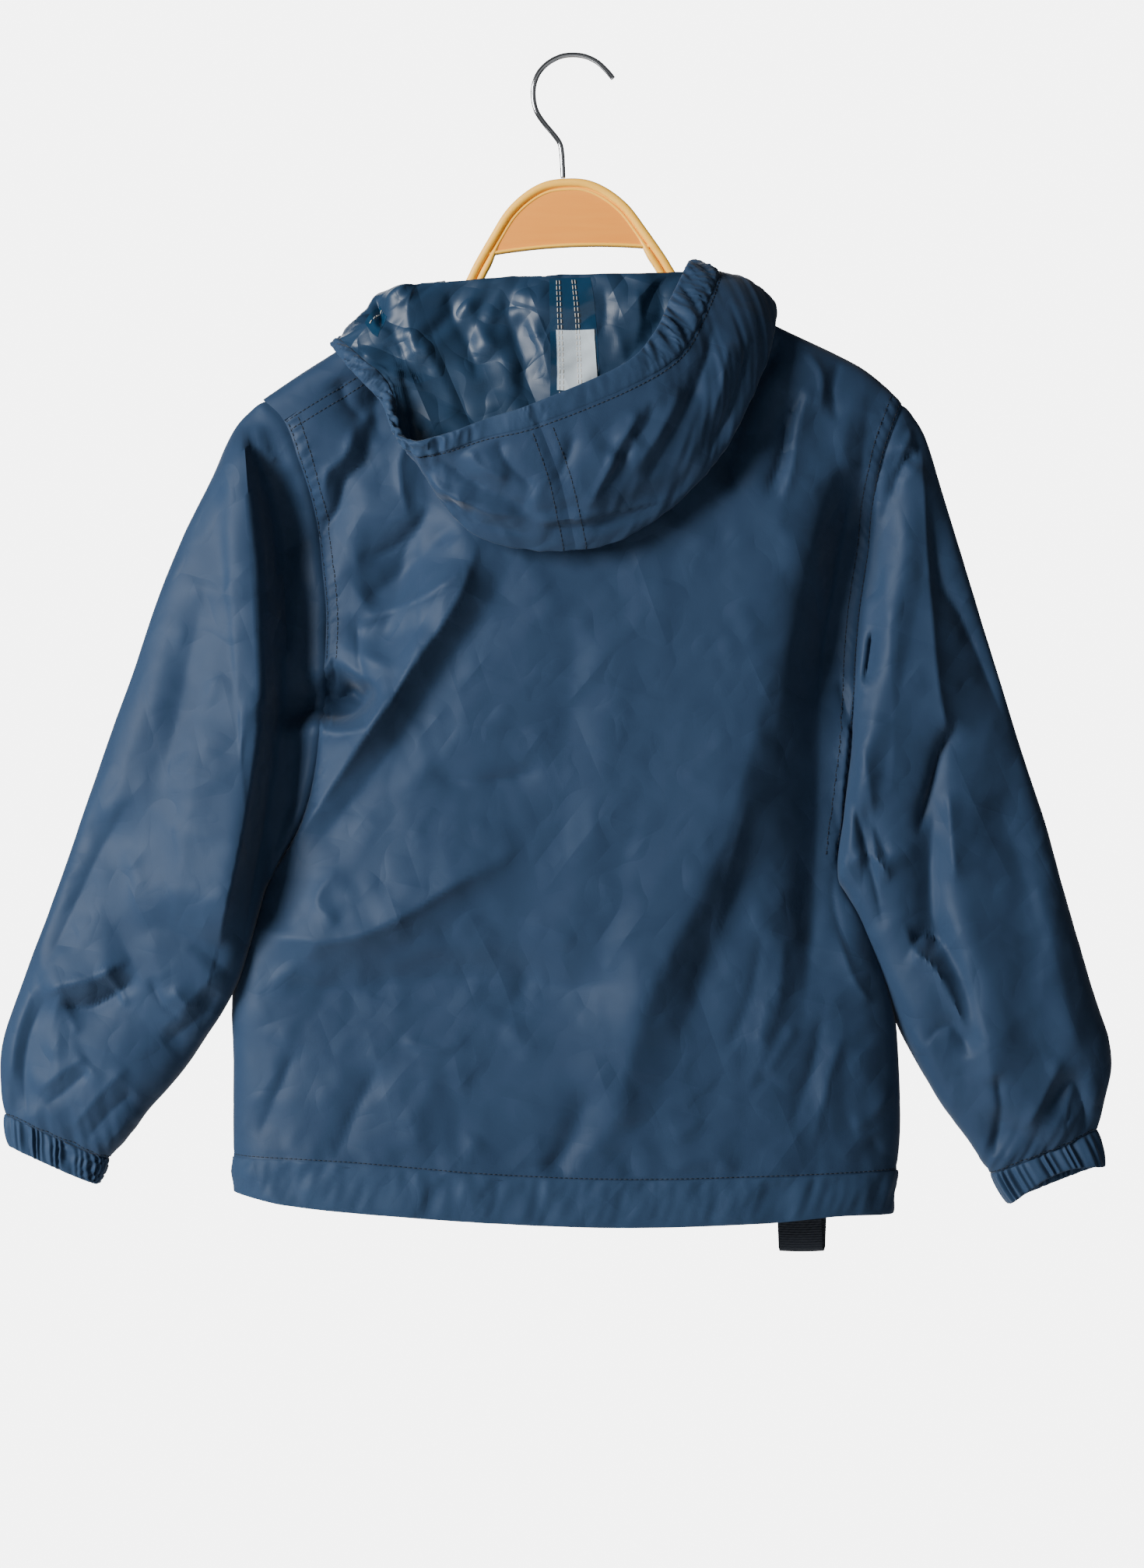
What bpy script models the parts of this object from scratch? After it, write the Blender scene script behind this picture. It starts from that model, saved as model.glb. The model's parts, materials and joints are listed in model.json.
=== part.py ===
"""A child's hooded windbreaker on a shaped hanger, hung up by the hanger's wire hook.

The origin is where the hook bears on a rail, +Z is up, -Y is the jacket's back and +X its wearer's right.
Lengths in the tables are millimetres. "below" is the distance under the origin, so z is its negative.
"""

import math
from bisect import bisect_right
from typing import NamedTuple

import bmesh
import bpy
from mathutils import Matrix, Vector

MM = 0.001

# Cloth and seams
CLOTH_WALL = 1.0
HALF_SEAM = 0.15
CASING_WALL = 2.0
TAPE_WALL = 1.0
SEAM_GAP = 0.3
SLEEVE_SEAM = 2.0
CENTRE_X = -6.0
ARMHOLE_TOP = 219.5
UNDERARM = 526.0
BACK_CORNERS = (235.0, 222.0)
FRONT_CORNERS = (220.0, 222.0)
SHARP_ANGLE = math.radians(50)
SHOULDER_ROUND = 45.0
ROUND_POWER = 3.0
SIDE_POWER = 2.6
ARMHOLE_SHARE = 0.6
SIDE_BLEND = 3.0
SLEEVE_POWER = 2.4

# Hanger
HANGER_TOP = (-5.5, -78.0)
HANGER_TILT = math.radians(2.6)
FRAME_BAND = 10.0
FRAME_THICK = 10.0
PANEL_THICK = 5.0
BAR_HEIGHT = 2.7
BAR_BOW = 3.5
BAR_BOTTOM = 47.5
BAR_STEPS = 8
WINDOW_HALF = 46.0
BAR_LAP = 1.5
ARM_GAP = 3.0
PANEL_MIDDLE = 0.55
WIRE_RADIUS = 1.65
WIRE_ROUNDING = 2

# Zip
CHAIN_WIDTH = 4.6
CHAIN_THICK = 2.2
CHAIN_TOP = 224.0
TAPE_WIDTH = 13.0
TAPE_INSET = 0.8
FRONT_EDGE_HALF = 5.0
ZIP_EDGE = 1e-6
ZIP_STRAIGHTENS = 4
ZIP_FOOT_GAP = 1.0
SLIDER = (8.4, 11.0, 1.2)
SLIDER_RISE = 2.0
POST = (2.4, 1.4)
CROWN = (2.0, 9.0, 1.1)
CROWN_ROOM = 0.5
CROWN_SINK = 0.2
PULL_PIN_RADIUS = 0.7
PULL_PLATE = (6.4, 19.0, 1.4)
PULL_ARM = (1.2, 8.0, 1.4)
PULL_ARM_X = 2.6
PULL_PIN_GAP = 1.5
PULL_LAP = 1.0
PIN_SIDES = 12

# Webbing loop
STRAP_WIDTH = 28.5
STRAP_LEFT = 131.0
STRAP_WALL = 1.5
STRAP_BOTTOM = 764.0
STRAP_LAYER_GAP = 5.0
STRAP_BEND_STEPS = 6
STRAP_SKEW = 5.0
STRAP_INSET = 2.6
STRAP_TUCK = 16.0


class Level(NamedTuple):
    """The body at one height: its two side edges, and how far back and front stand out at its middle."""

    below: float
    left: float
    right: float
    back: float
    front: float


TORSO = (
    Level(below=220, left=-200, right=212, back=20, front=22),
    Level(below=235, left=-186, right=206, back=21, front=23),
    Level(below=259, left=-177, right=198, back=23, front=25),
    Level(below=288, left=-168.5, right=192.5, back=25, front=28),
    Level(below=317, left=-164, right=190, back=26, front=30),
    Level(below=363, left=-160, right=183.5, back=28, front=32),
    Level(below=444, left=-165, right=178, back=30, front=34),
    Level(below=488, left=-175, right=173.5, back=31, front=35),
    Level(below=526, left=-194, right=170, back=32, front=36),
    Level(below=560, left=-206, right=186, back=33, front=37),
    Level(below=605, left=-217, right=201, back=34, front=38),
    Level(below=640, left=-218.5, right=207, back=34, front=38),
    Level(below=690, left=-219, right=209, back=35, front=39),
    Level(below=748, left=-217.5, right=203.5, back=36, front=40),
)


class Line(NamedTuple):
    """A point of an edge that runs across the jacket."""

    x: float
    below: float


RIDGE = (
    Line(-200, 219.5), Line(-175.5, 203), Line(-158, 192), Line(-120, 168.5), Line(-84, 146),
    Line(-45, 139), Line(-6, 138), Line(35, 138.5), Line(68, 140), Line(100, 157), Line(131, 173),
    Line(171, 192), Line(188.5, 202), Line(212, 222),
)
BACK_NECK_DROP = (
    Line(-200, 24), Line(-84, 26), Line(-45, 31), Line(-6, 33), Line(35, 26), Line(66, 9), Line(71, 0),
)
FRONT_NECK_DROP = (
    Line(-83.5, 0), Line(-79, 9), Line(-72, 24), Line(-45, 58), Line(-6, 77), Line(35, 57), Line(59, 24),
    Line(66, 9), Line(71, 0),
)
CASING_SEAM = (
    Line(-219, 707), Line(-143, 710), Line(-57, 717), Line(30, 720.5), Line(115, 719), Line(208, 716),
)
BACK_HEM = (
    Line(-219, 727), Line(-185, 734), Line(-120, 740), Line(-45, 745), Line(30, 747.5), Line(120, 745),
    Line(170, 741), Line(208, 741.5),
)
FRONT_HEM = (Line(-219, 727), Line(-120, 735), Line(0, 741), Line(120, 740), Line(208, 741.5))

# Shares of the way from a side edge to the centre (the neck's corner is one) and down from a top edge
LEFT_COLUMNS = (0, 0.03, 0.12, 0.28, 0.44, 0.6, 0.62, 0.76, 0.88, 1)
RIGHT_COLUMNS = (0, 0.03, 0.12, 0.28, 0.46, 0.645, 0.665, 0.77, 0.89, 1)
NECK_CORNER = 5
NECK_GAP = 1.2
NECK_RISE = 2.5
UPPER_ROWS = (0, 0.012, 0.045, 0.11, 0.22, 0.36, 0.52, 0.68, 0.82, 0.93, 0.98, 1)
LOWER_ROWS = (0, 0.17, 0.34, 0.5, 0.67, 0.84, 1)
SHOULDER_ROWS = (0, 0.15, 0.5, 1)
HEM_ROWS = (0, 0.5, 1)
CUFF_ROWS = (0, 0.5, 1)


FOLD_ENDS = 0.12


class Fold(NamedTuple):
    """A fold that runs through points (x, below): how far it stands out, and its half width."""

    height: float
    reach: float
    path: tuple


BACK_FOLDS = (
    Fold(height=9, reach=24, path=((-60, 318), (-104, 386), (-126, 430), (-166, 484))),
    Fold(height=-11, reach=20, path=((-34, 330), (-82, 402), (-110, 450), (-162, 512))),
    Fold(height=-13, reach=28, path=((170, 262), (152, 330), (124, 463), (96, 608))),
    Fold(height=7, reach=16, path=((170, 400), (160, 480), (168, 600))),
    Fold(height=7, reach=45, path=((70, 390), (40, 500), (4, 640))),
    Fold(height=-6, reach=24, path=((-180, 578), (-100, 592), (-25, 584))),
    Fold(height=-13, reach=16, path=((-190, 262), (-186, 340), (-186, 440), (-192, 508))),
    Fold(height=8, reach=14, path=((-212, 290), (-208, 400), (-212, 540))),
    Fold(height=7, reach=16, path=((214, 290), (224, 400), (236, 520))),
    Fold(height=-6, reach=16, path=((236, 480), (244, 560), (262, 640))),
    Fold(height=-7, reach=18, path=((-338, 600), (-300, 606), (-272, 592))),
)
FRONT_FOLDS = (
    Fold(height=8, reach=26, path=((-70, 330), (-120, 420), (-160, 500))),
    Fold(height=-9, reach=24, path=((60, 320), (110, 420), (150, 500))),
    Fold(height=6, reach=34, path=((90, 430), (60, 560), (50, 690))),
    Fold(height=-7, reach=26, path=((-110, 540), (-90, 620), (-95, 690))),
    Fold(height=-7, reach=18, path=((300, 590), (280, 560), (262, 540))),
)


class Ring(NamedTuple):
    """A ring round a sleeve: its outer and inner points, its depth each side, and the inner one's y."""

    outer_x: float
    outer_below: float
    inner_x: float
    inner_below: float
    depth: float
    inner_y: float = 0.0


LEFT_RINGS = (
    Ring(-217, 237, -201, 532, 19, -4), Ring(-233, 271, -206, 550, 21, -9),
    Ring(-251, 307, -211, 570, 23, -12), Ring(-268, 349, -217, 591, 24, -12),
    Ring(-284, 397, -226, 612, 24, -9), Ring(-302, 447, -237, 630, 24, -4),
    Ring(-320, 499, -248, 646, 24), Ring(-337, 548, -260, 661, 24), Ring(-353, 590, -272, 674, 23),
    Ring(-367, 632, -283, 689, 22), Ring(-368, 666, -291, 704, 19), Ring(-364.5, 680, -303, 705, 14),
)
RIGHT_RINGS = (
    Ring(224, 241, 176, 532, 19, 4), Ring(236, 278, 184, 550, 21, 9), Ring(248, 317, 192, 570, 23, 12),
    Ring(260, 357, 200, 594, 24, 12), Ring(273, 399, 208, 619, 24, 8), Ring(287, 444, 217, 640, 24, 3),
    Ring(302, 491, 226, 656, 24), Ring(317, 545, 235, 671, 24), Ring(331, 592, 245, 685, 23),
    Ring(344.5, 640, 255, 699, 22), Ring(339, 676, 264, 712, 19), Ring(334.5, 690, 269, 715, 14),
)
LEFT_CUFF_EDGE = Ring(-362, 699, -306, 723, 13)
RIGHT_CUFF_EDGE = Ring(340, 712, 279.5, 736, 16)
RIGHT_CUFF_LIFT = 9.0


class Station(NamedTuple):
    """A line over the hood: its place along the neck edge, then points (x, y, below) out to the face edge."""

    neck: float
    roll: tuple
    nape: tuple
    bag_in: tuple
    bag_out: tuple
    crown: tuple
    casing: tuple
    edge: tuple


HOOD_LEFT = (
    Station(0, (-12, 26, 210), (-12.5, 29, 207.5), (-13, 31.5, 206.8),
            (-13.5, 33.5, 208), (-14, 35, 210.5), (-14, 35.5, 213.5), (-14, 35.5, 219)),
    Station(2, (-56, 33, 181), (-61, 37, 184), (-65, 39, 188),
            (-68, 40, 193), (-71, 40, 198), (-74, 39.5, 203), (-79, 38.5, 212)),
    Station(3, (-86, 27, 155), (-97, 30, 160), (-106, 30.5, 166),
            (-114, 30.5, 172), (-122, 30, 178), (-130, 29, 184), (-141, 27, 193)),
    Station(4, (-104, 0, 148), (-124.5, -3, 152), (-131.5, -4, 160),
            (-139, -5, 168), (-146, -6, 175), (-150.5, -7, 180), (-155.5, -8, 186)),
    Station(6, (-108, -26, 149.5), (-122, -22, 166), (-127, -26, 176),
            (-130, -29, 184), (-133, -31, 191), (-134, -32, 197), (-139.5, -32.5, 206.5)),
    Station(8, (-97, -23, 148), (-108, -27, 176), (-112, -29.5, 190),
            (-114, -32, 201), (-116, -34, 209), (-117, -36, 214.5), (-124, -38, 223)),
    Station(9, (-80, -24, 147.5), (-92, -30, 195), (-99, -34, 262),
            (-102, -41, 268), (-104, -48, 263), (-103, -53, 259), (-103, -57, 251)),
    Station(10, (-44, -25, 145), (-52, -31, 205), (-60, -37, 303),
            (-61, -50, 307), (-58, -64, 272), (-53, -60, 249), (-50, -56, 236)),
)
HOOD_CENTRE = Station(11, (-4, -25, 143.5), (0, -31, 210), (-1, -39, 313),
                      (-1, -53, 318), (-9, -66, 276), (-22, -63, 241), (-26, -58, 228.5))
HOOD_RIGHT = (
    Station(12, (33, -25, 143), (42, -31, 205), (44, -38, 301),
            (46, -53, 306), (42, -66, 262), (34, -62, 218), (29, -57, 204.5)),
    Station(13, (64, -23, 142), (79, -31, 190), (90, -37, 262),
            (93, -49, 267), (84, -60, 232), (66, -57, 197), (49, -52, 184.5)),
    Station(14, (86, -16, 141), (106, -27, 170), (116, -33, 200),
            (119, -41, 206), (107, -49, 188), (82, -48, 168), (60.5, -43, 160)),
    Station(15, (90, 0, 141.5), (110, -1, 155), (124, -3, 163),
            (129, -10, 159), (112, -16, 145.5), (92, -19, 140), (72, -20, 134.5)),
    Station(16, (86, 20, 144), (102, 26, 156), (109, 29, 166),
            (112, 34, 163), (99, 37, 150), (84, 36, 142), (69, 33, 136)),
    Station(17, (58, 31, 174), (66, 36, 181), (69, 39, 188),
            (70, 43, 188), (64, 46, 182), (54, 46, 177), (43, 43, 171)),
    Station(19, (2, 27, 210), (4, 30, 207.5), (5.5, 32.5, 205.5),
            (6, 34.5, 203), (5.5, 35.5, 200), (4.5, 35.5, 197), (3, 34.5, 192)),
)
HOOD_STEPS = 2
HOOD_LIFT = 3.0
NECK_LIFT = 5.0
SEAM_TAPE_PLACES = (-0.27, 0, 0.33)
SEAM_TAPE_ROWS = (3, 4, 5)
SIDE_TAPE_PLACES = (-4.4, -4.0, -3.7)
SIDE_TAPE_ROWS = (4, 5, 6, 7)
ZIP_ROWS = (0, 0.1, 0.2, 0.35, 0.5, 0.65, 0.8, 0.9, 1)
HANGER_EDGE = (
    Line(0, 0), Line(14, 1.6), Line(27, 8), Line(39.5, 19), Line(50.5, 35), Line(61, 51.5), Line(68, 64),
    Line(76, 75.5), Line(90, 87), Line(115, 100), Line(145, 113), Line(164, 124), Line(170, 129),
)
HOOK_ROUTE = (
    (25, -13.5), (20.5, -8.2), (14.5, -2.8), (7, 0.7), (-1, 1.7), (-9, 0.6), (-17, -3.6), (-23, -10),
    (-26, -18), (-26.3, -26), (-24.3, -34.5), (-19.5, -42), (-13.2, -49.5), (-9.4, -55), (-8.1, -61),
    (-7.6, -69), (-7.2, -77.4),
)
HOOK_STEPS = 2


class Finish(NamedTuple):
    """Colour and surface of one material."""

    name: str
    colour: tuple
    roughness: float
    metallic: float = 0.0


SHELL = Finish("navy_nylon", (0.03, 0.065, 0.125), 0.45)
CASING = Finish("navy_nylon_casing", (0.026, 0.058, 0.11), 0.5)
COATED_TAPE = Finish("coated_seam_tape", (0.012, 0.04, 0.07), 0.2)
WEBBING = Finish("dark_webbing", (0.01, 0.013, 0.022), 0.75)
ZIP_TAPE = Finish("zip_tape", (0.02, 0.04, 0.08), 0.8)
ZIP_TEETH = Finish("zip_coil", (0.018, 0.035, 0.07), 0.4)
ZIP_METAL = Finish("painted_zinc", (0.02, 0.03, 0.055), 0.35, 0.6)
PALE_WOOD = Finish("pale_beech", (0.87, 0.6, 0.3), 0.4)
TAN_WOOD = Finish("tan_beech", (0.72, 0.39, 0.15), 0.45)
CHROME = Finish("chromed_wire", (0.75, 0.76, 0.78), 0.12, 1.0)


def material(finish):
    """The finish's material, made the first time it is asked for."""
    found = bpy.data.materials.get(finish.name)
    if found:
        return found
    made = bpy.data.materials.new(finish.name)
    made.use_nodes = True
    shader = made.node_tree.nodes["Principled BSDF"]
    shader.inputs["Base Color"].default_value = (*finish.colour, 1.0)
    shader.inputs["Roughness"].default_value = finish.roughness
    shader.inputs["Metallic"].default_value = finish.metallic
    return made


def read(table, at, column=1):
    """The value at a key of the smooth curve through a table's rows, held level past both ends."""
    keys = [row[0] for row in table]
    values = [row[column] for row in table]
    if at <= keys[0]:
        return values[0]
    if at >= keys[-1]:
        return values[-1]
    left = bisect_right(keys, at) - 1

    def slope(index):
        low = max(index - 1, 0)
        high = min(index + 1, len(keys) - 1)
        return (values[high] - values[low]) / (keys[high] - keys[low])

    span = keys[left + 1] - keys[left]
    t = (at - keys[left]) / span
    rise = (1 + 2 * t) * (1 - t) ** 2 * values[left] + t * t * (3 - 2 * t) * values[left + 1]
    return rise + span * (t * (1 - t) ** 2 * slope(left) - t * t * (1 - t) * slope(left + 1))


def lerp(a, b, t):
    """The value a share t of the way from a to b."""
    return a + (b - a) * t


def superellipse(t, power):
    """Rises from 0 at t = 0, steeply, to 1 at t = 1, level."""
    t = min(max(t, 0.0), 1.0)
    return (1 - (1 - t) ** power) ** (1 / power)


def segment_distance(x, below, start, end):
    """Distance from a point to a segment, and the share along it of the nearest point."""
    along = (end[0] - start[0], end[1] - start[1])
    length = along[0] ** 2 + along[1] ** 2
    share = ((x - start[0]) * along[0] + (below - start[1]) * along[1]) / length
    share = min(max(share, 0.0), 1.0)
    near = (start[0] + along[0] * share, start[1] + along[1] * share)
    return math.hypot(x - near[0], below - near[1]), share


def folds_at(folds, x, below):
    """How far the folds move the cloth out here. Each fades towards both its ends."""
    total = 0.0
    for fold in folds:
        spans = len(fold.path) - 1
        near = (
            (*segment_distance(x, below, fold.path[i], fold.path[i + 1]), i) for i in range(spans)
        )
        gap, share, index = min(near)
        run = (index + share) / spans
        fade = math.sin(math.pi * lerp(FOLD_ENDS, 1 - FOLD_ENDS, run))
        total += fold.height * fade * math.exp(-((gap / fold.reach) ** 2))
    return total


def side_share(below):
    """How much of its depth the body keeps at its side edge: some at the armhole, none under it."""
    drop = min(max((below - ARMHOLE_TOP) / (UNDERARM - ARMHOLE_TOP), 0.0), 1.0)
    return ARMHOLE_SHARE * math.sqrt(1 - drop ** 4)


def body_depth(x, below, back):
    """How far the body's back or front stands out from its middle plane."""
    drop = below - read(RIDGE, x)
    if drop <= 0:
        return 0.0
    left = read(TORSO, below, 1)
    right = read(TORSO, below, 2)
    if x < CENTRE_X:
        inward = (x - left) / (CENTRE_X - left)
    else:
        inward = (right - x) / (right - CENTRE_X)
    share = side_share(below)
    sharpness = lerp(SIDE_POWER, 1.0, min(share / ARMHOLE_SHARE * SIDE_BLEND, 1.0))
    inward = min(max(inward, 0.0), 1.0)
    across = share + (1 - share) * (1 - (1 - inward) ** SIDE_POWER) ** (1 / sharpness)
    full = read(TORSO, below, 3 if back else 4)
    folds = folds_at(BACK_FOLDS if back else FRONT_FOLDS, x, below)
    return (full + folds) * across * superellipse(drop / SHOULDER_ROUND, ROUND_POWER)


def body_point(x, below, back):
    """The point of the body's surface at x and below, on its back or its front."""
    depth = body_depth(x, below, back)
    return Vector((x, -depth if back else depth, -below))


def ridge(x):
    """The shoulder line."""
    return read(RIDGE, x)


def back_top(x):
    """The back's top edge: its shoulder seam, and the neck between."""
    return ridge(x) + max(read(BACK_NECK_DROP, x), 0.0)


def front_top(x):
    """The fronts' top edge: the shoulder line, and the neck between."""
    return ridge(x) + max(read(FRONT_NECK_DROP, x), 0.0)


def underarm(_x):
    """The level line across at the underarm."""
    return UNDERARM


def casing_seam(x):
    """The stitched line over the hem casing."""
    return read(CASING_SEAM, x)


def back_hem(x):
    """The back's lower edge."""
    return read(BACK_HEM, x)


def front_hem(x):
    """The fronts' lower edge."""
    return read(FRONT_HEM, x)


def columns_of(side):
    """Column shares of the left half (-1), the right half (1) or both (0), rising from left to right.

    A share is -1 at the left side edge, 0 at the centre or the zip and 1 at the right side edge.
    """
    left = [share - 1 for share in LEFT_COLUMNS]
    right = [1 - share for share in reversed(RIGHT_COLUMNS)]
    if side == 0:
        return left + right[1:]
    return left[:-1] + [-ZIP_EDGE] if side < 0 else [ZIP_EDGE] + right[1:]


def edge_of(column):
    """Which column of TORSO holds the side edge that a column share counts towards."""
    return 1 if column < 0 else 2


def across(column, edge_x, back):
    """The x at a column share. The fronts stand back from the zip, less and less towards their side edges."""
    x = lerp(CENTRE_X, edge_x, abs(column))
    return x if back else x + math.copysign(FRONT_EDGE_HALF * (1 - abs(column)) ** ZIP_STRAIGHTENS, column)


def upper_rows(columns, corners, top, back):
    """Rows of body points from a top edge down to the underarm. corners are its ends' distances below."""
    rows = []
    for share in UPPER_ROWS:
        row = []
        for column in columns:
            side = edge_of(column)
            corner = corners[side - 1]
            top_x = across(column, read(TORSO, corner, side), back)
            x = across(column, read(TORSO, lerp(corner, UNDERARM, share), side), back)
            row.append(body_point(x, lerp(top(top_x), UNDERARM, share), back))
        rows.append(row)
    return rows


def lower_rows(columns, shares, start, end, back):
    """Rows of body points from one line across the body down to another."""
    rows = []
    for share in shares:
        row = []
        for column in columns:
            level = lerp(start(CENTRE_X), end(CENTRE_X), share)
            x = across(column, read(TORSO, level, edge_of(column)), back)
            row.append(body_point(x, lerp(start(x), end(x), share), back))
        rows.append(row)
    return rows


def shoulder_rows(columns):
    """Rows of the left front's shoulder, from its seam on the back up to just under the shoulder line.

    It ends at the neck, so the columns past the neck's corner hold no point.
    """
    rows = []
    for share in reversed(SHOULDER_ROWS[1:]):
        edge_x = read(TORSO, lerp(FRONT_CORNERS[0], BACK_CORNERS[0], share))
        row = []
        for index, column in enumerate(columns):
            x = across(column, edge_x, False)
            below = lerp(ridge(x), back_top(x), share)
            row.append(body_point(x, below, True) if index <= NECK_CORNER else None)
        rows.append(row)
    return rows


def into_neck(point):
    """A neck edge's point moved up and towards the middle of the neck, to leave room for the hood's seam."""
    inward = Vector((CENTRE_X - point.x, -point.y, 0)).normalized()
    return point + inward * NECK_GAP + Vector((0, 0, NECK_RISE))


def neck_loop():
    """The points of the neck edge, from the zip over the left shoulder and round the back to the zip."""
    left = upper_rows(columns_of(-1), FRONT_CORNERS, front_top, False)[0]
    back = upper_rows(columns_of(0), BACK_CORNERS, back_top, True)[0]
    right = upper_rows(columns_of(1), FRONT_CORNERS, front_top, False)[0]
    shoulder = [row[NECK_CORNER] for row in reversed(shoulder_rows(columns_of(-1)))]
    left = left[: NECK_CORNER - 1 : -1]
    back = back[NECK_CORNER + 1 : len(back) - NECK_CORNER]
    right = right[: len(right) - NECK_CORNER - 1]
    return [into_neck(point) for point in left + shoulder + back + right[::-1]]


def draw_in(bm, distance):
    """Moves a sheet's open border into the sheet by a distance, so that seams between pieces stay apart."""
    steps = {}
    for vert in bm.verts:
        if not vert.is_boundary:
            continue
        inner = [edge for edge in vert.link_edges if not edge.is_boundary] or list(vert.link_edges)
        step = sum(((edge.other_vert(vert).co - vert.co).normalized() for edge in inner), Vector())
        steps[vert] = step.normalized() * distance
    for vert, step in steps.items():
        vert.co += step


def file_object(obj, collection, finish):
    """Puts an object in the collection only, with its material."""
    for owner in list(obj.users_collection):
        owner.objects.unlink(obj)
    collection.objects.link(obj)
    obj.data.materials.clear()
    obj.data.materials.append(material(finish))
    return obj


def object_from(bm, name, collection, finish):
    """A named object with a bmesh's faces, shaded smooth but for its sharp edges."""
    mesh = bpy.data.meshes.new(name)
    bm.to_mesh(mesh)
    bm.free()
    mesh.shade_smooth()
    mesh.set_sharp_from_angle(angle=SHARP_ANGLE)
    return file_object(bpy.data.objects.new(name, mesh), collection, finish)


def sheet(name, points, collection, finish, out, wall=CLOTH_WALL, offset=1.0, ring=False, seam=HALF_SEAM):
    """A wall of cloth through rows of points in millimetres, built to the side that out(point) points to.

    Where a row holds None the sheet has no cloth. A ring's rows close on themselves.
    """
    rows = len(points)
    columns = len(points[0])
    bm = bmesh.new()
    bmesh.ops.create_grid(bm, x_segments=columns - 1, y_segments=rows - 1, size=1)
    bm.verts.ensure_lookup_table()
    bare = []
    for i in range(rows):
        for j in range(columns):
            vert = bm.verts[i * columns + j]
            if points[i][j] is None:
                bare.append(vert)
            else:
                vert.co = Vector(points[i][j]) * MM
    bmesh.ops.delete(bm, geom=bare, context="VERTS")
    if ring:
        bmesh.ops.remove_doubles(bm, verts=bm.verts, dist=0.01 * MM)
    draw_in(bm, seam * MM)
    bm.normal_update()
    lean = sum(face.normal.dot(out(face.calc_center_median() / MM)) for face in bm.faces)
    if lean < 0:
        bmesh.ops.reverse_faces(bm, faces=bm.faces)
    obj = object_from(bm, name, collection, finish)
    solidify = obj.modifiers.new("wall", "SOLIDIFY")
    solidify.thickness = wall * MM
    solidify.offset = offset
    return obj


def facing(y):
    """A function that points along Y wherever it is asked, for a sheet that faces one way."""
    return lambda _point: Vector((0, y, 0))


def build_body(collection):
    """The back, the two fronts and the three lengths of hem casing."""
    columns = columns_of(0)
    rows = upper_rows(columns, BACK_CORNERS, back_top, True)
    rows += lower_rows(columns, LOWER_ROWS[1:], underarm, casing_seam, True)
    sheet("back_panel", rows, collection, SHELL, facing(-1))
    rows = lower_rows(columns, HEM_ROWS, casing_seam, back_hem, True)
    sheet("hem_back", rows, collection, CASING, facing(-1), wall=CASING_WALL)
    for side, word in ((-1, "left"), (1, "right")):
        columns = columns_of(side)
        rows = upper_rows(columns, FRONT_CORNERS, front_top, False)
        rows += lower_rows(columns, LOWER_ROWS[1:], underarm, casing_seam, False)
        if side < 0:
            rows = shoulder_rows(columns) + rows
        sheet(f"front_{word}", rows, collection, SHELL, facing(1))
        rows = lower_rows(columns, HEM_ROWS, casing_seam, front_hem, False)
        sheet(f"hem_front_{word}", rows, collection, CASING, facing(1), wall=CASING_WALL)


def armhole(side):
    """The armhole's points from the shoulder down its back to the underarm and up its front.

    Each comes with its share of the way down, and the index of the lowest follows.
    """
    column = [float(side)]
    down = [row[0] for row in upper_rows(column, BACK_CORNERS, back_top, True)]
    if side < 0:
        wrap = [row[0] for row in shoulder_rows(column)]
        down = wrap[:0:-1] + down
    up = [row[0] for row in upper_rows(column, FRONT_CORNERS, front_top, False)]
    if side < 0:
        down = [up[0]] + down
    loop = down + up[-2::-1]
    drop = UNDERARM + loop[0].z
    shares = [(loop[0].z - point.z) / drop for point in loop]
    return loop, shares, len(down) - 1


def ring_points(ring, shares, lowest):
    """Points round a sleeve at the armhole's shares of the way from its outer point to its inner one."""
    points = []
    for index, share in enumerate(shares):
        back = index < lowest
        x = lerp(ring.outer_x, ring.inner_x, share)
        below = lerp(ring.outer_below, ring.inner_below, share)
        bulge = (1 - abs(2 * share - 1) ** SLEEVE_POWER) ** (1 / SLEEVE_POWER)
        folds = folds_at(BACK_FOLDS if back else FRONT_FOLDS, x, below)
        depth = (ring.depth + folds) * bulge
        y = ring.inner_y * share ** 2 + (-depth if back else depth)
        points.append(Vector((x, y, -below)))
    return points


def away_from(axis):
    """A function that points away from the nearest point of a line of points."""

    def out(point):
        nearest = min(axis, key=lambda centre: (point - centre).length)
        return point - nearest

    return out


def build_sleeve(collection, side, word, rings, cuff_edge, cuff_lift):
    """A sleeve from its armhole to its cuff, and the elastic casing under it."""
    loop, shares, lowest = armhole(side)
    rows = [loop] + [ring_points(ring, shares, lowest) for ring in rings]
    axis = [sum(row, Vector()) / len(row) for row in rows]
    out = away_from(axis)
    sheet(f"sleeve_{word}", rows, collection, SHELL, out, offset=-1.0, ring=True, seam=SLEEVE_SEAM)
    start = rows[-1]
    end = ring_points(cuff_edge, shares, lowest)
    for index, point in enumerate(end[:lowest]):
        point.z += cuff_lift * math.sin(math.pi * shares[index])
    casing = [[a.lerp(b, share) for a, b in zip(start, end)] for share in CUFF_ROWS]
    sheet(f"cuff_{word}", casing, collection, CASING, out, wall=CASING_WALL, offset=-1.0, ring=True)


def smooth_point(points, at):
    """The point at a place (an index and a share past it) of the smooth curve through points."""
    index = min(int(at), len(points) - 2)
    share = at - index
    start, end = points[index], points[index + 1]
    before = points[max(index - 1, 0)]
    after = points[min(index + 2, len(points) - 1)]
    leave = (end - before) / 2
    reach = (after - start) / 2
    bend = (1 + 2 * share) * (1 - share) ** 2 * start + share * share * (3 - 2 * share) * end
    return bend + share * (1 - share) ** 2 * leave - share * share * (1 - share) * reach


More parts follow.
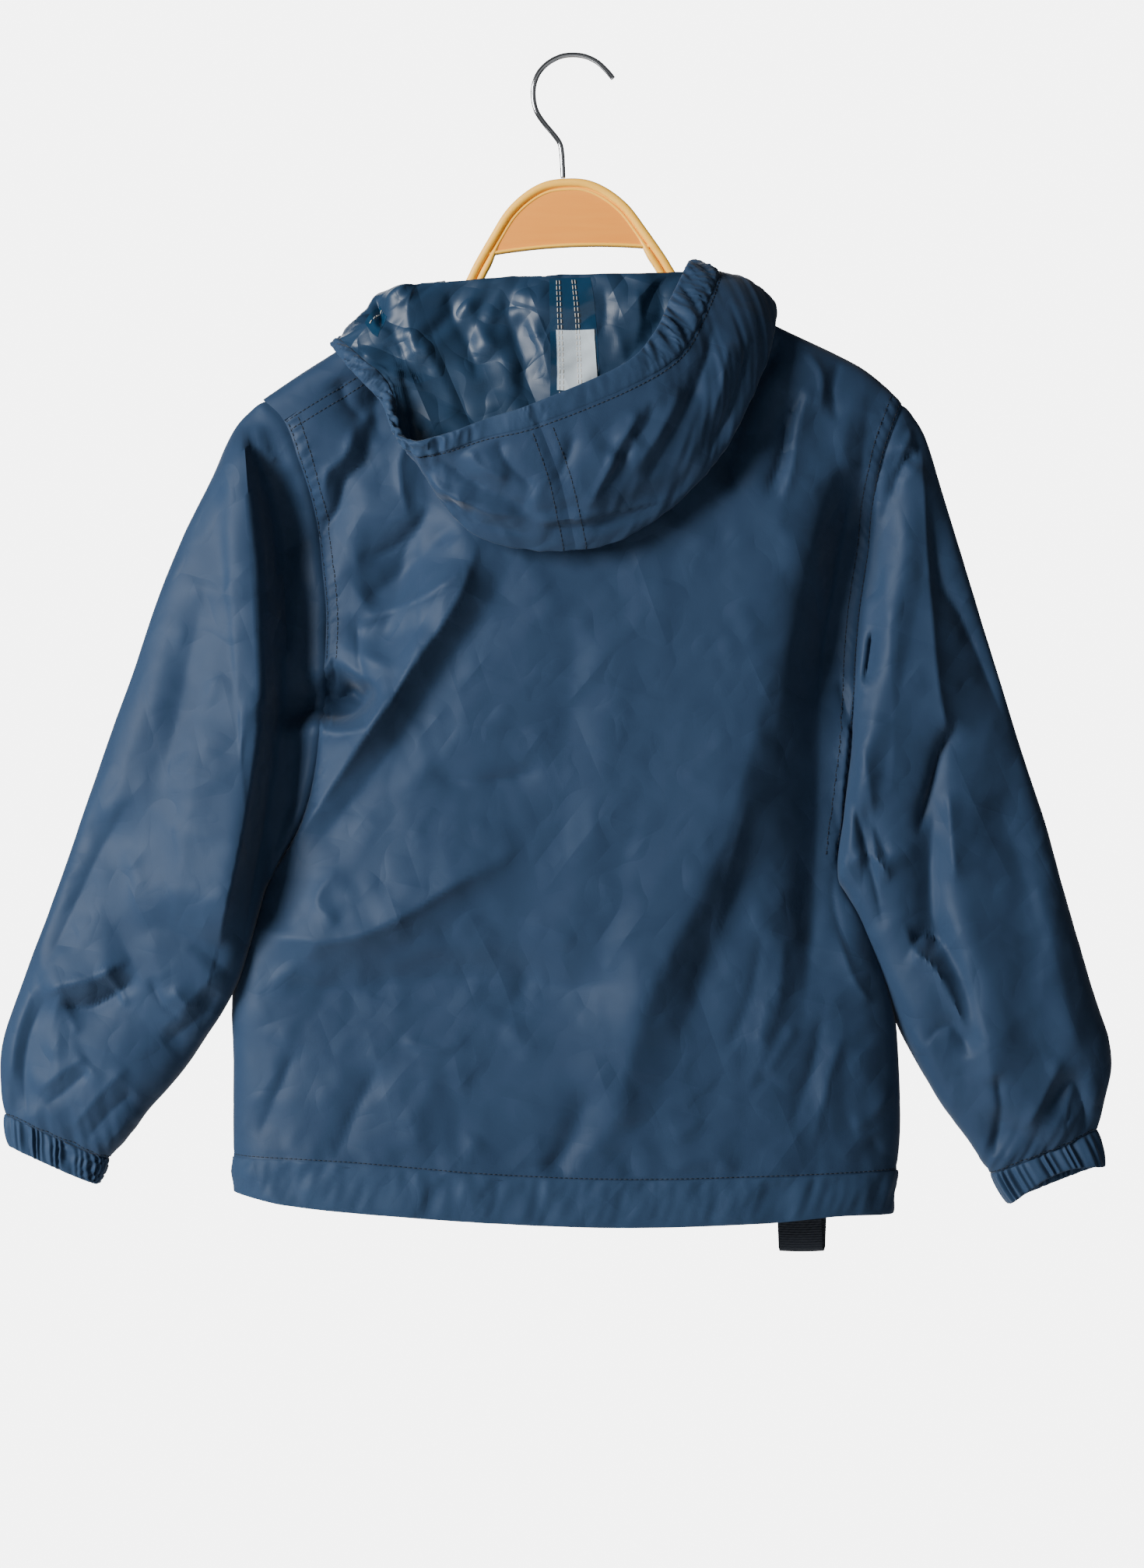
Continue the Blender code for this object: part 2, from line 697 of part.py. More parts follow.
def station_lines(stations, neck):
    """The stations' lines as points in the part's frame, each starting on the neck edge."""
    lines = []
    for station in stations:
        points = [Vector((x, y, -below)) for x, y, below in station[1:]]
        lines.append([along(neck, station.neck)] + points)
    return lines


def along(line, at):
    """The point at a place (an index and a share past it) of a line of straight runs."""
    index = min(int(at), len(line) - 2)
    return line[index].lerp(line[index + 1], at - index)


def clear_of_body(point, lift):
    """A hood point moved out, if need be, to lie over the body's cloth by a lift."""
    below = -point.z
    back = point.y < 0
    top = back_top(point.x) if back else front_top(point.x)
    if below + lift < top:
        return point
    least = body_depth(point.x, below + lift, back) + lift
    y = max(abs(point.y), least)
    return Vector((point.x, -y if back else y, point.z))


def hood_grid(stations):
    """Rows of points over the whole hood, from its neck seam to its face edge.

    Both ways there are HOOD_STEPS points to each step of the stations' table.
    """
    neck = neck_loop()
    lines = station_lines(stations, neck)
    places = [i / HOOD_STEPS for i in range((len(lines) - 1) * HOOD_STEPS + 1)]
    necks = [Vector((station.neck, 0, 0)) for station in stations]
    rows = [[along(neck, along(necks, place).x) for place in places]]
    for i in range(1, (len(lines[0]) - 1) * HOOD_STEPS + 1):
        lift = NECK_LIFT if i <= HOOD_STEPS else HOOD_LIFT
        across_hood = [smooth_point(line, i / HOOD_STEPS) for line in lines]
        rows.append([clear_of_body(smooth_point(across_hood, place), lift) for place in places])
    return rows


def hood_outward(point):
    """Away from the middle of the hood's bag."""
    middle = [Vector((x, y, -below)) for x, y, below in HOOD_CENTRE[2:6]]
    return point - sum(middle, Vector()) / len(middle)


def lifted(rows, height):
    """Rows of points moved off their own surface by a height."""
    moved = []
    for i, row in enumerate(rows):
        line = []
        for j, point in enumerate(row):
            down = rows[min(i + 1, len(rows) - 1)][j] - rows[max(i - 1, 0)][j]
            along = row[min(j + 1, len(row) - 1)] - row[max(j - 1, 0)]
            line.append(point + down.cross(along).normalized() * height)
        moved.append(line)
    return moved


def build_hood(collection):
    """The hood's two halves, the casing round its face edge, and the tapes inside it."""
    grid = hood_grid((*HOOD_LEFT, HOOD_CENTRE, *HOOD_RIGHT))
    centre = len(HOOD_LEFT) * HOOD_STEPS
    casing = len(grid) - 1 - HOOD_STEPS
    halves = grid[: casing + 1]
    out = hood_outward
    sheet("hood_left", [row[: centre + 1] for row in halves], collection, SHELL, out, offset=0.0)
    sheet("hood_right", [row[centre:] for row in halves], collection, SHELL, out, offset=0.0)
    sheet("hood_rim", grid[casing:], collection, CASING, out, wall=CASING_WALL, offset=0.0, seam=SEAM_GAP)
    lift = CLOTH_WALL / 2 + SEAM_GAP
    raised = lifted(grid, lift)
    for name, places, rows in (
        ("hood_seam_tape", SEAM_TAPE_PLACES, SEAM_TAPE_ROWS),
        ("hood_side_tape", SIDE_TAPE_PLACES, SIDE_TAPE_ROWS),
    ):
        points = [[along(raised[row], centre + place * HOOD_STEPS) for place in places] for row in rows]
        sheet(name, points, collection, COATED_TAPE, facing(-1), wall=TAPE_WALL)


def box(bm, size, centre):
    """Adds a box of a size in millimetres to a bmesh."""
    made = bmesh.ops.create_cube(bm, size=1)["verts"]
    bmesh.ops.scale(bm, vec=Vector(size) * MM, verts=made)
    bmesh.ops.translate(bm, vec=Vector(centre) * MM, verts=made)


def rod(bm, radius, length, centre):
    """Adds a round rod along X to a bmesh."""
    made = bmesh.ops.create_cone(
        bm, cap_ends=True, segments=PIN_SIDES, radius1=radius * MM, radius2=radius * MM, depth=length * MM
    )["verts"]
    bmesh.ops.rotate(bm, matrix=Matrix.Rotation(math.pi / 2, 3, "Y"), verts=made)
    bmesh.ops.translate(bm, vec=Vector(centre) * MM, verts=made)


def union(name, shapes, collection, finish):
    """One solid from several overlapping ones, each made by a function that adds it to a bmesh."""
    objects = []
    for index, add in enumerate(shapes):
        bm = bmesh.new()
        add(bm)
        piece = object_from(bm, f"{name}_{index}" if index else name, collection, finish)
        objects.append(piece)
    body = objects[0]
    for piece in objects[1:]:
        joined = body.modifiers.new("join", "BOOLEAN")
        joined.operation = "UNION"
        joined.object = piece
    graph = bpy.context.evaluated_depsgraph_get()
    mesh = bpy.data.meshes.new_from_object(body.evaluated_get(graph))
    body.modifiers.clear()
    body.data = mesh
    for piece in objects[1:]:
        bpy.data.objects.remove(piece)
    return body


def zip_rows(edges, inward):
    """Rows down the front between two distances from the centre, moved into the jacket."""
    rows = []
    for share in ZIP_ROWS:
        below = lerp(CHAIN_TOP, front_hem(CENTRE_X) - ZIP_FOOT_GAP, share)
        row = []
        for edge in edges:
            point = body_point(CENTRE_X + edge, below, False)
            row.append(point - Vector((0, inward, 0)))
        rows.append(row)
    return rows


def build_zip(collection):
    """The zip: two tapes, the closed chain, the slider at the top, and its pull tab on a hinge."""
    half_chain = CHAIN_WIDTH / 2
    for side, word in ((-1, "left"), (1, "right")):
        edges = [side * (half_chain + width) for width in (SEAM_GAP, TAPE_WIDTH / 2, TAPE_WIDTH)]
        rows = zip_rows(edges, TAPE_INSET)
        sheet(f"zip_tape_{word}", rows, collection, ZIP_TAPE, facing(-1), wall=TAPE_WALL, seam=0)
    rows = zip_rows((-half_chain, half_chain), TAPE_INSET + TAPE_WALL / 2)
    sheet("zip_chain", rows, collection, ZIP_TEETH, facing(1), wall=CHAIN_THICK, offset=0.0, seam=0)
    chain_y = body_depth(CENTRE_X, CHAIN_TOP + SLIDER[1] / 2, False) - TAPE_INSET - TAPE_WALL / 2
    build_slider(collection, chain_y)


def build_slider(collection, chain_y):
    """The slider: a plate on each side of the chain, a post between them over its top, and a crown."""
    width, length, plate = SLIDER
    post_width, post_height = POST
    crown_width, crown_length, crown_bar = CROWN
    middle = SLIDER_RISE - CHAIN_TOP - length / 2
    gap = CHAIN_THICK / 2 + SEAM_GAP * 2
    face = chain_y + gap + plate
    crown_height = PULL_PIN_GAP + PULL_PIN_RADIUS + CROWN_ROOM
    post_z = middle + (length - post_height) / 2
    crown_y = face + crown_height + crown_bar / 2
    shapes = [
        lambda bm: box(bm, (width, plate, length), (CENTRE_X, face - plate / 2, middle)),
        lambda bm: box(bm, (width, plate, length), (CENTRE_X, chain_y - gap - plate / 2, middle)),
        lambda bm: box(bm, (post_width, 2 * gap + plate, post_height), (CENTRE_X, chain_y, post_z)),
        lambda bm: box(bm, (crown_width, crown_bar, crown_length), (CENTRE_X, crown_y, middle)),
    ]
    height = crown_height + crown_bar + CROWN_SINK
    for end in (-1, 1):
        foot_z = middle + end * (crown_length - crown_bar) / 2
        foot = Vector((CENTRE_X, face + height / 2 - CROWN_SINK, foot_z))
        shapes.append(lambda bm, foot=foot: box(bm, (crown_width, height, crown_bar), foot))
    union("zip_slider", shapes, collection, ZIP_METAL)
    build_pull(collection, Vector((CENTRE_X, face + PULL_PIN_GAP, middle)))


def build_pull(collection, pin):
    """The pull tab, hanging from its pin under the slider's crown. Its origin is on the pin's axis."""
    arm_width, arm_length, arm_thick = PULL_ARM
    plate_width, plate_length, plate_thick = PULL_PLATE
    plate_z = PULL_LAP - arm_length - plate_length / 2
    shapes = [
        lambda bm: rod(bm, PULL_PIN_RADIUS, 2 * PULL_ARM_X + arm_width, (0, 0, 0)),
        lambda bm: box(bm, (plate_width, plate_thick, plate_length), (0, 0, plate_z)),
    ]
    for side in (-1, 1):
        centre = (side * PULL_ARM_X, 0, PULL_PIN_RADIUS - arm_length / 2)
        shapes.append(lambda bm, centre=centre: box(bm, (arm_width, arm_thick, arm_length), centre))
    tab = union("zip_pull", shapes, collection, ZIP_METAL)
    hinge = bpy.data.objects.new("pull_hinge", None)
    collection.objects.link(hinge)
    hinge.location = pin * MM
    tab.parent = hinge


def build_strap(collection):
    """The webbing loop: down from inside the right front's hem, round its bottom and up again."""
    x = STRAP_LEFT + STRAP_WIDTH / 2
    face = body_depth(STRAP_LEFT + STRAP_WIDTH + STRAP_SKEW, front_hem(x), False) - STRAP_INSET
    radius = STRAP_LAYER_GAP / 2
    top = STRAP_TUCK - front_hem(x)
    bottom = -(STRAP_BOTTOM - STRAP_WALL - radius)
    profile = [(-STRAP_LAYER_GAP, top), (-STRAP_LAYER_GAP, lerp(top, bottom, 0.5))]
    for i in range(STRAP_BEND_STEPS + 1):
        angle = math.pi * i / STRAP_BEND_STEPS
        profile.append((-radius - radius * math.cos(angle), bottom - radius * math.sin(angle)))
    profile += [(0, lerp(top, bottom, 0.5)), (0, top)]
    rows = []
    for index, (y, z) in enumerate(profile):
        left = STRAP_LEFT + STRAP_SKEW * index / (len(profile) - 1)
        rows.append([Vector((left + STRAP_WIDTH * share, face + y, z)) for share in (0, 0.5, 1)])
    middle = Vector((x, face - radius, bottom + radius))
    sheet("strap_loop", rows, collection, WEBBING, lambda point: point - middle, wall=STRAP_WALL, seam=0)


def hanger_point(u, v, y=0.0):
    """A point of the hanger from its own frame: u along it, v up, from the top of its arch."""
    cos, sin = math.cos(HANGER_TILT), math.sin(HANGER_TILT)
    x = HANGER_TOP[0] + u * cos - v * sin
    z = HANGER_TOP[1] + u * sin + v * cos
    return Vector((x, y, z))


def offset_line(line, distance):
    """A line's points moved to its right by a distance."""
    moved = []
    for i, point in enumerate(line):
        run = Vector(line[min(i + 1, len(line) - 1)]) - Vector(line[max(i - 1, 0)])
        run.normalize()
        moved.append((point[0] + run.y * distance, point[1] - run.x * distance))
    return moved


def hanger_edge():
    """The hanger's top edge from its left end over the arch to its right end, in its own frame."""
    right = [(row.x, -row.below) for row in HANGER_EDGE]
    return [(-u, v) for u, v in reversed(right[1:])] + right


def bar_line(half, low):
    """The hanger's centre bar as a bowed line from left to right."""
    line = []
    for i in range(BAR_STEPS + 1):
        share = 2 * i / BAR_STEPS - 1
        line.append((half * share, low + BAR_BOW * (1 - share * share)))
    return line


def flat_solid(name, loops, thickness, collection, finish):
    """A plate from closed outlines in the hanger's frame, the later ones holes."""
    curve = bpy.data.curves.new(name, "CURVE")
    curve.dimensions = "2D"
    curve.fill_mode = "BOTH"
    curve.extrude = thickness / 2 * MM
    for loop in loops:
        spline = curve.splines.new("POLY")
        spline.points.add(len(loop) - 1)
        for point, (u, v) in zip(spline.points, loop):
            at = hanger_point(u, v)
            point.co = (at.x * MM, at.z * MM, 0, 1)
        spline.use_cyclic_u = True
    obj = bpy.data.objects.new(name, curve)
    obj.rotation_euler = (math.pi / 2, 0, 0)
    return file_object(obj, collection, finish)


def build_hanger(collection):
    """The bent frame with its two arms, the recessed centre panel and the wire hook."""
    edge = hanger_edge()
    lower = offset_line(edge, FRAME_BAND)
    window_foot = -BAR_BOTTOM + BAR_HEIGHT
    arch = [point for point in lower if abs(point[0]) < WINDOW_HALF and point[1] > window_foot]
    bar_bottom = bar_line(WINDOW_HALF + BAR_LAP, -BAR_BOTTOM)
    bar_top = bar_line(WINDOW_HALF, window_foot)
    left_arm = [point for point in lower if point[0] < -WINDOW_HALF - ARM_GAP]
    right_arm = [point for point in lower if point[0] > WINDOW_HALF + ARM_GAP]
    outline = edge + right_arm[::-1] + bar_bottom[::-1] + left_arm[::-1]
    window = bar_top + arch[::-1]
    flat_solid("hanger_frame", [outline, window], FRAME_THICK, collection, PALE_WOOD)
    middle = Vector((0, window_foot * PANEL_MIDDLE))
    plate = []
    for point in window:
        step = middle - Vector(point)
        plate.append(Vector(point) + step.normalized() * SEAM_GAP * 2)
    flat_solid("hanger_panel", [plate], PANEL_THICK, collection, TAN_WOOD)


def build_hook(collection):
    """The hanger's wire hook, down to the top of its arch."""
    route = [Vector((x, 0, z)) for x, z in HOOK_ROUTE]
    curve = bpy.data.curves.new("hanger_hook", "CURVE")
    curve.dimensions = "3D"
    curve.bevel_depth = WIRE_RADIUS * MM
    curve.bevel_resolution = WIRE_ROUNDING
    curve.use_fill_caps = True
    spline = curve.splines.new("POLY")
    count = (len(route) - 1) * HOOK_STEPS
    spline.points.add(count)
    for i, point in enumerate(spline.points):
        point.co = (*(smooth_point(route, i / HOOK_STEPS) * MM), 1)
    file_object(bpy.data.objects.new("hanger_hook", curve), collection, CHROME)


def clear_scene():
    """Removes every object of the starting scene."""
    for obj in list(bpy.data.objects):
        bpy.data.objects.remove(obj)


def main():
    """Builds the windbreaker and its hanger."""
    clear_scene()
    collection = bpy.data.collections.new("windbreaker_on_hanger")
    bpy.context.scene.collection.children.link(collection)
    build_body(collection)
    build_sleeve(collection, -1, "left", LEFT_RINGS, LEFT_CUFF_EDGE, 0.0)
    build_sleeve(collection, 1, "right", RIGHT_RINGS, RIGHT_CUFF_EDGE, RIGHT_CUFF_LIFT)
    build_hood(collection)
    build_zip(collection)
    build_strap(collection)
    build_hanger(collection)
    build_hook(collection)


main()
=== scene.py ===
"""A child's navy windbreaker on a wood-look hanger: its cloth, seams, zip, webbing loop and studio.

The frame's axes hold: +Z up, -Y the jacket's back, +X the wearer's right, origin where the hook bears.
Tables are in millimetres; "below" is the distance under the origin. Meshes are made in metres.
"""

import json
import logging
import math
from dataclasses import dataclass, field
from enum import Enum
from typing import Callable, NamedTuple, Sequence

import bmesh
import bpy
import numpy as np
from mathutils import Matrix, Vector

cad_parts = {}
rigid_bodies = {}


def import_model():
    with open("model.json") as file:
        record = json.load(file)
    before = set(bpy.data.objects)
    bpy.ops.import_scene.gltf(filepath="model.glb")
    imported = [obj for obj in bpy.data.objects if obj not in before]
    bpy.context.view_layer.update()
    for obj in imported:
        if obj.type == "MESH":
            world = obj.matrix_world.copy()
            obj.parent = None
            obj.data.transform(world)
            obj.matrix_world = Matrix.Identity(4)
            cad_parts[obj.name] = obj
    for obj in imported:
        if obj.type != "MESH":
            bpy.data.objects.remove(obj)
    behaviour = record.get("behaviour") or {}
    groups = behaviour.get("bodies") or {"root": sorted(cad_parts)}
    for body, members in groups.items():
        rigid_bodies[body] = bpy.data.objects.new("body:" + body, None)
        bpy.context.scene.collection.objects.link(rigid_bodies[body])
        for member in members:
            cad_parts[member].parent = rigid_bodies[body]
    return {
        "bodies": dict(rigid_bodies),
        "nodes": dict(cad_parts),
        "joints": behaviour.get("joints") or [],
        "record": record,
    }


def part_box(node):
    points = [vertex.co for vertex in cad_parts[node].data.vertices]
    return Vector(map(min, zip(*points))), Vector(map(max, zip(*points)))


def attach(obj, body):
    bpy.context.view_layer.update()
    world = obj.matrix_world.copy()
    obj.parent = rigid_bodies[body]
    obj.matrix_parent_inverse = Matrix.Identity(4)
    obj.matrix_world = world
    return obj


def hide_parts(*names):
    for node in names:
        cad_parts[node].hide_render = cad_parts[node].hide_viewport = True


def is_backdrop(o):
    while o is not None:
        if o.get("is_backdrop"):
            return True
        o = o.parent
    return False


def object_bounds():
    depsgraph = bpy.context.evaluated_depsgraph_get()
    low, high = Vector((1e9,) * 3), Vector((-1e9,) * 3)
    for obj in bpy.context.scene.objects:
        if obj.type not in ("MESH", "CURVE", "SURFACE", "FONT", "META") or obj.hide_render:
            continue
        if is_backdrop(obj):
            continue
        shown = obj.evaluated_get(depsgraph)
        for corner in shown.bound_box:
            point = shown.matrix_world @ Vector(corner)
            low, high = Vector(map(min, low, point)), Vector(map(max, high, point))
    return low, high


LOG = logging.getLogger("windbreaker")
MM = 0.001
BODY = "jacket"
CENTRE_X = -6.0
ARMHOLE_TOP = 219.5
UNDERARM = 526.0
BACK_CORNERS = (235.0, 222.0)
FRONT_CORNERS = (220.0, 222.0)
NECK_CORNER = 5
CLOTH_WALL = 0.35
HASH_X, HASH_Y, HASH_SEED, HASH_MIX = 374761393, 668265263, 974634777, 1274126177
BACK_SEED, FRONT_SEED = 11, 47
BACK_SEAM_SEED, FRONT_SEAM_SEED = 3, 31
BACK_HEM_SEED, FRONT_HEM_SEED = 21, 60
LEFT_SLEEVE_SEED, RIGHT_SLEEVE_SEED = 70, 90
HOOD_SEED, TAFFETA_SEED, RIM_SEED = 140, 155, 171
SLEEVES_MIDDLE = -12.0
SHARP_CLOTH = math.radians(62)
SHARP_CAST = math.radians(35)
Ruffle = Callable[[np.ndarray, np.ndarray], np.ndarray]
Away = Callable[[np.ndarray], np.ndarray]
Materials = Sequence[bpy.types.Material]
Colour = tuple[float, float, float, float]
Settings = dict[str | int, str | float | Colour | tuple[float, float, float]]
Links = dict[str | int, bpy.types.NodeSocket]
Span = tuple[float, float, int]
Place = tuple[float, float, float]
Box = tuple[Sequence[float], Sequence[float]]


class Face(Enum):
    """Which side of the jacket a point lies on."""

    BACK = -1
    FRONT = 1


class Level(NamedTuple):
    """The body at one height: its side edges, and how far its back and front stand out in the middle."""

    below: float
    left: float
    right: float
    back: float
    front: float


class Line(NamedTuple):
    """A point of an edge that runs across the jacket."""

    x: float
    below: float


TORSO = (
    Level(220, -200, 212, 20, 22), Level(235, -186, 206, 21, 23), Level(259, -177, 198, 23, 25),
    Level(288, -168.5, 192.5, 25, 28), Level(317, -164, 190, 26, 30), Level(363, -160, 183.5, 28, 32),
    Level(444, -165, 178, 30, 34), Level(488, -175, 173.5, 31, 35), Level(526, -195, 171, 32, 36),
    Level(560, -209, 189, 33, 37), Level(605, -219.5, 204, 34, 38), Level(640, -219, 208, 34, 38),
    Level(690, -219, 209, 36, 39), Level(748, -217.5, 203.5, 39, 41),
)
RIDGE = (
    Line(-200, 219.5), Line(-175.5, 203), Line(-158, 192), Line(-120, 168.5), Line(-84, 146),
    Line(-45, 139), Line(-6, 138), Line(35, 138.5), Line(68, 140), Line(100, 157), Line(131, 173),
    Line(171, 192), Line(188.5, 202), Line(212, 222),
)
BACK_NECK_DROP = (
    Line(-200, 24), Line(-84, 26), Line(-45, 31), Line(-6, 33), Line(35, 26), Line(66, 9), Line(71, 0),
)
FRONT_NECK_DROP = (
    Line(-83.5, 0), Line(-79, 9), Line(-72, 24), Line(-45, 58), Line(-6, 77), Line(35, 57),
    Line(59, 24), Line(66, 9), Line(71, 0),
)
CASING_SEAM = (
    Line(-219, 707), Line(-143, 710), Line(-57, 717), Line(30, 720.5), Line(115, 719), Line(208, 716),
)
BACK_HEM = (
    Line(-219, 727), Line(-185, 734), Line(-120, 740), Line(-45, 745), Line(30, 747.5),
    Line(120, 745), Line(170, 741), Line(208, 741.5),
)
FRONT_HEM = (Line(-219, 727), Line(-120, 735), Line(0, 741), Line(120, 740), Line(208, 741.5))
LEFT_COLUMNS = (0, 0.03, 0.12, 0.28, 0.44, 0.6, 0.62, 0.76, 0.88, 1)
RIGHT_COLUMNS = (0, 0.03, 0.12, 0.28, 0.46, 0.645, 0.665, 0.77, 0.89, 1)


class Fold(NamedTuple):
    """A fold along points (x, below): its height, its reach to either side and how fast it fades in.

    On a fold that runs down, left and right are as seen. On one that runs to the right, left is
    below it and right above. A crest of 2 is a soft bell, and nearer 1 a crease.
    """

    height: float
    left: float
    right: float
    path: tuple[tuple[float, float], ...]
    crest: float = 2.0
    ends: float = 0.25


class Ring(NamedTuple):
    """A ring round a sleeve: its outer and inner points, its depth each side, and the inner one's y."""

    outer_x: float
    outer_below: float
    inner_x: float
    inner_below: float
    depth: float
    inner_y: float = 0.0


class Station(NamedTuple):
    """A line over the hood: its place along the neck edge, then points out to the face edge."""

    neck: float
    roll: Place
    nape: Place
    bag_in: Place
    bag_out: Place
    crown: Place
    casing: Place
    edge: Place


BACK_FOLDS = (
    # From the hood's lower left corner down to the left side: a crest, and the trough beside it
    Fold(9, 18, 6, ((-60, 309), (-74, 350), (-102, 392), (-128, 430), (-166, 485), (-190, 522)), 1.5),
    Fold(-6, 11, 22, ((-36, 322), (-58, 356), (-88, 400), (-116, 444), (-152, 490), (-184, 530)), 1.8),
    Fold(-13, 50, 28, ((-106, 186), (-100, 250), (-88, 316)), 2.0, 0.3),
    Fold(-17, 32, 18, ((-108, 296), (-114, 345), (-130, 388)), 2.0, 0.3),
    # The pinch inside that crest
    Fold(-30, 5, 30, ((-174, 410), (-159, 420), (-141, 418), (-129, 402)), 2.0),
    Fold(-14, 8, 12, ((-168, 405), (-151, 411), (-137, 403)), 1.7),
    Fold(7, 7, 4, ((-174, 428), (-154, 434), (-132, 430), (-116, 408)), 1.5),
    Fold(-5, 14, 5, ((-139, 358), (-137, 388), (-127, 416)), 1.5),
    Fold(5, 7, 8, ((-103, 368), (-101, 382), (-111, 405), (-124, 428), (-158, 456)), 1.5),
    Fold(10, 4, 12, ((-192, 432), (-174, 420), (-157, 408)), 1.5),
    Fold(-4, 5, 5, ((-181, 446), (-174, 466), (-168, 486)), 1.5),
    Fold(7, 9, 6, ((-142, 364), (-116, 355), (-91, 345), (-66, 327)), 1.5),
    Fold(-6, 10, 12, ((-136, 350), (-108, 330), (-76, 300)), 1.8),
    # Along the left armhole
    Fold(-13, 8, 17, ((-190, 260), (-186, 340), (-190, 440), (-198, 520), (-204, 560)), 2.0, 0.15),
    Fold(-22, 24, 26, ((-182, 262), (-174, 295), (-168, 340), (-167, 380), (-172, 415)), 1.8, 0.3),
    Fold(-10, 6, 13, ((-131, 236), (-134, 257), (-147, 271), (-152, 290), (-165, 310), (-169, 335)), 1.6),
    Fold(5, 5, 5, ((-140, 236), (-146, 256), (-158, 268), (-160, 286)), 1.5),
    Fold(-7, 9, 16, ((-106, 186), (-120, 206), (-128, 226), (-124, 250)), 1.8),
    Fold(-5, 6, 8, ((-150, 206), (-146, 222), (-134, 234)), 1.6),
    Fold(4, 5, 7, ((-100, 232), (-112, 262), (-106, 296)), 1.5),
    Fold(-5, 5, 9, ((-92, 288), (-104, 306), (-122, 318), (-140, 322)), 1.6),
    # The middle
    Fold(-5, 12, 6, ((-95, 456), (-69, 466), (-44, 464), (-19, 455)), 1.5),
    Fold(-1.6, 12, 10, ((-2, 330), (-1, 400), (-8, 470), (-6, 520))),
    Fold(1.4, 16, 16, ((24, 340), (22, 430), (6, 520), (-12, 600))),
    Fold(-1.6, 14, 12, ((40, 480), (24, 540), (14, 600))),
    # The long dark hollow beside the right armhole, and the ridge beyond it
    Fold(-5, 9, 14, ((190, 214), (186, 245), (181, 285), (176, 325)), 1.7, 0.4),
    Fold(-33, 15, 60, ((180, 262), (176, 290), (171, 320), (164, 360), (158, 400), (154, 452)), 1.8, 0.3),
    Fold(9, 60, 13, ((166, 250), (160, 280), (150, 320), (140, 360), (131, 410), (124, 470)), 1.9, 0.3),
    Fold(-24, 18, 40, ((160, 396), (157, 440), (156, 480), (154, 530), (150, 580), (142, 650)), 1.8, 0.4),
    Fold(5, 4, 6, ((182, 396), (176, 430), (172, 470), (172, 510)), 1.5),
    Fold(-6, 4, 6, ((169, 398), (174, 418), (180, 440)), 1.5),
    Fold(-4, 4, 5, ((162, 470), (170, 500), (166, 540), (176, 580)), 1.5),
    Fold(4, 5, 5, ((168, 560), (178, 590), (190, 606)), 1.5),
    Fold(10, 60, 20, ((126, 400), (110, 450), (96, 500), (72, 550), (47, 600), (28, 664), (14, 710)), 1.8),
    Fold(-9, 14, 26, ((118, 480), (104, 530), (84, 580), (66, 640)), 1.8, 0.35),
    Fold(2.2, 5, 6, ((112, 470), (96, 530), (86, 580)), 1.6),
    Fold(-2, 4, 5, ((120, 560), (112, 600), (96, 640)), 1.6),
    Fold(2, 5, 5, ((134, 560), (128, 610), (108, 668)), 1.6),
    Fold(-2.4, 5, 6, ((160, 610), (150, 650), (136, 690)), 1.6),
    Fold(2.4, 6, 6, ((172, 620), (160, 660), (150, 700)), 1.6),
    Fold(2.2, 4, 4, ((124, 602), (117, 634)), 1.5),
    Fold(2.4, 4, 5, ((141, 619), (121, 652)), 1.5),
    # Across the lower left, as a roll that faces down
    Fold(11, 11, 22, ((-210, 560), (-172, 566), (-146, 565), (-112, 552), (-72, 528), (-29, 506)), 1.6),
    Fold(-11, 26, 20, ((-208, 592), (-160, 598), (-110, 594), (-60, 590), (0, 596), (40, 590)), 1.9),
    Fold(4, 5, 9, ((-150, 520), (-164, 540), (-150, 556)), 1.5),
    Fold(3, 4, 5, ((-110, 628), (-90, 634), (-66, 628)), 1.5),
    Fold(-4, 6, 8, ((-176, 630), (-189, 663), (-203, 694)), 1.6),
    Fold(-3.6, 6, 9, ((-123, 644), (-140, 676), (-153, 706)), 1.6),
    Fold(-4, 10, 9, ((12, 656), (-2, 690), (-15, 718))),
    Fold(3, 14, 12, ((-90, 640), (-104, 704))),
    Fold(-3, 12, 14, ((-60, 566), (-30, 590), (-50, 616)), 1.6),
    # Beside the hood on the right
    Fold(-10, 8, 9, ((131, 172), (127, 190), (115, 210), (105, 238), (98, 264), (103, 282)), 1.7),
    Fold(-7, 5, 9, ((146, 216), (136, 234), (131, 262), (121, 284)), 1.5),
    Fold(5, 5, 6, ((152, 214), (143, 234), (139, 262), (131, 290)), 1.5),
    Fold(3, 26, 16, ((180, 212), (172, 250), (160, 290), (144, 340)), 1.7),
    Fold(-4, 4, 5, ((170, 196), (164, 214), (168, 236)), 1.5),
    Fold(4, 4, 4, ((148, 190), (158, 206), (156, 230)), 1.5),
    # Crumples over the hem casing
    Fold(-3, 6, 5, ((188, 690), (196, 702), (207, 708)), 1.5),
    Fold(3, 6, 6, ((176, 684), (190, 678), (204, 660)), 1.6),
    Fold(2.4, 5, 8, ((60, 712), (84, 704), (104, 712)), 1.6),
    Fold(2, 6, 6, ((-70, 716), (-66, 700), (-60, 690)), 1.6),
)
